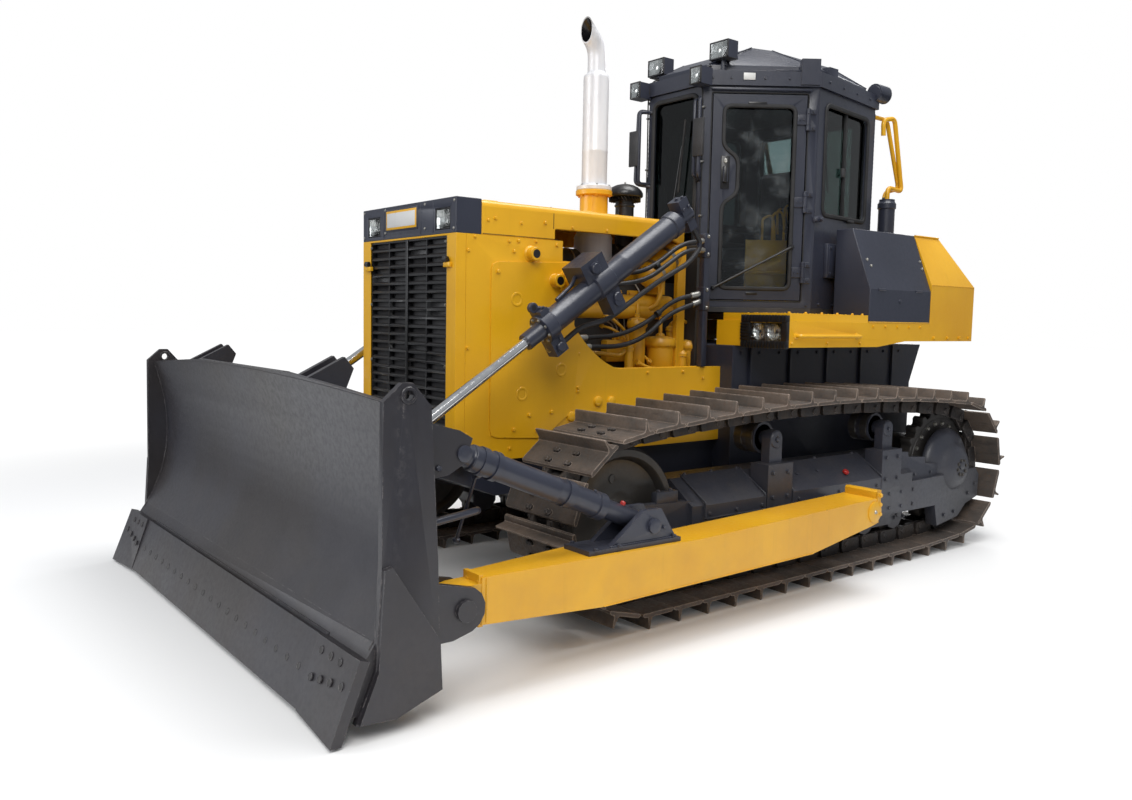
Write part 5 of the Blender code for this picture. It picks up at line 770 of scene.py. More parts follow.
def makeTrackFrameFittings(side, tag):
    y, z = track["sprocket"]
    middle = track["x"]
    shape = Shape("trackFrameFittings" + tag, "machine", side).paint("slateLow")
    shape.turned(finalDrive, (middle, y, z), (1, 0, 0), 88)
    # hub cover with its ring of bolts, and the raised rim of the casting
    shape.turned(((0.240, 0.030), (0.247, 0.030), (0.249, 0.026), (0.249, 0.010)), (middle, y, z + 0.02), (1, 0, 0), 40)
    shape.paint("cast").boltRing((middle + 0.2395, y, z + 0.004), "yz", (1, 0, 0), 0.052, 8, 0.0105, start=0.3)
    shape.boltRing((middle + 0.104, y, z), "yz", (1, 0, 0), 0.2525, 14, 0.0105)
    # carrier rollers with their round heads on the posts
    for place in carriers["places"]:
        height = topLine(place) - 0.030 - carriers["gap"] - carriers["radius"]
        half = carriers["half"]
        profile = ((-half, 0.045), (-half, 0.078), (-half + 0.010, carriers["radius"]), (-0.018, carriers["radius"]),
                   (-0.012, 0.088), (0.012, 0.088), (0.018, carriers["radius"]), (half - 0.010, carriers["radius"]),
                   (half, 0.078), (half, 0.045))
        shape.paint("cast").turned(profile, (middle, place, height), (1, 0, 0), 48)
        shape.paint("slateLow").turned(((0.066, 0.040), (0.104, 0.052), (0.172, 0.052), (0.178, 0.046), (0.178, 0.020),
                                        (0.174, 0.015)),
                                       (middle, place, height), (1, 0, 0), 40)
        shape.turned(((0.1735, 0.013), (0.184, 0.013), (0.187, 0.008)), (middle, place, height), (1, 0, 0), 6)
        shape.box((1.118, place - 0.008, 0.70), (1.166, place + 0.008, height - 0.045), 0.003)
        for hand in (-1, 1):
            shape.bolt((1.2118, place + 0.065 * hand, 0.70), (1, 0, 0), 0.012)
            shape.bolt((1.2118, place + 0.065 * hand, 0.56), (1, 0, 0), 0.012)
    # covers: rims, bolts, grease plug in red, the small hole, and their lips
    for first, last in ((-0.40, 0.09), (0.34, 1.24)):
        for share in (0.06, 0.5, 0.94):
            at = first + (last - first) * share
            shape.bolt((1.2145, at, 0.53), (1, 0, 0), 0.0095)
            shape.bolt((1.015, at, 0.7135), (0, 0, 1), 0.0095)
        shape.tube(((1.012, first, 0.714), (1.214, first, 0.588), (1.214, first, 0.505)), 0.0045, reach=0.01, sides=8)
        shape.tube(((1.012, last, 0.714), (1.214, last, 0.588), (1.214, last, 0.505)), 0.0045, reach=0.01, sides=8)
        shape.weld((1.2135, first + 0.01, 0.5035), (1.2135, last - 0.01, 0.5035), 0.004)
    shape.paint("red").turned(((-0.004, 0.020), (0.010, 0.020), (0.014, 0.016), (0.014, 0.004)), (1.155, 0.93, 0.630),
                              (0.53, 0, 0.85), 20)
    shape.paint("slateLow")
    for at in (0.50, 0.70):
        shape.turned(((-0.004, 0.011), (0.004, 0.011), (0.006, 0.006)), (1.11, at, 0.655), (0.53, 0, 0.85), 16)
    # idler fork: guide plates with bolts and shims
    for at in (-0.80, -0.70, -0.60):
        shape.bolt((1.157, at, 0.585), (1, 0, 0), 0.011)
        shape.bolt((1.157, at, 0.475), (1, 0, 0), 0.011)
    shape.box((1.128, -0.86, 0.45), (1.158, -0.55, 0.615), 0.006)
    shape.box((1.120, -0.72, 0.60), (1.165, -0.56, 0.668), 0.008)
    shape.bolts([(1.1425, -0.69, 0.667), (1.1425, -0.60, 0.667)], (0, 0, 1), 0.011)
    # rear arm: bolts, jack pad and weld lines
    shape.bolts([(1.1945, at, height) for at in (1.36, 1.50, 1.64) for height in (0.36, 0.455)], (1, 0, 0), 0.012)
    shape.bolts([(1.1945, at, height) for at, height in ((2.05, 0.235), (2.18, 0.245), (2.36, 0.36), (2.45, 0.42))],
                (1, 0, 0), 0.012)
    shape.weld((1.194, 1.255, 0.507), (1.194, 2.02, 0.517), 0.005)
    shape.bolts([(1.1645, at, 0.55) for at in (1.47, 1.56, 1.70, 1.90)], (1, 0, 0), 0.010)
    # bottom rollers that show between the guard and the links
    for i in range(rollerTable["count"]):
        at = rollerTable["first"] + rollerTable["step"] * i
        shape.paint("cast").turned(rollerTable["profile"], (middle, at, rollerTable["z"]), (1, 0, 0), 36)
        shape.paint("slateLow").bolts([(middle + 0.1298, at + 0.05 * hand, 0.262) for hand in (-1, 1)], (1, 0, 0),
                                      0.011)
        shape.turned(((0.126, 0.030), (0.134, 0.030), (0.137, 0.024), (0.137, 0.008)), (middle, at, 0.288), (1, 0, 0),
                     24)
    shape.finish()


# Push arms, braces and their pins
arm = {"noseIn": 1.42, "pinY": -2.144, "pinZ": 0.412, "pivot": (1.5495, 0.66, 0.477),
       "topRear": (-0.796, 0.511), "topFront": (-2.05, 0.523)}
# round skin of the brace: (share of its length, radius)
brace = {"foot": (1.433, -1.07, 0.605), "head": (1.378, -2.08, 1.015), "seatY": -1.2, "seatTall": 0.023,
         "tube": ((0.045, 0.040), (0.055, 0.0468), (0.27, 0.0468), (0.278, 0.050), (0.285, 0.0568), (0.50, 0.0568),
                  (0.505, 0.0585), (0.515, 0.0568), (0.80, 0.0568), (0.802, 0.0638), (0.828, 0.0638), (0.830, 0.0568),
                  (0.925, 0.0568), (0.935, 0.0468), (0.965, 0.0468), (0.968, 0.040)),
         "collar": ((0.248, 0.047), (0.25, 0.0638), (0.288, 0.0638), (0.291, 0.057))}


def makeArmFittings(side, tag):
    shape = Shape("pushArmFittings" + tag, "blade", side).paint("yellow")
    # cap plate bolts at the rear, flange at the front with its bolts and weld beads along the box
    shape.bolts([(1.5502, 0.709, z) for z in (0.460, 0.515, 0.570)], (1, 0, 0), 0.0125)
    shape.bolts([(x, 0.7352, z) for x in (1.36, 1.50) for z in (0.46, 0.57)], (0, 1, 0), 0.0125)
    shape.weld((1.551, -2.028, 0.335), (1.551, -2.028, 0.516), 0.005)
    shape.weld((1.551, -1.40, 0.2885), (1.551, 0.10, 0.3135), 0.0035)
    shape.weld((1.551, 0.685, 0.420), (1.551, 0.685, 0.590), 0.004)
    shape.bolts([(arm["noseIn"] + 0.03 + 0.08 * i, -2.0495, 0.345 + 0.155 * j) for i in range(2) for j in range(2)],
                (0, -1, 0), 0.012)
    # pivot cap on the trunnion
    shape.turned(((0, 0.062), (0.006, 0.062), (0.009, 0.056), (0.009, 0.020)), arm["pivot"], (1, 0, 0), 40)
    shape.paint("zinc").turned(((0.008, 0.012), (0.013, 0.010), (0.018, 0.005)), arm["pivot"], (1, 0, 0), 12)
    # front pin: round head with its keeper and grease nipple
    shape.paint("slate")
    shape.turned(((-0.010, 0.050), (0.016, 0.050), (0.0175, 0.046), (0.0175, 0.028), (0.0155, 0.026), (0.0155, 0.010)),
                 (1.551, arm["pinY"], arm["pinZ"]), (1, 0, 0), 48)
    shape.bolts([(1.5505, arm["pinY"] + 0.010, arm["pinZ"] + 0.066)], (1, 0, 0), 0.009)
    shape.paint("zinc").turned(((0.015, 0.007), (0.020, 0.006), (0.027, 0.003)), (1.551, arm["pinY"], arm["pinZ"]),
                               (1, 0, 0), 12)
    # brace: round skins over tube, sleeve and collars, pins, bolts of its seat, red grease cap
    foot, head = Vector(brace["foot"]), Vector(brace["head"])
    run = (head - foot).normalized()
    long = (head - foot).length
    shape.paint("slate")
    for part in ("tube", "collar"):
        shape.turned([(long * share, radius) for share, radius in brace[part]], foot, run, 56)
    for share in (0.31, 0.81):
        at = foot + run * long * share
        up = Vector((0.30, 0.25, 0.92)).normalized()
        shape.bolt(at + up * 0.055, up, 0.010)
    for x in (1.5122, 1.3498):
        way = 1 if x > 1.43 else -1
        shape.turned(((-0.004, 0.036), (0.013, 0.036), (0.015, 0.032), (0.015, 0.012)), (x, *brace["foot"][1:]),
                     (way, 0, 0), 40)
    shape.bolts([(1.5122, -1.005, 0.590)], (1, 0, 0), 0.008)
    shape.turned(((-0.004, 0.034), (0.012, 0.034), (0.014, 0.030), (0.014, 0.012)), (1.4502, *brace["head"][1:]),
                 (1, 0, 0), 36)
    # height of the brace's seat on the arm's sloping top
    (rearY, rearZ), (frontY, frontZ) = arm["topRear"], arm["topFront"]
    top = rearZ + (frontZ - rearZ) / (frontY - rearY) * (brace["seatY"] - rearY) + brace["seatTall"]
    shape.bolts([(x, y, top) for x in (1.352, 1.518) for y in (-1.43, -1.29, -0.94)], (0, 0, 1), 0.011)
    shape.weld((1.514, -1.34, 0.540), (1.514, -0.93, 0.537), 0.005)
    shape.paint("red").turned(((-0.003, 0.013), (0.010, 0.013), (0.014, 0.009), (0.015, 0.003)),
                              foot + run * 0.165 + Vector((0.012, 0.02, 0.043)), (0.2, 0.35, 0.9), 20)
    shape.finish()


# Blade
edge = {"shoulder": (-2.595, 0.31), "nose": (-2.698, 0.030), "bitShoulder": (-2.606, 0.316), "bitNose": (-2.724, 0.012),
        "boltCount": 20, "boltHalf": 1.14}
# the sheet over the board's face: half width, heights, fall of its top with the square of x, how far it stands out
boardSheet = {"half": 1.5515, "low": 0.360, "top": 1.2935, "arch": 0.0232, "columns": 32, "rows": 40, "out": 0.0022,
              "in": 0.004}


def edgePlace(x, share, bit=False):
    (y0, z0), (y1, z1) = (edge["bitShoulder"], edge["bitNose"]) if bit else (edge["shoulder"], edge["nose"])
    return (x, y0 + (y1 - y0) * share, z0 + (z1 - z0) * share)


def makeBoardFace():
    # one smooth sheet over the board's facets, its top following the arched crown
    shape = Shape("bladeFace", "blade").paint("blade")
    s = boardSheet
    stations = []
    for i in range(s["columns"] + 1):
        x = -s["half"] + 2 * s["half"] * i / s["columns"]
        top = s["top"] - s["arch"] * x * x
        heights = [s["low"] + (top - s["low"]) * k / s["rows"] for k in range(s["rows"] + 1)]
        front = [(x, boardFront(h) - s["out"], h) for h in heights]
        back = [(x, boardFront(h) + s["in"], h) for h in reversed(heights)]
        stations.append(front + back)
    shape.rings(stations).finish(50)


def makeBladeFittings():
    shape = Shape("bladeFittings", "blade").paint("blade")
    out = Vector((0, -0.9385, 0.3452)).normalized()
    # plough bolts let into the cutting edge, then the short rows on the end bits
    places = [edgePlace(-edge["boltHalf"] + 2 * edge["boltHalf"] * i / (edge["boltCount"] - 1),
                        0.52) for i in range(edge["boltCount"])]
    for hand in (-1, 1):
        places += [edgePlace(x * hand, share, True) for x, share in (
            (1.285, 0.48), (1.36, 0.44), (1.44, 0.40), (1.30, 0.14), (1.385, 0.14), (1.465, 0.14), (1.53, 0.36))]
    for place in places:
        shape.paint("blade").turned(((-0.004, 0.0165), (0.0012, 0.0165), (0.0018, 0.0145), (0.0004, 0.0135)), place,
                                    out, 20)
        shape.paint("black").turned(((-0.003, 0.0130), (0.0007, 0.0130), (0.0007, 0.0090)), place, out, 18)
    # nuts of those bolts behind the edge
    for i in range(edge["boltCount"]):
        x = -edge["boltHalf"] + 2 * edge["boltHalf"] * i / (edge["boltCount"] - 1)
        shape.paint("zinc").bolt((x, -2.5005, 0.155), (0, 1, 0), 0.015)
    shape.paint("blade")
    # the edge's top lip and its beads, and the corner beads up both cheeks
    shape.weld((-1.24, -2.562, 0.3075), (1.24, -2.562, 0.3075), 0.006, step=0.016)
    for hand in (-1, 1):
        rows = [(hand * 1.551, boardFront(z) - 0.001, z) for z in (0.33, 0.42, 0.52, 0.62, 0.72, 0.82, 0.92, 1.02, 1.12,
                1.22)]
        for start, end in zip(rows, rows[1:]):
            shape.weld(start, end, 0.0055, step=0.014)
        outer = hand * 1.6045
        for start, end in (((-2.476, 0.641), (-2.272, 0.329)), ((-2.508, 0.634), (-2.476, 0.641)),
                           ((-2.533, 0.254), (-2.508, 0.634))):
            shape.weld((outer - hand * 0.020, *start), (outer - hand * 0.020, *end), 0.0045)
        shape.turned(((-0.034, 0.021), (-0.034, 0.030), (-0.031, 0.033), (0.001, 0.033), (0.004, 0.030),
                      (0.004, 0.021)),
                     (hand * 1.583, -2.402, 1.272), (hand, 0, 0), 40, hollow=True)
    shape.finish()
    # back of the blade: lift eyes with their pins, stiffeners, brackets' bolts
    for side, tag in sides:
        back = Shape("bladeBack" + tag, "blade", side).paint("slate")
        for x, way in ((0.712, -1), (0.788, 1)):
            back.turned(((-0.002, 0.052), (0.010, 0.052), (0.012, 0.048), (0.012, 0.030)),
                        (x - way * 0.002 + way * 0.03, -2.105, 0.893), (way, 0, 0), 40)
            back.paint("zinc").turned(((0.010, 0.028), (0.020, 0.028), (0.022, 0.024), (0.022, 0.008)),
                                      (x + way * 0.03, -2.105, 0.893), (way, 0, 0), 32)
            back.paint("slate")
        back.bolts([(1.4505, -2.30, 1.02), (1.4505, -2.20, 0.965)], (1, 0, 0), 0.013)
        back.weld((1.4505, -2.33, 0.915), (1.4505, -2.33, 1.11), 0.006)
        for height in (0.36, 0.49):
            back.bolt((1.5505, -2.245, height), (1, 0, 0), 0.012)
        back.finish()


# Lift cylinders: places along the barrel from its pivot, towards the rod
lift = {"x": 0.75, "pivot": (-0.787, 1.755), "eye": (-2.105, 0.893)}
liftWay = Vector((0, lift["eye"][0] - lift["pivot"][0], lift["eye"][1] - lift["pivot"][1])).normalized()
liftUp = Vector((0, liftWay.z, -liftWay.y))


def onLift(along, up=0.0, x=0.0):
    return Vector((lift["x"] + x, *lift["pivot"])) + liftWay * along + liftUp * up


def makeStays():
    # bent carrying bar and the loose prop that hangs beside it, behind the board's left end
    shape = Shape("bladeStays", "blade").paint("slate")
    shape.tube(((1.05, -2.235, 0.610), (1.019, -1.955, 0.641), (1.377, -1.945, 0.759), (1.40, -2.235, 0.730)), 0.0165,
               reach=0.05, sides=16, steps=6)
    shape.rod((1.343, -1.950, 0.902), (1.194, -1.950, 0.600), 0.0075, 14)
    shape.turned(((-0.013, 0.006), (-0.009, 0.014), (0.0, 0.018), (0.009, 0.014), (0.013, 0.006)),
                 (1.190, -1.950, 0.590), (0.44, 0, 0.9), 20)
    shape.turned(((-0.012, 0.012), (-0.012, 0.024), (0.012, 0.024), (0.012, 0.012)), (1.347, -1.950, 0.910), (0, 1, 0),
                 24)
    shape.finish()


def makeCylinders(side, tag):
    body = sideBody("barrel", side)
    shape = Shape("liftBarrelSkin" + tag, body, side).paint("slate")
    profile = ((-0.662, 0.050), (-0.662, 0.070), (-0.658, 0.0748), (-0.604, 0.0748), (-0.600, 0.070), (-0.597, 0.0678),
               (-0.20, 0.0678), (-0.19, 0.0695), (-0.175, 0.0695), (-0.165, 0.0678), (-0.068, 0.0678), (-0.064, 0.0745),
               (-0.060, 0.0788), (0.060, 0.0788), (0.064, 0.0745), (0.068, 0.0678), (0.385, 0.0678), (0.398, 0.0765),
               (0.402, 0.0808), (0.468, 0.0808), (0.4715, 0.0770), (0.4715, 0.0480), (0.475, 0.0458), (0.580, 0.0458),
               (0.5865, 0.0430), (0.5865, 0.0290))
    shape.turned(profile, onLift(0), liftWay, 64)
    # gland bolts, grease nipple, clamp ring bolts
    for i in range(8):
        a = 2 * math.pi * (i + 0.5) / 8
        place = onLift(0.4708, 0.064 * math.sin(a), 0.064 * math.cos(a))
        shape.paint("zinc").bolt(place, liftWay, 0.0075)
    shape.paint("slate")
    for along, up, x, size in ((-0.03, 0.126, 0.0, 0.011), (0.03, 0.126, 0.03, 0.011), (-0.03, 0.126, -0.05, 0.011),
                               (0.43, 0.101, 0.0, 0.009), (0.415, 0.101, 0.03, 0.009), (-0.735, 0.106, 0.0, 0.010),
                               (-0.755, 0.106, 0.03, 0.010)):
        shape.bolt(onLift(along, up, x), liftUp, size)
    shape.bolts([onLift(0.41, -0.09, 0.0355), onLift(0.45, -0.14, 0.0355), onLift(-0.03, -0.09, 0.0455),
                 onLift(-0.76, 0.05, 0.0455), onLift(-0.715, 0.05, 0.0455)], (1, 0, 0), 0.009)
    # ported cap, plugs and elbows that break up the valve block on the trunnion
    for along, up, x, radius, tall in ((0.0, 0.122, -0.075, 0.034, 0.030), (0.0, 0.122, 0.020, 0.026, 0.022)):
        shape.turned(((0, radius * 1.25), (0.006, radius * 1.25), (0.009, radius), (tall, radius),
                      (tall + 0.005, radius * 0.8), (tall + 0.007, radius * 0.3)),
                     onLift(along, up, x), liftUp, 28)
    shape.tube((onLift(0.045, 0.095, -0.04), onLift(0.10, 0.105, -0.04), onLift(0.16, 0.082, -0.02),
                onLift(0.30, 0.078, 0.0)), 0.011, reach=0.03, sides=14)
    shape.turned(((0, 0.020), (0.018, 0.020), (0.022, 0.014)), onLift(0.055, 0.097, -0.04), liftWay, 6)
    # round skins over the small studs and the lever with its ring eye
    shape.rod(onLift(0.030, 0.105, -0.132), onLift(0.030, 0.105, 0.072), 0.0306, 32, edge=0.005)
    shape.rod(onLift(-0.030, -0.105, -0.062), onLift(-0.030, -0.105, 0.064), 0.0266, 32, edge=0.005)
    shape.rod(onLift(0.430, -0.125, -0.062), onLift(0.430, -0.125, 0.052), 0.0246, 32, edge=0.004)
    shape.rod((0.75, -1.090, 1.600), (0.75, -1.215, 1.6115), 0.0136, 20)
    shape.turned(((-0.0125, 0.016), (-0.0125, 0.024), (-0.009, 0.0276), (0.009, 0.0276), (0.0125, 0.024),
                  (0.0125, 0.016)),
                 (0.75, -1.235, 1.612), (1, 0, 0), 32)
    shape.paint("black").turned(((-0.0130, 0.004), (-0.0130, 0.0150), (0.0130, 0.0150), (0.0130, 0.004)),
                                (0.75, -1.235, 1.612), (1, 0, 0), 24)
    # feed hose: round cover over its solid, crimped end fittings
    feed = ((0.735, -1.115, 1.400), (0.715, -1.02, 1.425), (0.700, -0.88, 1.515), (0.700, -0.68, 1.560),
            (0.700, -0.44, 1.705), (0.700, -0.28, 1.795), (0.700, -0.06, 1.900), (0.700, 0.045, 2.010),
            (0.725, -0.09, 2.130))
    shape.paint("hose").tube(feed, 0.0146, reach=0.055, sides=16, steps=6)
    shape.paint("zinc")
    shape.rod(feed[0], Vector(feed[0]).lerp(Vector(feed[1]), 0.45), 0.0185, 18, edge=0.003)
    shape.rod(feed[-1], Vector(feed[-1]).lerp(Vector(feed[-2]), 0.24), 0.0185, 18, edge=0.003)
    shape.turned(((0, 0.021), (0.016, 0.021)), feed[0], Vector(feed[1]) - Vector(feed[0]), 6)
    shape.finish()
    rod = Shape("pistonRod" + tag, sideBody("rod", side), side).paint("chrome")
    eye = onLift(1.5748)
    rod.rod(eye - liftWay * 0.05, onLift(0.131), 0.028, 56)
    rod.paint("slate")
    rod.turned(((-0.035, 0.030), (-0.035, 0.050), (-0.031, 0.055), (0.031, 0.055), (0.035, 0.050), (0.035, 0.030)),
               (lift["x"], *lift["eye"]), (1, 0, 0), 48)
    rod.rod(eye - liftWay * 0.045, eye - liftWay * 0.085, 0.0335, 40, edge=0.004)
    rod.paint("zinc").turned(((-0.0352, 0.008), (-0.0352, 0.029), (0.0352, 0.029), (0.0352, 0.008)),
                             (lift["x"], *lift["eye"]), (1, 0, 0), 32)
    made = rod.finish()
    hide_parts(f"piston_rod_{tag.lower()}")


# Front: grille slats, headlamps, plate, latches
front = {"y": -1.552, "grilleHalf": 0.426, "grilleLow": 0.93, "grilleTop": 1.975, "columns": 4, "rows": 22,
         "bar": 0.010}
headlamp = {"x": 0.383, "z": 2.062, "wide": 0.067, "high": 0.047}  # wide and high are halves


def makeGrilleSlats():
    shape = Shape("grilleSlats").paint("black")
    y0 = front["y"] + 0.0085
    rowStep = (front["grilleTop"] - front["grilleLow"] - front["bar"]) / front["rows"]
    columnStep = (2 * front["grilleHalf"] - front["bar"]) / front["columns"]
    for row in range(front["rows"]):
        z = front["grilleLow"] + front["bar"] / 2 + rowStep * row
        for column in range(front["columns"]):
            x = -front["grilleHalf"] + front["bar"] / 2 + columnStep * column
            a, b = x + 0.007, x + columnStep - 0.007
            # a leaning louvre with a rolled front lip
            section = ((y0 - 0.001, z + 0.004), (y0 + 0.002, z + 0.0085), (y0 + 0.012, z + 0.0150),
                       (y0 + 0.013, z + 0.0125), (y0 + 0.005, z + 0.0035), (y0 + 0.001, z + 0.0020))
            shape.rings([[(a, p, q) for p, q in section], [(b, p, q) for p, q in section]])
    # thicker middle bar, frame strips, screws
    shape.box((-0.012, y0 - 0.006, front["grilleLow"] + 0.002), (0.012, y0 + 0.003, front["grilleTop"] - 0.002), 0.003)
    for hand in (-1, 1):
        shape.box((hand * 0.424 - 0.006, y0 - 0.005, front["grilleLow"] + 0.002),
                  (hand * 0.424 + 0.002 * hand, y0 + 0.002, front["grilleTop"] - 0.002), 0.002)
        for z in (0.96, 1.30, 1.62, 1.945):
            shape.paint("zinc").bolt((hand * 0.416, y0 - 0.0045, z), (0, -1, 0), 0.0065)
            shape.paint("black")
    shape.finish()


def makeFrontFittings():
    shape = Shape("frontFittings").paint("zinc")
    y = front["y"]
    for x, z in ((-0.504, 2.150), (-0.504, 2.008), (-0.244, 2.150), (-0.244, 2.022), (0.203, 2.150), (0.203, 2.022),
                 (0.500, 2.148), (0.496, 2.008)):
        shape.turned(((-0.002, 0.0085), (0.002, 0.0080), (0.0045, 0.0055), (0.0050, 0.0015)), (x, y + 0.0005, z),
                     (0, -1, 0), 20)
    # blank plate between the lamps, raised panel seams round it
    shape.paint("yellow").box((-0.224, y - 0.005, 2.036), (0.116, y + 0.002, 2.140), 0.003)
    shape.paint("blank").box((-0.212, y - 0.0062, 2.048), (0.104, y, 2.128), 0.002)
    shape.paint("slate")
    shape.box((-0.235, y - 0.0025, 2.026), (0.127, y + 0.002, 2.150), 0.002)
    for hand in (-1, 1):
        # lamp: bowl, bulb, lens with flutes, rim with screws
        x, z, wide, high = hand * headlamp["x"], headlamp["z"], headlamp["wide"], headlamp["high"]
        shape.paint("mirror")
        for cup in (-1, 1):
            bowl = [(0.004, 0.012), (0.010, 0.024), (0.018, 0.0315), (0.024, 0.0335)]
            shape.turned([(-0.002, 0.004)] + bowl + [(0.024, 0.0345), (0.000, 0.0345)],
                         (x + cup * 0.033, y + 0.0315, z), (0, -1, 0), 28)
        shape.paint("black")
        for a, b in (((x - wide - 0.006, y + 0.002, z - high - 0.006), (x - wide, y + 0.012, z + high + 0.006)),
                     ((x + wide, y + 0.002, z - high - 0.006), (x + wide + 0.006, y + 0.012, z + high + 0.006)),
                     ((x - wide - 0.006, y + 0.002, z + high), (x + wide + 0.006, y + 0.012, z + high + 0.006)),
                     ((x - wide - 0.006, y + 0.002, z - high - 0.006), (x + wide + 0.006, y + 0.012, z - high))):
            shape.box(a, b, 0.0015)
        shape.paint("lens")
        shape.box((x - wide, y + 0.0035, z - high), (x + wide, y + 0.0065, z + high), 0.001)
        for i in range(9):
            at = x - wide + 0.008 + 0.01475 * i
            shape.box((at - 0.0012, y + 0.0022, z - high + 0.004), (at + 0.0012, y + 0.0045, z + high - 0.004), 0.0008)
        # latch: yellow lug with its black rubber toggle at the guard's edge
        shape.paint("yellow").box((hand * 0.440 - 0.022, y - 0.016, 1.812), (hand * 0.440 + 0.040, y + 0.004, 1.838),
                                  0.004)
        shape.paint("black").box((hand * 0.440 - 0.024, y - 0.022, 1.838), (hand * 0.440 + 0.010, y + 0.002, 1.868),
                                 0.005)
        shape.turned(((-0.020, 0.008), (-0.020, 0.012), (0.020, 0.012), (0.020, 0.008)),
                     (hand * 0.440, y - 0.014, 1.850), (1, 0, 0), 16)
    # cap joints on its top and front, with a shallow lip
    shape.paint("slate")
    for x in (-0.262, 0.160, 0.290):
        shape.box((x - 0.003, y - 0.0012, 1.995), (x + 0.003, y + 0.0008, 2.160), 0.0008)
    shape.finish()


# Side frames and hood
sideBolts = ((-1.314, 2.075), (-0.990, 2.075), (-1.225, 1.963), (-1.166, 1.967), (-1.194, 1.911), (-0.909, 1.960),
             (-1.480, 1.90), (-1.480, 1.40), (-1.480, 0.95), (-1.206, 0.858), (-1.356, 0.860), (-0.739, 1.172),
             (-0.739, 1.150), (-0.737, 1.363), (-0.66, 0.90), (-0.30, 0.88), (0.05, 0.88), (0.28, 1.20), (-0.20, 1.245),
             (0.10, 1.245), (0.29, 0.90))
panelBolts = ((-1.084, 1.034), (-1.185, 0.960), (-1.029, 0.946), (-0.932, 1.043), (-1.30, 1.80), (-0.86, 1.83))
roundBolts = ((-0.59, 1.088), (-0.488, 1.084), (-0.785, 1.010))
dimples = ((-1.175, 1.658), (-1.132, 1.150), (-0.865, 1.275))
sideFace = {"frame": 0.520, "panel": 0.5275}


def makeSideFittings(side, tag):
    shape = Shape("sideFittings" + tag, "machine", side).paint("yellow")
    shape.bolts([(0.5198, y, z) for y, z in sideBolts], (1, 0, 0), 0.0085)
    shape.bolts([(0.5278, y, z) for y, z in panelBolts], (1, 0, 0), 0.0105)
    for y, z in roundBolts:
        shape.turned(((-0.002, 0.030), (0.008, 0.030), (0.014, 0.026), (0.018, 0.016), (0.019, 0.004)),
                     (sideFace["frame"], y, z), (1, 0, 0), 28)
    for y, z in dimples:
        # pressed ring round a plugged hole
        shape.turned(((-0.002, 0.022), (0.0008, 0.023), (0.0034, 0.028), (0.0038, 0.032), (0.0030, 0.037),
                      (-0.001, 0.040)), (sideFace["panel"], y, z), (1, 0, 0), 40)
    # tube bosses: round skins, bores and weld beads
    for y, z, radius, reach in ((-1.084, 1.902, 0.036, 0.055), (-0.924, 1.765, 0.036, 0.060)):
        shape.turned(((-0.002, radius + 0.010), (0.004, radius + 0.007), (0.010, radius + 0.0007),
                      (reach - 0.004, radius + 0.0007), (reach + 0.0008, radius - 0.003),
                      (reach + 0.0008, radius - 0.012)), (sideFace["frame"], y, z), (1, 0, 0), 40)
        # black disc in each boss's mouth: painted shade for the inside of the bore
        shape.paint("black").turned(((reach - 0.001, radius - 0.0125), (reach + 0.0012, radius - 0.0125)),
                                    (sideFace["frame"], y, z), (1, 0, 0), 32)
        shape.paint("yellow")
    # trunnion bearing: round skin and its six bolts
    shape.turned(((-0.002, 0.116), (0.004, 0.1105), (0.0205, 0.1105), (0.0215, 0.0860), (0.050, 0.0805),
                  (0.082, 0.0757), (0.0857, 0.071), (0.0857, 0.042)), (sideFace["frame"], *lift["pivot"]), (1, 0, 0),
                  64)
    shape.boltRing((0.5402, *lift["pivot"]), "yz", (1, 0, 0), 0.0975, 6, 0.0095, washer=0)
    # hood joints: dark gaps, hinge pins, lifting eye, screws along the skirt
    shape.paint("black").box((0.5195, -0.934, 2.046), (0.5208, -0.930, 2.130), 0.0004)
    shape.box((0.060, -0.934, 2.1645), (0.500, -0.930, 2.1657), 0.0004)
    shape.box((0.5195, -1.392, 1.990), (0.5208, -0.90, 1.9925), 0.0004)
    shape.paint("yellow")
    shape.bolts([(0.5198, y, 2.062) for y in (-1.36, -1.15, -0.80, -0.55, -0.25)], (1, 0, 0), 0.0075)
    shape.bolts([(0.5198, y, 1.972) for y in (-1.44, -1.05)], (1, 0, 0), 0.0075)
    for y in (-1.20, -0.50):
        shape.tube(((0.30, y - 0.05, 2.163), (0.30, y - 0.05, 2.188), (0.30, y + 0.05, 2.188), (0.30, y + 0.05, 2.163)),
                   0.007, reach=0.02, sides=12)
    # edge bead round the cut that opens the engine bay
    cut = ((0.506, -0.775, 1.535), (0.506, -0.700, 1.410), (0.506, -0.62, 1.335), (0.506, -0.52, 1.290),
           (0.506, -0.44, 1.2725), (0.506, 0.23, 1.2725))
    shape.tube(cut, 0.0045, reach=0.06, sides=8)
    shape.finish()


makeBoardFace()
makeStays()
for side, tag in sides:
    makeTrackFrameFittings(side, tag)
    makeArmFittings(side, tag)
    makeCylinders(side, tag)
    makeSideFittings(side, tag)
makeBladeFittings()
makeGrilleSlats()
makeFrontFittings()
print("undercarriage, arms, blade, cylinders and front made")


# Exhaust, pre-cleaner, hoses
stackSizes = {"y": -0.217, "neck": 0.057, "from": 3.06, "knee": 3.25, "bend": 0.07, "cut": -0.305, "wall": 0.006,
              "sides": 40, "boltCircle": 0.0985}


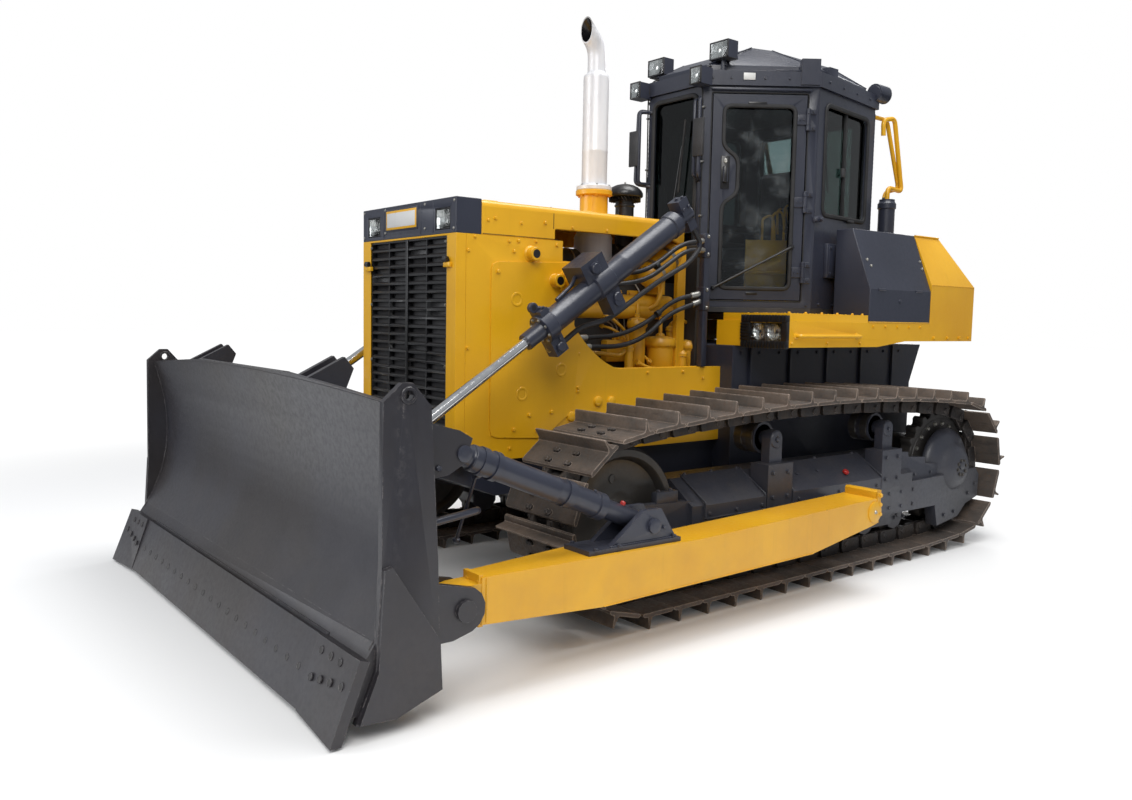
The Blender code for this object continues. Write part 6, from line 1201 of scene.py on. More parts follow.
def makeExhaust():
    s = stackSizes
    shape = Shape("exhaustStack").paint("stack")
    shape.turned(((3.10, 0.050), (3.100, 0.0565), (3.086, 0.061), (3.078, 0.074), (3.070, 0.0795), (3.058, 0.0800),
                  (2.62, 0.0800), (2.614, 0.0812), (2.604, 0.0812), (2.598, 0.0800), (2.402, 0.0800), (2.399, 0.0830),
                  (2.394, 0.1080), (2.390, 0.1120), (2.370, 0.1120), (2.366, 0.1090), (2.366, 0.080), (2.136, 0.080),
                  (2.136, 0.060), (2.132, 0.080), (2.112, 0.104), (2.072, 0.1215), (1.930, 0.1220), (1.888, 0.108),
                  (1.864, 0.070), (1.860, 0.050), (1.8005, 0.050)), (0, s["y"], 0), (0, 0, 1), 72)
    # seams of the silencer and the pipe's long weld
    for z in (2.068, 1.934):
        shape.turned(((z - 0.004, 0.118), (z - 0.004, 0.1232), (z + 0.004, 0.1232), (z + 0.004, 0.118)), (0, s["y"], 0),
                     (0, 0, 1), 56)
    shape.weld((-0.0565, s["y"] - 0.0565, 2.42), (-0.0565, s["y"] - 0.0565, 3.05), 0.0016, step=0.02)
    # elbow with an upright cut: each wall point is stopped at the cut's plane
    knee = Vector((0, s["y"], s["knee"]))
    lean = Vector((0, -1, 1)).normalized()
    path = softRoute(((0, s["y"], s["from"]), knee, knee + lean * 0.32), s["bend"], 10)
    outer, inner = [], []
    for radius, rings in ((s["neck"], outer), (s["neck"] - s["wall"], inner)):
        for i, here in enumerate(path):
            along = (path[min(i + 1, len(path) - 1)] - path[max(i - 1, 0)]).normalized()
            up = along.cross(Vector((1, 0, 0))).normalized()
            ring = []
            for k in range(s["sides"]):
                angle = 2 * math.pi * k / s["sides"]
                point = here + Vector((1, 0, 0)) * radius * math.cos(angle) + up * radius * math.sin(angle)
                if point.y < s["cut"]:
                    point -= lean * ((point.y - s["cut"]) / lean.y)
                ring.append(point)
            rings.append(ring)
    shape.rings(outer)
    shape.faces.pop()
    shape.slots.pop()
    shape.rings([outer[-1], inner[-1]])
    for _ in range(2):
        shape.faces.pop()
        shape.slots.pop()
    shape.paint("black").rings(inner[::-1])
    shape.faces.pop(-2)
    shape.slots.pop()
    shape.paint("zinc").boltRing((0, s["y"], 2.392), "xy", (0, 0, 1), s["boltCircle"], 6, 0.0085)
    made = shape.finish()
    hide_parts("exhaust_stack")
    # yellow stub's round skin and clamp
    stub = Shape("exhaustStub").paint("yellow")
    stub.turned(((2.150, 0.0895), (2.168, 0.0895), (2.172, 0.0889), (2.335, 0.0889), (2.3352, 0.1120), (2.338, 0.1155),
                 (2.362, 0.1155), (2.3652, 0.1120), (2.3652, 0.090)), (0, s["y"], 0), (0, 0, 1), 72)
    stub.weld((0.0640, s["y"] - 0.0640, 2.18), (0.0640, s["y"] - 0.0640, 2.33), 0.003)
    stub.boltRing((0, s["y"], 2.3352), "xy", (0, 0, -1), s["boltCircle"], 6, 0.0085)
    stub.finish()


def makeAirDuct():
    # filter housing and turbo duct that fill the space under the hood
    shape = Shape("airDuct").paint("cast")
    shape.turned(((-0.088, 0.06), (-0.088, 0.108), (-0.080, 0.116), (-0.050, 0.116), (-0.046, 0.110), (0.240, 0.110),
                  (0.244, 0.116), (0.274, 0.116), (0.282, 0.108), (0.282, 0.05)), (0, 0, 1.930), (0, 1, 0), 48)
    shape.box((-0.115, -0.080, 1.802), (0.115, 0.270, 1.900), 0.010)
    shape.turned(((-0.930, 0.06), (-0.930, 0.088), (-0.920, 0.092), (-0.360, 0.092), (-0.352, 0.088), (-0.352, 0.05)),
                 (-0.02, 0, 1.905), (0, 1, 0), 40)
    shape.box((-0.090, -0.915, 1.802), (0.060, -0.365, 1.880), 0.010)
    for y in (-0.84, -0.62, -0.42):
        shape.paint("zinc").turned(((y - 0.007, 0.090), (y - 0.007, 0.0950), (y + 0.007, 0.0950), (y + 0.007, 0.090)),
                                   (-0.02, 0, 1.905), (0, 1, 0), 40)
    shape.paint("cast").tube(((0, 0.045, 2.165), (0, 0.045, 2.02)), 0.060, reach=0.01, sides=32)
    shape.finish()


def makePreCleaner():
    shape = Shape("preCleaner").paint("black")
    profile = ((2.1655, 0.040), (2.1655, 0.074), (2.170, 0.078), (2.190, 0.078), (2.196, 0.072), (2.196, 0.060),
               (2.285, 0.060), (2.290, 0.066), (2.300, 0.066), (2.304, 0.060), (2.352, 0.060), (2.350, 0.112),
               (2.3535, 0.1165), (2.362, 0.1180), (2.376, 0.1175), (2.395, 0.106), (2.413, 0.086), (2.4255, 0.060),
               (2.4325, 0.032), (2.4350, 0.012), (2.4350, 0.002))
    shape.turned(profile, (0, 0.045, 0), (0, 0, 1), 64)
    # intake vanes under the dome, band clamp, wing nut
    for i in range(28):
        a = 2 * math.pi * i / 28
        turn = Matrix.Rotation(a, 3, "Z") @ Matrix.Rotation(math.radians(34), 3, "X")
        shape.box((-0.018, -0.001, -0.016), (0.018, 0.001, 0.016), 0.0006, turn,
                  (0.086 * math.cos(a), 0.045 + 0.086 * math.sin(a), 2.334))
    shape.paint("zinc").turned(((2.215, 0.0600), (2.215, 0.0625), (2.227, 0.0625), (2.227, 0.0600)), (0, 0.045, 0),
                               (0, 0, 1), 48)
    shape.bolt((0.0625, 0.045, 2.221), (1, 0, 0), 0.006)
    shape.turned(((2.434, 0.006), (2.446, 0.006), (2.449, 0.003)), (0, 0.045, 0), (0, 0, 1), 12)
    made = shape.finish()
    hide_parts("pre_cleaner")


hoseRoutes = (
    ((0.42, -0.66, 1.45), (0.42, -0.337, 1.465), (0.42, -0.10, 1.555), (0.43, 0.09, 1.69), (0.513, 0.267, 1.735)),
    ((0.455, -0.66, 1.40), (0.455, -0.36, 1.40), (0.455, -0.16, 1.46), (0.455, 0.02, 1.60), (0.513, 0.267, 1.69)),
    ((0.30, -0.50, 1.84), (0.53, -0.30, 1.835), (0.53, -0.15, 1.90), (0.53, 0.05, 2.03), (0.520, 0.267, 2.06)),
    ((0.35, -0.60, 1.76), (0.56, -0.46, 1.76), (0.565, -0.26, 1.80), (0.56, 0.06, 1.99), (0.520, 0.267, 2.00)),
)
hoseSizes = {"radius": 0.0142, "ferrule": 0.0185, "nut": 0.020}


def makeHoses(side, tag):
    shape = Shape("hoses" + tag, "machine", side)
    s = hoseSizes
    for route in hoseRoutes:
        shape.paint("hose").tube(route, s["radius"], reach=0.11, sides=18, steps=8)
        last, before = Vector(route[-1]), Vector(route[-2])
        run = (last - before).normalized()
        shape.paint("zinc").rod(last - run * 0.085, last - run * 0.030, s["ferrule"], 20, edge=0.003)
        shape.turned(((-0.034, s["nut"]), (-0.012, s["nut"]), (-0.008, s["nut"] * 0.85)), last, run, 6)
        first, after = Vector(route[0]), Vector(route[1])
        run = (after - first).normalized()
        shape.rod(first, first + run * 0.06, s["ferrule"], 20, edge=0.003)
    # post with its clamps and plate
    shape.paint("slate").box((0.492, 0.245, 1.2735), (0.535, 0.290, 2.10), 0.004)
    for z in (1.70, 2.03):
        shape.box((0.480, 0.238, z - 0.075), (0.543, 0.296, z + 0.072), 0.006)
        shape.paint("zinc").bolts([(0.5425, 0.267, z + hand * 0.055) for hand in (-1, 1)], (1, 0, 0), 0.009)
        shape.paint("slate")
    for y, z in ((-0.16, 1.885), (-0.05, 1.60)):
        shape.paint("rubber").turned(((-0.014, 0.012), (-0.014, 0.021), (0.014, 0.021), (0.014, 0.012)),
                                     (0.53 if z > 1.8 else 0.437, y, z), (0, 0.86, 0.5), 20)
    made = shape.finish()
    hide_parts(f"hoses_{tag.lower()}")


# Engine bay: what hangs on the block
cans = ((-0.122, 0.053, 1.565), (0.08, 0.086, 1.45), (0.334, 0.066, 1.43))  # y, radius, top
canSizes = {"x": 0.33, "foot": 1.2005, "lid": 1.16, "boltCircle": 0.86}
capsule = {"start": (0.335, -0.015, 1.845), "end": (0.335, 0.125, 1.965), "radius": 0.0886,
           "dome": (86, 70, 52, 34, 16, 0), "straps": (0.12, 0.85)}


def makeEngineSide(side, tag):
    shape = Shape("engineSide" + tag, "machine", side).paint("amber")
    for y, radius, top in cans:
        lid = radius * canSizes["lid"]
        low = canSizes["foot"]
        shape.turned(((low, radius * 0.7), (low, radius + 0.0007), (low + 0.012, radius + 0.0007),
                      (low + 0.016, radius - 0.002), (low + 0.03, radius - 0.002), (low + 0.034, radius + 0.0007),
                      (top - 0.052, radius + 0.0007), (top - 0.0505, lid + 0.0007), (top - 0.046, lid + 0.003),
                      (top - 0.024, lid + 0.003), (top - 0.019, lid + 0.0007), (top - 0.004, lid - 0.004),
                      (top + 0.004, lid * 0.72), (top + 0.010, lid * 0.30), (top + 0.022, lid * 0.28),
                      (top + 0.026, lid * 0.18)), (canSizes["x"], y, 0), (0, 0, 1), 48)
        shape.boltRing((canSizes["x"], y, top - 0.006), "xy", (0, 0, 1), lid * canSizes["boltCircle"], 6, 0.0075)
    # small neighbours of the cans, their pipes and unions
    for x, y, radius, low, top in ((0.395, 0.215, 0.030, 1.2005, 1.36), (0.385, -0.235, 0.026, 1.2005, 1.40),
                                   (0.30, 0.205, 0.034, 1.2005, 1.52)):
        shape.turned(((low, radius * 0.6), (low, radius), (top - 0.03, radius), (top - 0.028, radius * 1.2),
                      (top - 0.010, radius * 1.2), (top, radius * 0.8), (top + 0.012, radius * 0.35)), (x, y, 0),
                      (0, 0, 1), 32)
    pipes = (
        (0.011, ((0.33, -0.122, 1.58), (0.33, -0.122, 1.66), (0.26, -0.02, 1.70), (0.24, 0.05, 1.70))),
        (0.012, ((0.33, 0.08, 1.46), (0.33, 0.08, 1.56), (0.25, 0.16, 1.60), (0.20, 0.16, 1.60))),
        (0.010, ((0.33, 0.334, 1.44), (0.33, 0.334, 1.54), (0.36, 0.20, 1.58), (0.30, 0.205, 1.53))),
        (0.014, ((0.24, -0.60, 1.36), (0.37, -0.50, 1.36), (0.37, -0.28, 1.34), (0.385, -0.235, 1.41))),
        (0.009, ((0.24, -0.42, 1.60), (0.35, -0.36, 1.58), (0.35, -0.22, 1.48), (0.33, -0.17, 1.30))),
        (0.009, ((0.24, -0.34, 1.52), (0.32, -0.30, 1.50), (0.34, -0.19, 1.42), (0.38, -0.05, 1.30))),
        (0.016, ((0.27, -0.05, 1.62), (0.35, 0.02, 1.64), (0.36, 0.06, 1.78), (0.335, 0.05, 1.87))),
        (0.011, ((0.445, 0.18, 1.25), (0.43, 0.05, 1.26), (0.42, -0.08, 1.26), (0.40, -0.18, 1.30))),
    )
    for radius, route in pipes:
        shape.tube(route, radius, reach=0.06, sides=14, steps=6)
        for end, near in ((route[0], route[1]), (route[-1], route[-2])):
            run = (Vector(near) - Vector(end)).normalized()
            shape.turned(((-0.004, radius * 1.7), (0.016, radius * 1.7), (0.019, radius * 1.4)), end, run, 6)
    # manifold: round skin, flanges to the head, bolts
    shape.turned(((-0.782, 0.030), (-0.782, 0.050), (-0.776, 0.0556), (0.196, 0.0556), (0.202, 0.050), (0.202, 0.030)),
                 (0.27, 0, 1.62), (0, 1, 0), 40)
    for i in range(6):
        y = -0.70 + 0.155 * i
        shape.turned(((0, 0.040), (0.030, 0.040), (0.060, 0.034), (0.075, 0.034)), (0.195, y, 1.70), (0.75, 0, -0.66),
                     24)
        shape.box((0.200, y - 0.052, 1.668), (0.252, y + 0.052, 1.742), 0.006)
        for hand in (-1, 1):
            shape.bolt((0.2515, y + 0.040 * hand, 1.725), (1, 0, 0), 0.0085)
    # valve covers, rocker bolts, injector lines
    for i in range(6):
        y = -0.78 + 0.165 * i
        shape.box((0.030, y - 0.070, 1.798), (0.215, y + 0.070, 1.848), 0.012)
        shape.bolt((0.122, y, 1.8475), (0, 0, 1), 0.010)
        shape.paint("zinc").tube(((0.205, y + 0.02, 1.80), (0.262, y + 0.02, 1.80), (0.272, y + 0.08, 1.72),
                                  (0.256, -0.25 + 0.03 * i, 1.52), (0.262, -0.25 + 0.03 * i, 1.44)), 0.0045, reach=0.04,
                                  sides=8, steps=5)
        shape.paint("amber")
    # fuel pump, starter, oil pan ribs and the block's side covers
    shape.box((0.238, -0.34, 1.30), (0.300, -0.02, 1.435), 0.012)
    for i in range(6):
        shape.turned(((1.434, 0.013), (1.452, 0.013), (1.456, 0.009)), (0.262, -0.25 + 0.03 * i, 0), (0, 0, 1), 6)
    shape.turned(((-0.42, 0.03), (-0.42, 0.052), (-0.41, 0.056), (-0.20, 0.056), (-0.19, 0.045), (-0.13, 0.045),
                  (-0.12, 0.03)), (0.300, 0, 1.075), (0, 1, 0), 32)
    shape.paint("cast")
    for y in (-0.78, -0.56, -0.34, -0.12, 0.10):
        shape.box((0.236, y - 0.085, 0.98), (0.252, y + 0.085, 1.22), 0.006)
        shape.bolts([(0.2515, y + 0.065 * a, 1.10 + 0.095 * b) for a in (-1, 1) for b in (-1, 1)], (1, 0, 0), 0.0085)
    # capsule tank: round skin, straps, neck
    shape.paint("amber")
    start, end, radius = Vector(capsule["start"]), Vector(capsule["end"]), capsule["radius"]
    run, long = (end - start).normalized(), (end - start).length
    dome = [math.radians(a) for a in capsule["dome"]]
    profile = [(-radius * math.sin(a), radius * math.cos(a)) for a in dome]
    profile += [(long + radius * math.sin(a), radius * math.cos(a)) for a in reversed(dome)]
    shape.turned(profile, start, run, 48)
    for share in capsule["straps"]:
        at = long * share
        shape.paint("zinc").turned(((at - 0.012, 0.086), (at - 0.012, 0.0905), (at + 0.012, 0.0905),
                                    (at + 0.012, 0.086)), start, run, 48)
    shape.paint("amber").turned(((long * 0.5, 0.02), (long * 0.5 + 0.02, 0.02)), start + Vector((0.0, 0.0, 0.06)), run,
                                16)
    # dark inner wall that closes the view through the bay, a sheet of painted shade, and the fan's shroud
    shape.paint("cast").box((0.010, 0.300, 1.20), (0.420, 0.330, 2.04), 0.006)
    shape.box((0.010, -0.990, 0.98), (0.470, -0.962, 1.90), 0.006)
    shape.finish()


# Cab walls: corners of the plan, and places on one wall (u along it, v up, w outwards)
plan = ((-0.25, 0.48), (0.25, 0.48), (0.72, 1.08), (0.59, 1.90), (-0.59, 1.90), (-0.72, 1.08))
frontWall, doorWall, quarterWall, rearWall = range(4)


def wallAxes(index):
    start = Vector((*plan[index], 0))
    along = (Vector((*plan[(index + 1) % 6], 0)) - start)
    return start, along.normalized(), Vector((along.y, -along.x, 0)).normalized(), along.length


def onWall(index, u, v, w=0.0):
    start, along, out, _ = wallAxes(index)
    return start + along * u + out * w + Vector((0, 0, v))


def wallBox(shape, index, low, high, edge=0.003):
    # a box in a wall's own directions
    _, along, out, _ = wallAxes(index)
    turn = Matrix((along, Vector((0, 0, 1)), out)).transposed()
    size = [(b - a) / 2 for a, b in zip(low, high)]
    middle = onWall(index, *[(a + b) / 2 for a, b in zip(low, high)])
    return shape.box([-s for s in size], size, edge, turn, middle)


def roundedLoop(low, high, radius, steps=6):
    points = []
    for x, y, start in ((high[0] - radius, low[1] + radius, -90), (high[0] - radius, high[1] - radius, 0),
                        (low[0] + radius, high[1] - radius, 90), (low[0] + radius, low[1] + radius, 180)):
        for i in range(steps + 1):
            a = math.radians(start + 90 * i / steps)
            points.append((x + radius * math.cos(a), y + radius * math.sin(a)))
    return points


def seal(shape, index, loop, w=0.0015, wide=0.015, high=0.008):
    # a rubber strip round a pane: wide along the wall, crowned outwards
    count = len(loop)
    rings = []
    section = ((-1, -0.4), (-1, 0.35), (-0.62, 0.9), (0, 1.0), (0.62, 0.9), (1, 0.35), (1, -0.4))
    for i, (u, v) in enumerate(loop):
        before, after = Vector(loop[i - 1]), Vector(loop[(i + 1) % count])
        run = (after - before).normalized()
        across = Vector((run.y, -run.x))
        ring = []
        for a, b in section:
            ring.append(onWall(index, u + across.x * a * wide / 2, v + across.y * a * wide / 2, w + b * high))
        rings.append(ring)
    return shape.rings(rings, closed=True)


doorSizes = {"from": 0.065, "to": 0.070, "low": 1.70, "high": 3.045, "rim": 0.075, "gap": 0.006, "notch": 0.10,
             "notchLow": 2.33, "notchHigh": 2.70, "slope": 0.07, "round": 0.05}
hingeHeights = (1.89, 2.35, 2.88)


def doorLoop(margin):
    d = doorSizes
    length = wallAxes(doorWall)[3]
    reach = d["gap"] + d["rim"] + margin
    start, end, low, high = d["from"] + reach, length - d["to"] - reach, d["low"] + reach, d["high"] - reach
    deep = start + d["notch"]
    foot, head = d["notchLow"] - margin / 2, d["notchHigh"] + margin / 2
    corners = [(start, low), (end, low), (end, high), (start, high), (start, head), (deep, head - d["slope"]),
               (deep, foot + d["slope"]), (start, foot)]
    points = []
    for i, corner in enumerate(corners):
        here = Vector(corner)
        before = (Vector(corners[i - 1]) - here).normalized() * d["round"]
        after = (Vector(corners[(i + 1) % len(corners)]) - here).normalized() * d["round"]
        for step in range(6):
            t = step / 5
            points.append(tuple((here + before) * (1 - t) ** 2 + here * (2 * t * (1 - t)) + (here + after) * t * t))
    return points


def makeCabSide(side, tag):
    length = wallAxes(doorWall)[3]
    long = wallAxes(quarterWall)[3]
    shape = Shape("cabSideFittings" + tag, "machine", side).paint("rubber")
    seal(shape, quarterWall, roundedLoop((0.10, 2.28), (long - 0.10, 3.00), 0.05), wide=0.030, high=0.010)
    seal(shape, quarterWall, roundedLoop((0.10, 2.28), (long - 0.10, 3.00), 0.05), w=-0.050, wide=0.024, high=-0.006)
    # sliding pane's divider with its catch, sill rail
    wallBox(shape, quarterWall, (0.405, 2.286, -0.034), (0.425, 2.994, -0.004), 0.003)
    wallBox(shape, quarterWall, (0.108, 2.284, -0.036), (long - 0.108, 2.300, -0.006), 0.003)
    shape.paint("plastic")
    wallBox(shape, quarterWall, (0.455, 2.258, 0.000), (0.530, 2.276, 0.024), 0.005)
    wallBox(shape, quarterWall, (0.360, 2.56, -0.012), (0.398, 2.62, 0.004), 0.004)
    shape.paint("slate")
    # latch stop that holds the open door, box below the window with its strap, box step
    wallBox(shape, quarterWall, (-0.02, 2.225, -0.002), (0.050, 2.262, 0.038), 0.006)
    shape.rod(onWall(quarterWall, 0.015, 2.243, 0.034), onWall(quarterWall, 0.015, 2.243, 0.058), 0.014, 20, edge=0.004)
    wallBox(shape, quarterWall, (0.150, 1.865, -0.002), (0.540, 2.095, 0.030), 0.012)
    wallBox(shape, quarterWall, (0.165, 1.880, 0.028), (0.525, 2.080, 0.034), 0.004)
    for u in (0.180, 0.510):
        for v in (1.895, 2.065):
            shape.bolt(onWall(quarterWall, u, v, 0.0335), wallAxes(quarterWall)[2], 0.008)
    # door frame: rain gutter, outer seal, hinge skins, corner post beads
    shape.paint("rubber")
    seal(shape, doorWall, roundedLoop((0.062, 1.697), (length - 0.067, 3.048), 0.012, 3), w=-0.001, wide=0.008,
         high=0.005)
    shape.paint("slate")
    wallBox(shape, doorWall, (0.055, 3.060, -0.002), (length - 0.055, 3.076, 0.020), 0.003)
    out = wallAxes(doorWall)[2]
    hinge = length - doorSizes["to"]
    for v in hingeHeights:
        for low, high in ((-0.070, -0.0353), (0.0353, 0.070)):
            shape.rod(onWall(doorWall, hinge, v + low, 0.016), onWall(doorWall, hinge, v + high, 0.016), 0.0146, 24,
                      edge=0.002)
            shape.bolt(onWall(doorWall, hinge + 0.034, v + (low + high) / 2, 0.0128), out, 0.0065)
    for index, u in ((doorWall, 0.0), (quarterWall, 0.0), (quarterWall, long)):
        place = onWall(index, u, 0, 0)
        shape.weld((place.x, place.y, 1.70), (place.x, place.y, 3.06), 0.0035, step=0.03)
    wallBox(shape, doorWall, (0.256, 3.122, 0.0195), (0.338, 3.172, 0.0225), 0.001)
    shape.paint("blank")
    wallBox(shape, doorWall, (0.259, 3.125, 0.0215), (0.335, 3.169, 0.0235), 0.0008)
    shape.paint("slate")
    # bolts along the cab's foot and on its feet
    for u in (0.10, 0.30, 0.50, 0.70):
        shape.bolt(onWall(quarterWall, u, 1.685, -0.0005), wallAxes(quarterWall)[2], 0.009)
    for u in (0.03, 0.73):
        shape.bolt(onWall(doorWall, u, 1.675, -0.0005), out, 0.008)
    # hand rail's round skin and its feet; the rail itself stands beside the front post
    rail = ((0.215, 0.500, 2.985), (0.290, 0.415, 3.000), (0.300, 0.405, 2.500), (0.215, 0.500, 2.480))
    shape.tube(rail, 0.0127, reach=0.035, sides=18, steps=6)
    # mirror on the rail
    shape.paint("plastic").box((0.262, 0.385, 2.62), (0.352, 0.401, 2.86), 0.010)
    shape.paint("mirror").box((0.270, 0.4005, 2.63), (0.344, 0.4025, 2.85), 0.004)
    shape.finish()
    # what turns with the door: seal, handle, strut, knuckles
    leaf = Shape("doorFittings" + tag, sideBody("door", side), side).paint("rubber")
    seal(leaf, doorWall, doorLoop(0.0), wide=0.026, high=0.010)
    seal(leaf, doorWall, doorLoop(0.0), w=-0.050, wide=0.022, high=-0.005)
    leaf.paint("black")
    grip = doorSizes["from"] + doorSizes["gap"] + doorSizes["rim"]
    wallBox(leaf, doorWall, (grip - 0.012, 2.430, 0.000), (grip + 0.044, 2.640, 0.010), 0.005)
    wallBox(leaf, doorWall, (grip + 0.002, 2.466, 0.006), (grip + 0.028, 2.574, 0.0362), 0.008)
    leaf.paint("zinc").turned(((0.009, 0.013), (0.014, 0.013), (0.016, 0.010), (0.0155, 0.003)),
                              onWall(doorWall, grip + 0.015, 2.608, 0), out, 24)
    leaf.paint("slate")
    for v in hingeHeights:
        leaf.rod(onWall(doorWall, hinge, v - 0.0345, 0.016), onWall(doorWall, hinge, v + 0.0345, 0.016), 0.0146, 24,
                 edge=0.002)
        for u in (hinge - 0.028, hinge - 0.052):
            leaf.bolt(onWall(doorWall, u, v, 0.0128), out, 0.0065)
    # the stay bar across the glass, from its lug near the foot to the hinge side
    leaf.paint("black").rod(onWall(doorWall, 0.112, 1.785, 0.022), onWall(doorWall, 0.612, 2.055, 0.022), 0.0085, 16)
    for u, v in ((0.105, 1.781), (0.618, 2.058)):
        leaf.turned(((-0.002, 0.014), (0.024, 0.014), (0.030, 0.010), (0.030, 0.003)), onWall(doorWall, u, v, 0), out,
                    20)
    wallBox(leaf, doorWall, (0.325, 1.742, 0.000), (0.400, 1.757, 0.012), 0.003)
    wallBox(leaf, doorWall, (0.300, 2.972, 0.000), (0.420, 2.990, 0.010), 0.003)
    leaf.finish()


def makeCabFront():
    shape = Shape("cabFrontFittings").paint("rubber")
    seal(shape, frontWall, roundedLoop((0.045, 1.98), (0.455, 3.04), 0.05), wide=0.030, high=0.010)
    seal(shape, rearWall, roundedLoop((0.16, 2.28), (1.02, 3.00), 0.05), wide=0.030, high=0.010)
    # wipers with their arms and motors, front and rear
    for index, foot, tip in ((frontWall, (0.25, 1.995), (0.34, 2.72)), (rearWall, (0.59, 2.300), (0.42, 2.84))):
        out = wallAxes(index)[2]
        shape.paint("black").turned(((-0.002, 0.020), (0.014, 0.020), (0.020, 0.014), (0.026, 0.006)),
                                    onWall(index, *foot, 0.008), out, 24)
        shape.tube((onWall(index, *foot, 0.026), onWall(index, foot[0], foot[1] + 0.12, 0.030),
                    onWall(index, *tip, 0.016)), 0.0055, reach=0.05, sides=10)
        shape.paint("rubber").rod(onWall(index, tip[0] - 0.03, tip[1] - 0.30, 0.010),
                                  onWall(index, tip[0] + 0.02, tip[1] + 0.17, 0.010), 0.0075, 10)
    shape.finish()


def lamp(shape, low, high, way):
    # a square work lamp: rim, bowl and fluted lens on the face that looks along way
    front = low[1] if way < 0 else high[1]
    middle = ((low[0] + high[0]) / 2, front, (low[2] + high[2]) / 2)
    wide, tall = (high[0] - low[0]) / 2, (high[2] - low[2]) / 2
    for a, b in (((-wide, -tall), (-wide + 0.008, tall)), ((wide - 0.008, -tall), (wide, tall)),
                 ((-wide, tall - 0.008), (wide, tall)), ((-wide, -tall), (wide, -tall + 0.008))):
        ys = sorted((front - 0.002 * way, front + 0.009 * way))
        shape.paint("plastic").box((middle[0] + a[0], ys[0], middle[2] + a[1]),
                                   (middle[0] + b[0], ys[1], middle[2] + b[1]), 0.002)
    ys = sorted((front, front + 0.0025 * way))
    shape.paint("mirror").box((middle[0] - wide + 0.008, ys[0], middle[2] - tall + 0.008),
                              (middle[0] + wide - 0.008, ys[1], middle[2] + tall - 0.008), 0.001)
    bulb = (middle[0], front + 0.001 * way, middle[2])
    shape.turned(((0, 0.020), (0.003, 0.014), (0.004, 0.006)), bulb, (0, way, 0), 20)
    ys = sorted((front + 0.0045 * way, front + 0.007 * way))
    shape.paint("lens").box((middle[0] - wide + 0.006, ys[0], middle[2] - tall + 0.006),
                            (middle[0] + wide - 0.006, ys[1], middle[2] + tall - 0.006), 0.001)


def makeRoof(side, tag):
    shape = Shape("roofFittings" + tag, "machine", side)
    lamp(shape, (0.215, 0.575, 3.265), (0.375, 0.665, 3.378), -1)
    lamp(shape, (0.235, 0.375, 3.075), (0.335, 0.470, 3.185), -1)
    shape.paint("plastic").box((0.211, 0.590, 3.262), (0.379, 0.668, 3.2655), 0.001)
    # cable loop from the lamp down the corner post
    shape.paint("rubber").tube(((0.295, 0.655, 3.300), (0.295, 0.690, 3.250), (0.245, 0.600, 3.235),
                                (0.232, 0.478, 3.200), (0.236, 0.455, 3.110), (0.258, 0.470, 3.060),
                                (0.262, 0.479, 2.700), (0.262, 0.479, 1.760)), 0.0048, reach=0.05, sides=10, steps=6)
    shape.paint("zinc")
    for z in (2.95, 2.60, 2.25, 1.90):
        shape.box((0.252, 0.468, z - 0.006), (0.272, 0.490, z + 0.006), 0.002)
    # lamp stem's skin with its pinch bolt, small marker on the roof's rim, fin on the corner box
    shape.paint("slate").turned(((3.180, 0.030), (3.192, 0.030), (3.196, 0.0188), (3.268, 0.0188)), (0.295, 0.62, 0),
                                (0, 0, 1), 28)
    shape.bolt((0.3135, 0.62, 3.232), (1, 0, 0), 0.009)
    shape.turned(((3.1845, 0.018), (3.196, 0.018), (3.206, 0.012), (3.210, 0.004)), (0.612, 1.50, 0), (0, 0, 1), 24)
    wallBox(shape, doorWall, (0.470, 3.186, 0.004), (0.640, 3.193, 0.020), 0.002)
    # rear lamp: round skin and lens
    shape.turned(((-0.132, 0.030), (-0.132, 0.050), (-0.122, 0.058), (-0.100, 0.0608), (-0.010, 0.0608),
                  (0.0004, 0.0595), (0.0005, 0.050)),
                 (0.60, 1.99, 3.200), (0, 1, 0), 48)
    shape.paint("lens").turned(((0.0006, 0.049), (0.006, 0.045), (0.009, 0.034), (0.010, 0.010)), (0.60, 1.99, 3.200),
                               (0, 1, 0), 36)
    # cap panel seams and rivets
    shape.paint("slate")
    corners = [(0.315, 0.865, 3.3862), (0.360, 1.02, 3.3862), (0.360, 1.66, 3.3862)]
    foots = [(0.245, 0.536, 3.236), (0.664, 1.088, 3.236), (0.545, 1.846, 3.236)]
    for top, foot in zip(corners, foots):
        shape.weld(top, foot, 0.0040, step=0.03)
    for i in range(6):
        y = 1.10 + 0.115 * i
        shape.bolt((0.325, y, 3.3845), (0, 0, 1), 0.007)
    for u in (0.06, 0.18, 0.40, 0.56):
        shape.bolt(onWall(doorWall, u, 3.137, 0.0195), wallAxes(doorWall)[2], 0.0075)
    for u in (0.10, 0.30, 0.50, 0.70):
        shape.bolt(onWall(quarterWall, u, 3.137, 0.0195), wallAxes(quarterWall)[2], 0.0075)
    shape.finish()


# Fenders, side boxes, tank
# lamp guard on a fender's front: its corners and its opening's corners in x and z
lampGuard = {"low": (0.672, 1.402), "high": (1.034, 1.604), "inLow": (0.744, 1.447), "inHigh": (0.990, 1.561),
             "y": 0.460, "ribs": 15, "flutes": 15, "bowls": (0.808, 0.926)}


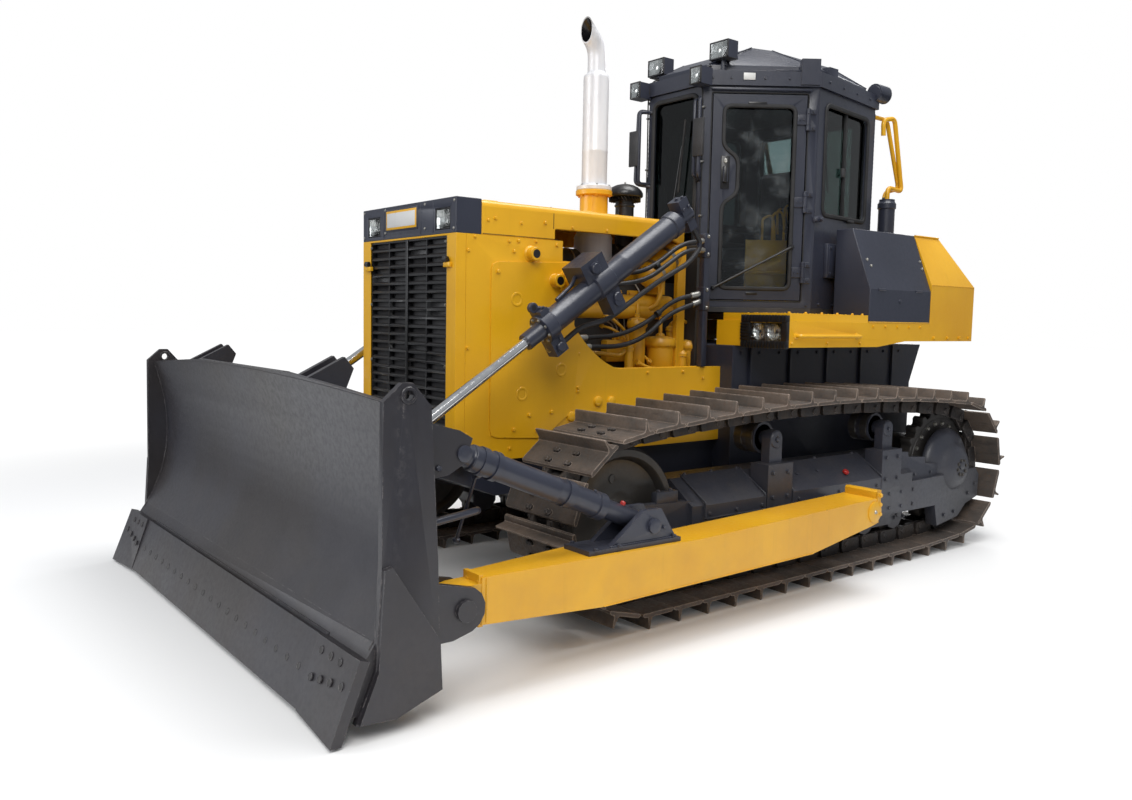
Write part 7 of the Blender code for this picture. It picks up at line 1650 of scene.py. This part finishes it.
def makeFender(side, tag):
    shape = Shape("fenderFittings" + tag, "machine", side)
    # lamp guard: black ribbed frame, bowl and lens in the pocket
    low, high, inLow, inHigh, y = (lampGuard[key] for key in ("low", "high", "inLow", "inHigh", "y"))
    shape.paint("black")
    for a, b in (((low[0], inHigh[1]), high), (low, (high[0], inLow[1])), ((low[0], inLow[1]), (inLow[0], inHigh[1])),
                 ((inHigh[0], inLow[1]), (high[0], inHigh[1]))):
        shape.box((a[0], y - 0.012, a[1]), (b[0], y + 0.014, b[1]), 0.003)
    for i in range(lampGuard["ribs"]):
        x = low[0] + 0.012 + (high[0] - low[0] - 0.024) * i / (lampGuard["ribs"] - 1)
        shape.box((x - 0.0065, y - 0.019, inHigh[1] + 0.004), (x + 0.0065, y - 0.008, high[1] + 0.002), 0.003)
        shape.box((x - 0.0065, y - 0.019, low[1] - 0.001), (x + 0.0065, y - 0.008, inLow[1] - 0.004), 0.003)
    for i in range(6):
        z = inLow[1] + 0.010 + 0.0185 * i
        shape.box((low[0] - 0.001, y - 0.019, z - 0.006), (inLow[0] - 0.008, y - 0.008, z + 0.006), 0.003)
    shape.box((inLow[0] - 0.002, y + 0.024, inLow[1] - 0.002), (inHigh[0] + 0.002, y + 0.030, inHigh[1] - 0.008), 0.002)
    shape.paint("mirror")
    for x in lampGuard["bowls"]:
        shape.turned([(-0.004, 0.004), (0.002, 0.018), (0.008, 0.034), (0.014, 0.044), (0.019, 0.0485), (0.019, 0.0495),
                      (-0.004, 0.0495)],
                     (x, y + 0.0190, 1.503), (0, -1, 0), 36)
    shape.paint("plastic").box((0.862, y - 0.002, 1.447), (0.872, y + 0.022, 1.560), 0.002)
    shape.paint("lens").box((inLow[0], y - 0.0065, inLow[1]), (inHigh[0], y - 0.0030, inHigh[1]), 0.0012)
    for i in range(lampGuard["flutes"]):
        x = inLow[0] + 0.010 + 0.0160 * i
        shape.box((x - 0.0014, y - 0.0082, inLow[1] + 0.004), (x + 0.0014, y - 0.0050, inHigh[1] - 0.004), 0.0008)
    # step plate: pegs along its outer edge, grip studs, bolts; fender face bolts and beads
    shape.paint("yellow")
    for pegY in (0.50, 0.66, 0.82, 0.98, 1.14, 1.25):
        shape.turned(((1.6165, 0.0085), (1.624, 0.0085), (1.6275, 0.006), (1.628, 0.002)), (1.004, pegY, 0), (0, 0, 1),
                     18)
    for row in range(5):
        for column in range(12):
            shape.turned(((1.6165, 0.0075), (1.6195, 0.0065), (1.6205, 0.003)),
                         (0.66 + 0.072 * row, 0.53 + 0.062 * column, 0), (0, 0, 1), 10)
    shape.bolts([(1.0298, yy, 1.545) for yy in (1.34, 1.48, 1.62, 1.76, 1.90)], (1, 0, 0), 0.009)
    shape.bolts([(1.0298, yy, 1.436 + max(0, yy - 1.4) * 0.115) for yy in (0.50, 0.85, 1.20)], (1, 0, 0), 0.009)
    shape.tube(((1.022, 0.54, 1.48), (1.07, 0.54, 1.48), (1.07, 1.16, 1.48), (1.022, 1.16, 1.48)), 0.0118, reach=0.024,
               sides=18, steps=6)
    for yy in (0.54, 1.16):
        shape.turned(((-0.001, 0.022), (0.004, 0.021), (0.009, 0.0125)), (1.030, yy, 1.48), (1, 0, 0), 24)
    shape.weld((1.0305, 1.285, 1.574), (1.0305, 2.015, 1.574), 0.004)
    # splash plate's ribs under the fender, on the case's side
    shape.paint("slate")
    for yy in (0.60, 1.00, 1.40, 1.80, 2.20):
        shape.box((0.619, yy - 0.006, 1.02), (0.640, yy + 0.006, 1.405), 0.003)
    shape.bolts([(0.6195, yy, 1.36) for yy in (0.52, 0.70, 0.90, 1.10, 1.30, 1.50, 1.70, 1.90, 2.10, 2.30)], (1, 0, 0),
                0.010)
    shape.finish()


filler = {"x": 0.60, "y": 2.085}
# the final case's back: middle height, its oval of bolts and the cover's circle
caseBack = {"z": 0.87, "ovalWide": 0.42, "ovalTall": 0.21, "ovalBolts": 14, "coverCircle": 0.13, "coverBolts": 8}


def makeRear():
    shape = Shape("rearFittings")
    for hand in (-1, 1):
        # side box: lid screws, hinge line, lock; tank bolts, lip, filler posts' caps, rails' skins, rear lamps
        shape.paint("zinc")
        for y, z in ((1.345, 1.985), (1.372, 1.945), (1.985, 2.002), (1.985, 1.952)):
            shape.bolt((hand * (1.03 - (z - 1.79) * 0.3825 + 0.001), y, z), (hand * 0.934, 0, 0.357), 0.008)
        shape.paint("slate")
        for y in (1.42, 1.86):
            shape.rod((hand * 1.0305, y - 0.04, 1.789), (hand * 1.0305, y + 0.04, 1.789), 0.008, 16)
        shape.turned(((0, 0.016), (0.004, 0.015), (0.006, 0.010), (0.006, 0.002)), (hand * 1.0300, 1.64, 1.715),
                     (hand, 0, 0), 24)
        shape.paint("yellow")
        shape.bolts([(hand * 1.0298, y, 1.47) for y in (2.08, 2.26, 2.42, 2.55)], (hand, 0, 0), 0.011)
        shape.bolts([(hand * 0.90, 2.5998, z) for z in (1.50, 1.66)], (0, 1, 0), 0.011)
        shape.weld((hand * 1.0302, 2.025, 1.8405), (hand * 1.0302, 2.595, 1.8405), 0.0035)
        shape.tube(((hand * 0.880, 2.022, 2.190), (hand * 0.880, 2.328, 2.190)), 0.006, reach=0.01, sides=10)
        shape.tube([(hand * 0.60, y, z) for y, z in ((2.085, 2.455), (2.085, 2.56), (2.265, 2.545), (2.13, 3.06),
                                                     (1.99, 3.03), (2.00, 2.92))],
                   0.0168, reach=0.046, sides=20, steps=7)
        shape.paint("slate")
        shape.turned(((2.192, 0.082), (2.200, 0.082), (2.206, 0.0590), (2.400, 0.0588), (2.404, 0.066), (2.440, 0.066),
                      (2.446, 0.060), (2.4705, 0.050), (2.4735, 0.018)), (hand * filler["x"], filler["y"], 0),
                      (0, 0, 1), 48)
        shape.boltRing((hand * filler["x"], filler["y"], 2.199), "xy", (0, 0, 1), 0.070, 6, 0.006)
        low, high = hand * 0.78 - 0.075, hand * 0.78 + 0.075
        shape.paint("plastic").box((low, 2.52, 1.865), (high, 2.585, 1.955), 0.006)
        shape.paint("red").box((low + 0.008, 2.583, 1.873), (low + 0.078, 2.588, 1.947), 0.003)
        shape.paint("amber").box((low + 0.084, 2.583, 1.873), (high - 0.008, 2.588, 1.947), 0.003)
    # tank's back: filler cap, level glass, pressed ribs, bolts; case face bolts; drawbar pin and retainers
    shape.paint("black").turned(((2.189, 0.070), (2.200, 0.070), (2.206, 0.062), (2.225, 0.062), (2.231, 0.054),
                                 (2.231, 0.010)), (0.18, 2.20, 0), (0, 0, 1), 40)
    shape.paint("yellow")
    for x in (-0.66, -0.33, 0.0, 0.33, 0.66):
        shape.box((x - 0.09, 2.5985, 1.48), (x + 0.09, 2.604, 1.80), 0.004)
    shape.bolts([(x, 2.5998, 1.455) for x in (-0.80, -0.495, -0.165, 0.165, 0.495, 0.80)], (0, 1, 0), 0.010)
    shape.paint("slate")
    for i in range(caseBack["ovalBolts"]):
        angle = 2 * math.pi * i / caseBack["ovalBolts"]
        place = (caseBack["ovalWide"] * math.cos(angle), 2.4698, caseBack["z"] + caseBack["ovalTall"] * math.sin(angle))
        shape.bolt(place, (0, 1, 0), 0.014)
    shape.turned(((-0.002, 0.16), (0.012, 0.16), (0.016, 0.15), (0.016, 0.03)), (0, 2.469, caseBack["z"]), (0, 1, 0),
                 56)
    shape.boltRing((0, 2.4845, caseBack["z"]), "xz", (0, 1, 0), caseBack["coverCircle"], caseBack["coverBolts"], 0.010)
    shape.paint("zinc").rod((0, 2.60, 0.47), (0, 2.60, 0.66), 0.033, 32, edge=0.006)
    shape.turned(((0.655, 0.050), (0.667, 0.050), (0.670, 0.045), (0.670, 0.010)), (0, 2.60, 0), (0, 0, 1), 32)
    shape.finish()


# Driver's place: seat by cloth simulation, controls
seatPads = {  # each pad: low and high corner, how far a point may swell
    "seatCushion": {"low": (-0.235, 1.135, 1.990), "high": (0.235, 1.605, 2.085), "cap": 0.014},
    "seatBack": {"low": (-0.235, 1.625, 2.005), "high": (0.235, 1.730, 2.700), "cap": 0.014},
}
padCloth = {"voxel": 0.0095, "pressure": 4.0, "frames": 20, "corner": 0.045, "smoothings": 8}
# sewn channels: shares of the pad's length, depth from the face that they reach, press and width
sewing = {"upright": (0.30, 0.52, 0.74), "flat": (0.36, 0.66), "reach": 0.045, "press": 0.009, "width": 0.009}


def padMesh(low, high):
    # a block with round corners, its rims pulled in a little
    shape = bmesh.new()
    bmesh.ops.create_cube(shape, size=2)
    size = Vector([(b - a) / 2 for a, b in zip(low, high)])
    middle = Vector([(a + b) / 2 for a, b in zip(low, high)])
    for point in shape.verts:
        point.co = Vector([c * s for c, s in zip(point.co, size)])
    thin = min(size)
    long = [e for e in shape.edges if sum(abs(a - b) > 1e-6 and s == thin for a, b,
                                          s in zip(e.verts[0].co, e.verts[1].co, size))]
    bmesh.ops.bevel(shape, geom=long, offset=padCloth["corner"], segments=5, profile=0.5, affect="EDGES")
    bmesh.ops.bevel(shape, geom=shape.edges[:], offset=thin * 0.45, segments=3, profile=0.5, affect="EDGES")
    for point in shape.verts:
        point.co += middle
    return shape


def inflate(pad, cap):
    # Blender's cloth with inner pressure and no weight, then its swelling is capped
    remesh = pad.modifiers.new("voxels", "REMESH")
    remesh.mode = "VOXEL"
    remesh.voxel_size = padCloth["voxel"]
    bpy.context.view_layer.objects.active = pad
    bpy.ops.object.modifier_apply(modifier=remesh.name)
    start = [v.co.copy() for v in pad.data.vertices]
    cloth = pad.modifiers.new("fill", "CLOTH")
    cloth.settings.use_pressure = True
    cloth.settings.uniform_pressure_force = padCloth["pressure"]
    cloth.settings.effector_weights.gravity = 0
    cloth.settings.quality = 5
    cloth.point_cache.frame_end = padCloth["frames"]
    for step in range(1, padCloth["frames"] + 1):
        bpy.context.scene.frame_set(step)
    swollen = pad.evaluated_get(bpy.context.evaluated_depsgraph_get()).to_mesh()
    moved = [v.co.copy() for v in swollen.vertices]
    pad.modifiers.remove(cloth)
    bpy.context.scene.frame_set(1)
    for vertex, first, last in zip(pad.data.vertices, start, moved):
        step = last - first
        vertex.co = first + step * min(1, cap / max(step.length, 1e-9))


def relax(pad):
    # evens out the small lumps that the voxels leave
    shape = bmesh.new()
    shape.from_mesh(pad.data)
    for _ in range(padCloth["smoothings"]):
        bmesh.ops.smooth_vert(shape, verts=shape.verts, factor=0.5, use_axis_x=True, use_axis_y=True, use_axis_z=True)
    shape.to_mesh(pad.data)
    shape.free()


def sew(pad, low, high):
    # sewn channels pressed in across the pad's wide face
    upright = high[2] - low[2] > high[1] - low[1]
    across = 2 if upright else 1
    depth = 1 if upright else 2
    lines = [low[across] + (high[across] - low[across]) * share for share in sewing["upright" if upright else "flat"]]
    face = low[depth] if upright else high[depth]
    for vertex in pad.data.vertices:
        near = min(abs(vertex.co[across] - line) for line in lines)
        if abs(vertex.co[depth] - face) < sewing["reach"]:
            press = sewing["press"] * math.exp(-(near / sewing["width"]) ** 2)
            vertex.co[depth] += press if upright else -press


def makeSeat():
    base = Shape("seatBase").paint("plastic")
    base.box((-0.20, 1.20, 1.6555), (0.20, 1.60, 1.70), 0.010)
    for i in range(6):
        base.paint("rubber").box((-0.188 + 0.004 * (i % 2), 1.215, 1.705 + 0.040 * i),
                                 (0.188 - 0.004 * (i % 2), 1.585, 1.740 + 0.040 * i), 0.014)
    base.paint("plastic").box((-0.225, 1.14, 1.945), (0.225, 1.61, 1.985), 0.012)
    base.box((-0.225, 1.705, 1.99), (0.225, 1.742, 2.66), 0.016)
    for hand in (-1, 1):
        base.box((hand * 0.265 - 0.030, 1.25, 2.235), (hand * 0.265 + 0.030, 1.60, 2.285), 0.018)
        base.rod((hand * 0.262, 1.62, 2.25), (hand * 0.262, 1.70, 2.25), 0.020, 20)
        base.turned(((-0.012, 0.026), (0.012, 0.026), (0.015, 0.020)), (hand * 0.238, 1.66, 2.02), (hand, 0, 0), 24)
    made = base.finish()
    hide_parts("seat")
    for name, values in seatPads.items():
        shape = padMesh(values["low"], values["high"])
        mesh = bpy.data.meshes.new(name)
        shape.to_mesh(mesh)
        shape.free()
        pad = bpy.data.objects.new(name, mesh)
        bpy.context.scene.collection.objects.link(pad)
        inflate(pad, values["cap"])
        relax(pad)
        sew(pad, values["low"], values["high"])
        for polygon in mesh.polygons:
            polygon.use_smooth = True
        mesh.materials.append(materials["cloth"])
        soft = pad.modifiers.new("smooth", "SUBSURF")
        soft.levels = soft.render_levels = 1
        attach(pad, "machine")


kneePanel = {"place": (0.415, 0.980, 1.890), "way": (0.17, 0.24), "boltX": 0.13, "boltHeights": (-0.19, 0.17),
             "hoops": ((-0.035, 0.030, 0.375), (0.035, 0.095, 0.405))}


def makeControls():
    shape = Shape("cabControls").paint("plastic")
    # console skins, gaiters, levers; dashboard with dials; pedals; heater box
    for hand in (-1, 1):
        if hand > 0:
            shape.box((0.299, 1.149, 2.150), (0.441, 1.601, 2.168), 0.008)
        else:
            shape.box((-0.440, 1.15, 1.66), (-0.300, 1.60, 2.160), 0.012)
        for y, tall in ((1.22, 0.20), (1.34, 0.16)):
            x = hand * 0.370
            shape.paint("rubber").turned(((0, 0.040), (0.010, 0.040), (0.016, 0.030), (0.026, 0.034), (0.034, 0.024),
                                          (0.044, 0.028), (0.052, 0.014)),
                                         (x, y, 2.165), (0, -0.1, 1), 24)
            shape.paint("zinc").rod((x, y, 2.20), (x, y - 0.03, 2.16 + tall), 0.008, 14)
            shape.paint("black").turned(((0, 0.012), (0.010, 0.021), (0.040, 0.024), (0.055, 0.020), (0.062, 0.008)),
                                        (x, y - 0.028, 2.15 + tall), (0, -0.12, 1), 24)
            shape.paint("plastic")
    # yellow tube frame of the lever guard and the yellow side panel that show through the door
    shape.paint("yellow")
    shape.tube(((0.40, 1.17, 2.12), (0.40, 1.17, 2.36), (0.40, 1.30, 2.39), (0.40, 1.38, 2.28), (0.40, 1.38, 2.12)),
               0.0095, reach=0.04, sides=14)
    shape.tube(((0.35, 1.17, 2.12), (0.35, 1.15, 2.33), (0.35, 1.24, 2.37), (0.35, 1.30, 2.22)), 0.0085, reach=0.03,
               sides=14)
    shape.box((0.438, 1.155, 1.665), (0.446, 1.595, 2.105), 0.004)
    # panel beside the driver's knees with its tube hoops, as it shows through the door
    place = Vector(kneePanel["place"])
    turn = Matrix.Rotation(math.atan2(kneePanel["way"][1], kneePanel["way"][0]), 3, "Z")
    shape.box((-0.150, -0.006, -0.225), (0.150, 0.006, 0.225), 0.005, turn, place)
    shape.box((-0.150, -0.006, 0.205), (0.150, 0.040, 0.225), 0.004, turn, place + Vector((0, 0, 0.005)))
    for hand in (-1, 1):
        for height in kneePanel["boltHeights"]:
            shape.bolt(place + turn @ Vector((hand * kneePanel["boltX"], -0.006, height)), turn @ Vector((0, -1, 0)),
                       0.008)
    for start, to, top in kneePanel["hoops"]:
        shape.tube([place + turn @ Vector(p) for p in ((start, 0.012, 0.22), (start, 0.012, top),
                                                       (to, 0.012, top + 0.02), (to + 0.02, 0.012, top - 0.06),
                                                      (to + 0.02, 0.012, 0.22))], 0.0085, reach=0.03, sides=14)
    shape.paint("plastic")
    shape.box((-0.180, 0.545, 1.660), (0.180, 0.66, 2.06), 0.025)
    turn = Matrix.Rotation(math.radians(-32), 3, "X")
    shape.box((-0.17, -0.10, -0.015), (0.17, 0.10, 0.015), 0.012, turn, (0, 0.63, 2.09))
    for i in range(4):
        place = Vector((-0.115 + 0.077 * i, 0.63, 2.09)) + turn @ Vector((0, 0, 0.015))
        shape.paint("zinc").turned(((-0.002, 0.028), (0.005, 0.028), (0.007, 0.025)), place, turn @ Vector((0, 0, 1)),
                                   28)
        shape.paint("black").turned(((0.004, 0.024), (0.0075, 0.024)), place, turn @ Vector((0, 0, 1)), 28)
        shape.paint("plastic")
    for x in (-0.10, 0.10):
        shape.paint("rubber").box((x - 0.040, 0.74, 1.70), (x + 0.040, 0.86, 1.715), 0.005,
                                  Matrix.Rotation(math.radians(28), 3, "X"), (x, 0.80, 1.715))
        shape.paint("plastic").rod((x, 0.72, 1.69), (x, 0.80, 1.71), 0.010, 12)
    shape.paint("rubber").box((-0.24, 0.62, 1.6552), (0.24, 1.12, 1.662), 0.003)
    shape.finish()


makeExhaust()
makePreCleaner()
makeAirDuct()
for side, tag in sides:
    makeHoses(side, tag)
    makeEngineSide(side, tag)
    makeCabSide(side, tag)
    makeRoof(side, tag)
    makeFender(side, tag)
makeCabFront()
makeRear()
makeControls()
makeSeat()
print("engine bay, cab, fenders and tank made")


# Studio
studioSizes = {"floorHalf": 60.0, "whiteFrom": 4.2, "whiteTo": 8.5, "nearGlow": 0.02, "nearTone": 0.86, "farDrop": 0.80}
skyLight = {"colour": (0.93, 0.96, 1.0, 1), "strength": 0.38}
lampTable = (  # name, place, aim, size, watts, colour
    ("key", (6.5, -6.0, 8.0), (0, -0.5, 1.0), 5.5, 640, (1, 0.985, 0.96)),
    ("fill", (-3.2, -9.5, 4.5), (0, -1.0, 1.0), 5.0, 300, (0.95, 0.97, 1)),
    ("sky", (1.5, 1.5, 9.0), (0, -0.5, 0), 5.0, 560, (1, 1, 1)),
    ("rim", (-3.5, 8.5, 4.5), (0, 1.0, 1.5), 4.0, 220, (1, 1, 1)),
)


def makeFloor():
    half = studioSizes["floorHalf"]
    mesh = bpy.data.meshes.new("floor")
    mesh.from_pydata([(-half, -half, 0), (half, -half, 0), (half, half, 0), (-half, half, 0)], [], [(0, 1, 2, 3)])
    floor = bpy.data.objects.new("floor", mesh)
    bpy.context.scene.collection.objects.link(floor)
    g = Graph("floorSkin")
    distance = g.node("ShaderNodeVectorMath", operation="LENGTH")
    g.link(g.place, distance.inputs[0])
    far = g.ramp(distance.outputs["Value"], studioSizes["whiteFrom"], studioSizes["whiteTo"])
    path = g.node("ShaderNodeLightPath")
    seen = g.math("MAXIMUM", path.outputs["Is Camera Ray"], path.outputs["Is Transmission Ray"])
    glow = g.math("ADD", studioSizes["nearGlow"], g.math("MULTIPLY", far, 1.0 - studioSizes["nearGlow"]))
    base = g.math("SUBTRACT", studioSizes["nearTone"], g.math("MULTIPLY", far, studioSizes["farDrop"]))
    tone = g.node("ShaderNodeCombineColor")
    for socket in tone.inputs:
        g.link(base, socket)
    mesh.materials.append(g.finish(Base_Color=tone.outputs[0], Roughness=0.9, Emission_Color=(1, 1, 1),
                                   Emission_Strength=g.math("MULTIPLY", seen, glow)))


def makeLamps():
    for name, place, aim, size, power, colour in lampTable:
        data = bpy.data.lights.new(name, "AREA")
        data.size = size
        data.energy = power
        data.color = colour
        light = bpy.data.objects.new(name, data)
        bpy.context.scene.collection.objects.link(light)
        aimed = (Vector(aim) - Vector(place)).to_track_quat("-Z", "Y").to_matrix().to_4x4()
        light.matrix_world = Matrix.Translation(place) @ aimed


def makeWorld():
    world = bpy.data.worlds.new("studio")
    bpy.context.scene.world = world
    world.use_nodes = True
    tree = world.node_tree
    tree.nodes.clear()
    out = tree.nodes.new("ShaderNodeOutputWorld")
    mix = tree.nodes.new("ShaderNodeMixShader")
    soft = tree.nodes.new("ShaderNodeBackground")
    soft.inputs[0].default_value = skyLight["colour"]
    soft.inputs[1].default_value = skyLight["strength"]
    white = tree.nodes.new("ShaderNodeBackground")
    white.inputs[0].default_value = (1, 1, 1, 1)
    path = tree.nodes.new("ShaderNodeLightPath")
    tree.links.new(path.outputs["Is Camera Ray"], mix.inputs[0])
    tree.links.new(soft.outputs[0], mix.inputs[1])
    tree.links.new(white.outputs[0], mix.inputs[2])
    tree.links.new(mix.outputs[0], out.inputs[0])
    bpy.context.scene.view_settings.view_transform = "Standard"


makeFloor()
makeLamps()
makeWorld()
print("studio ready")

bpy.context.view_layer.update()
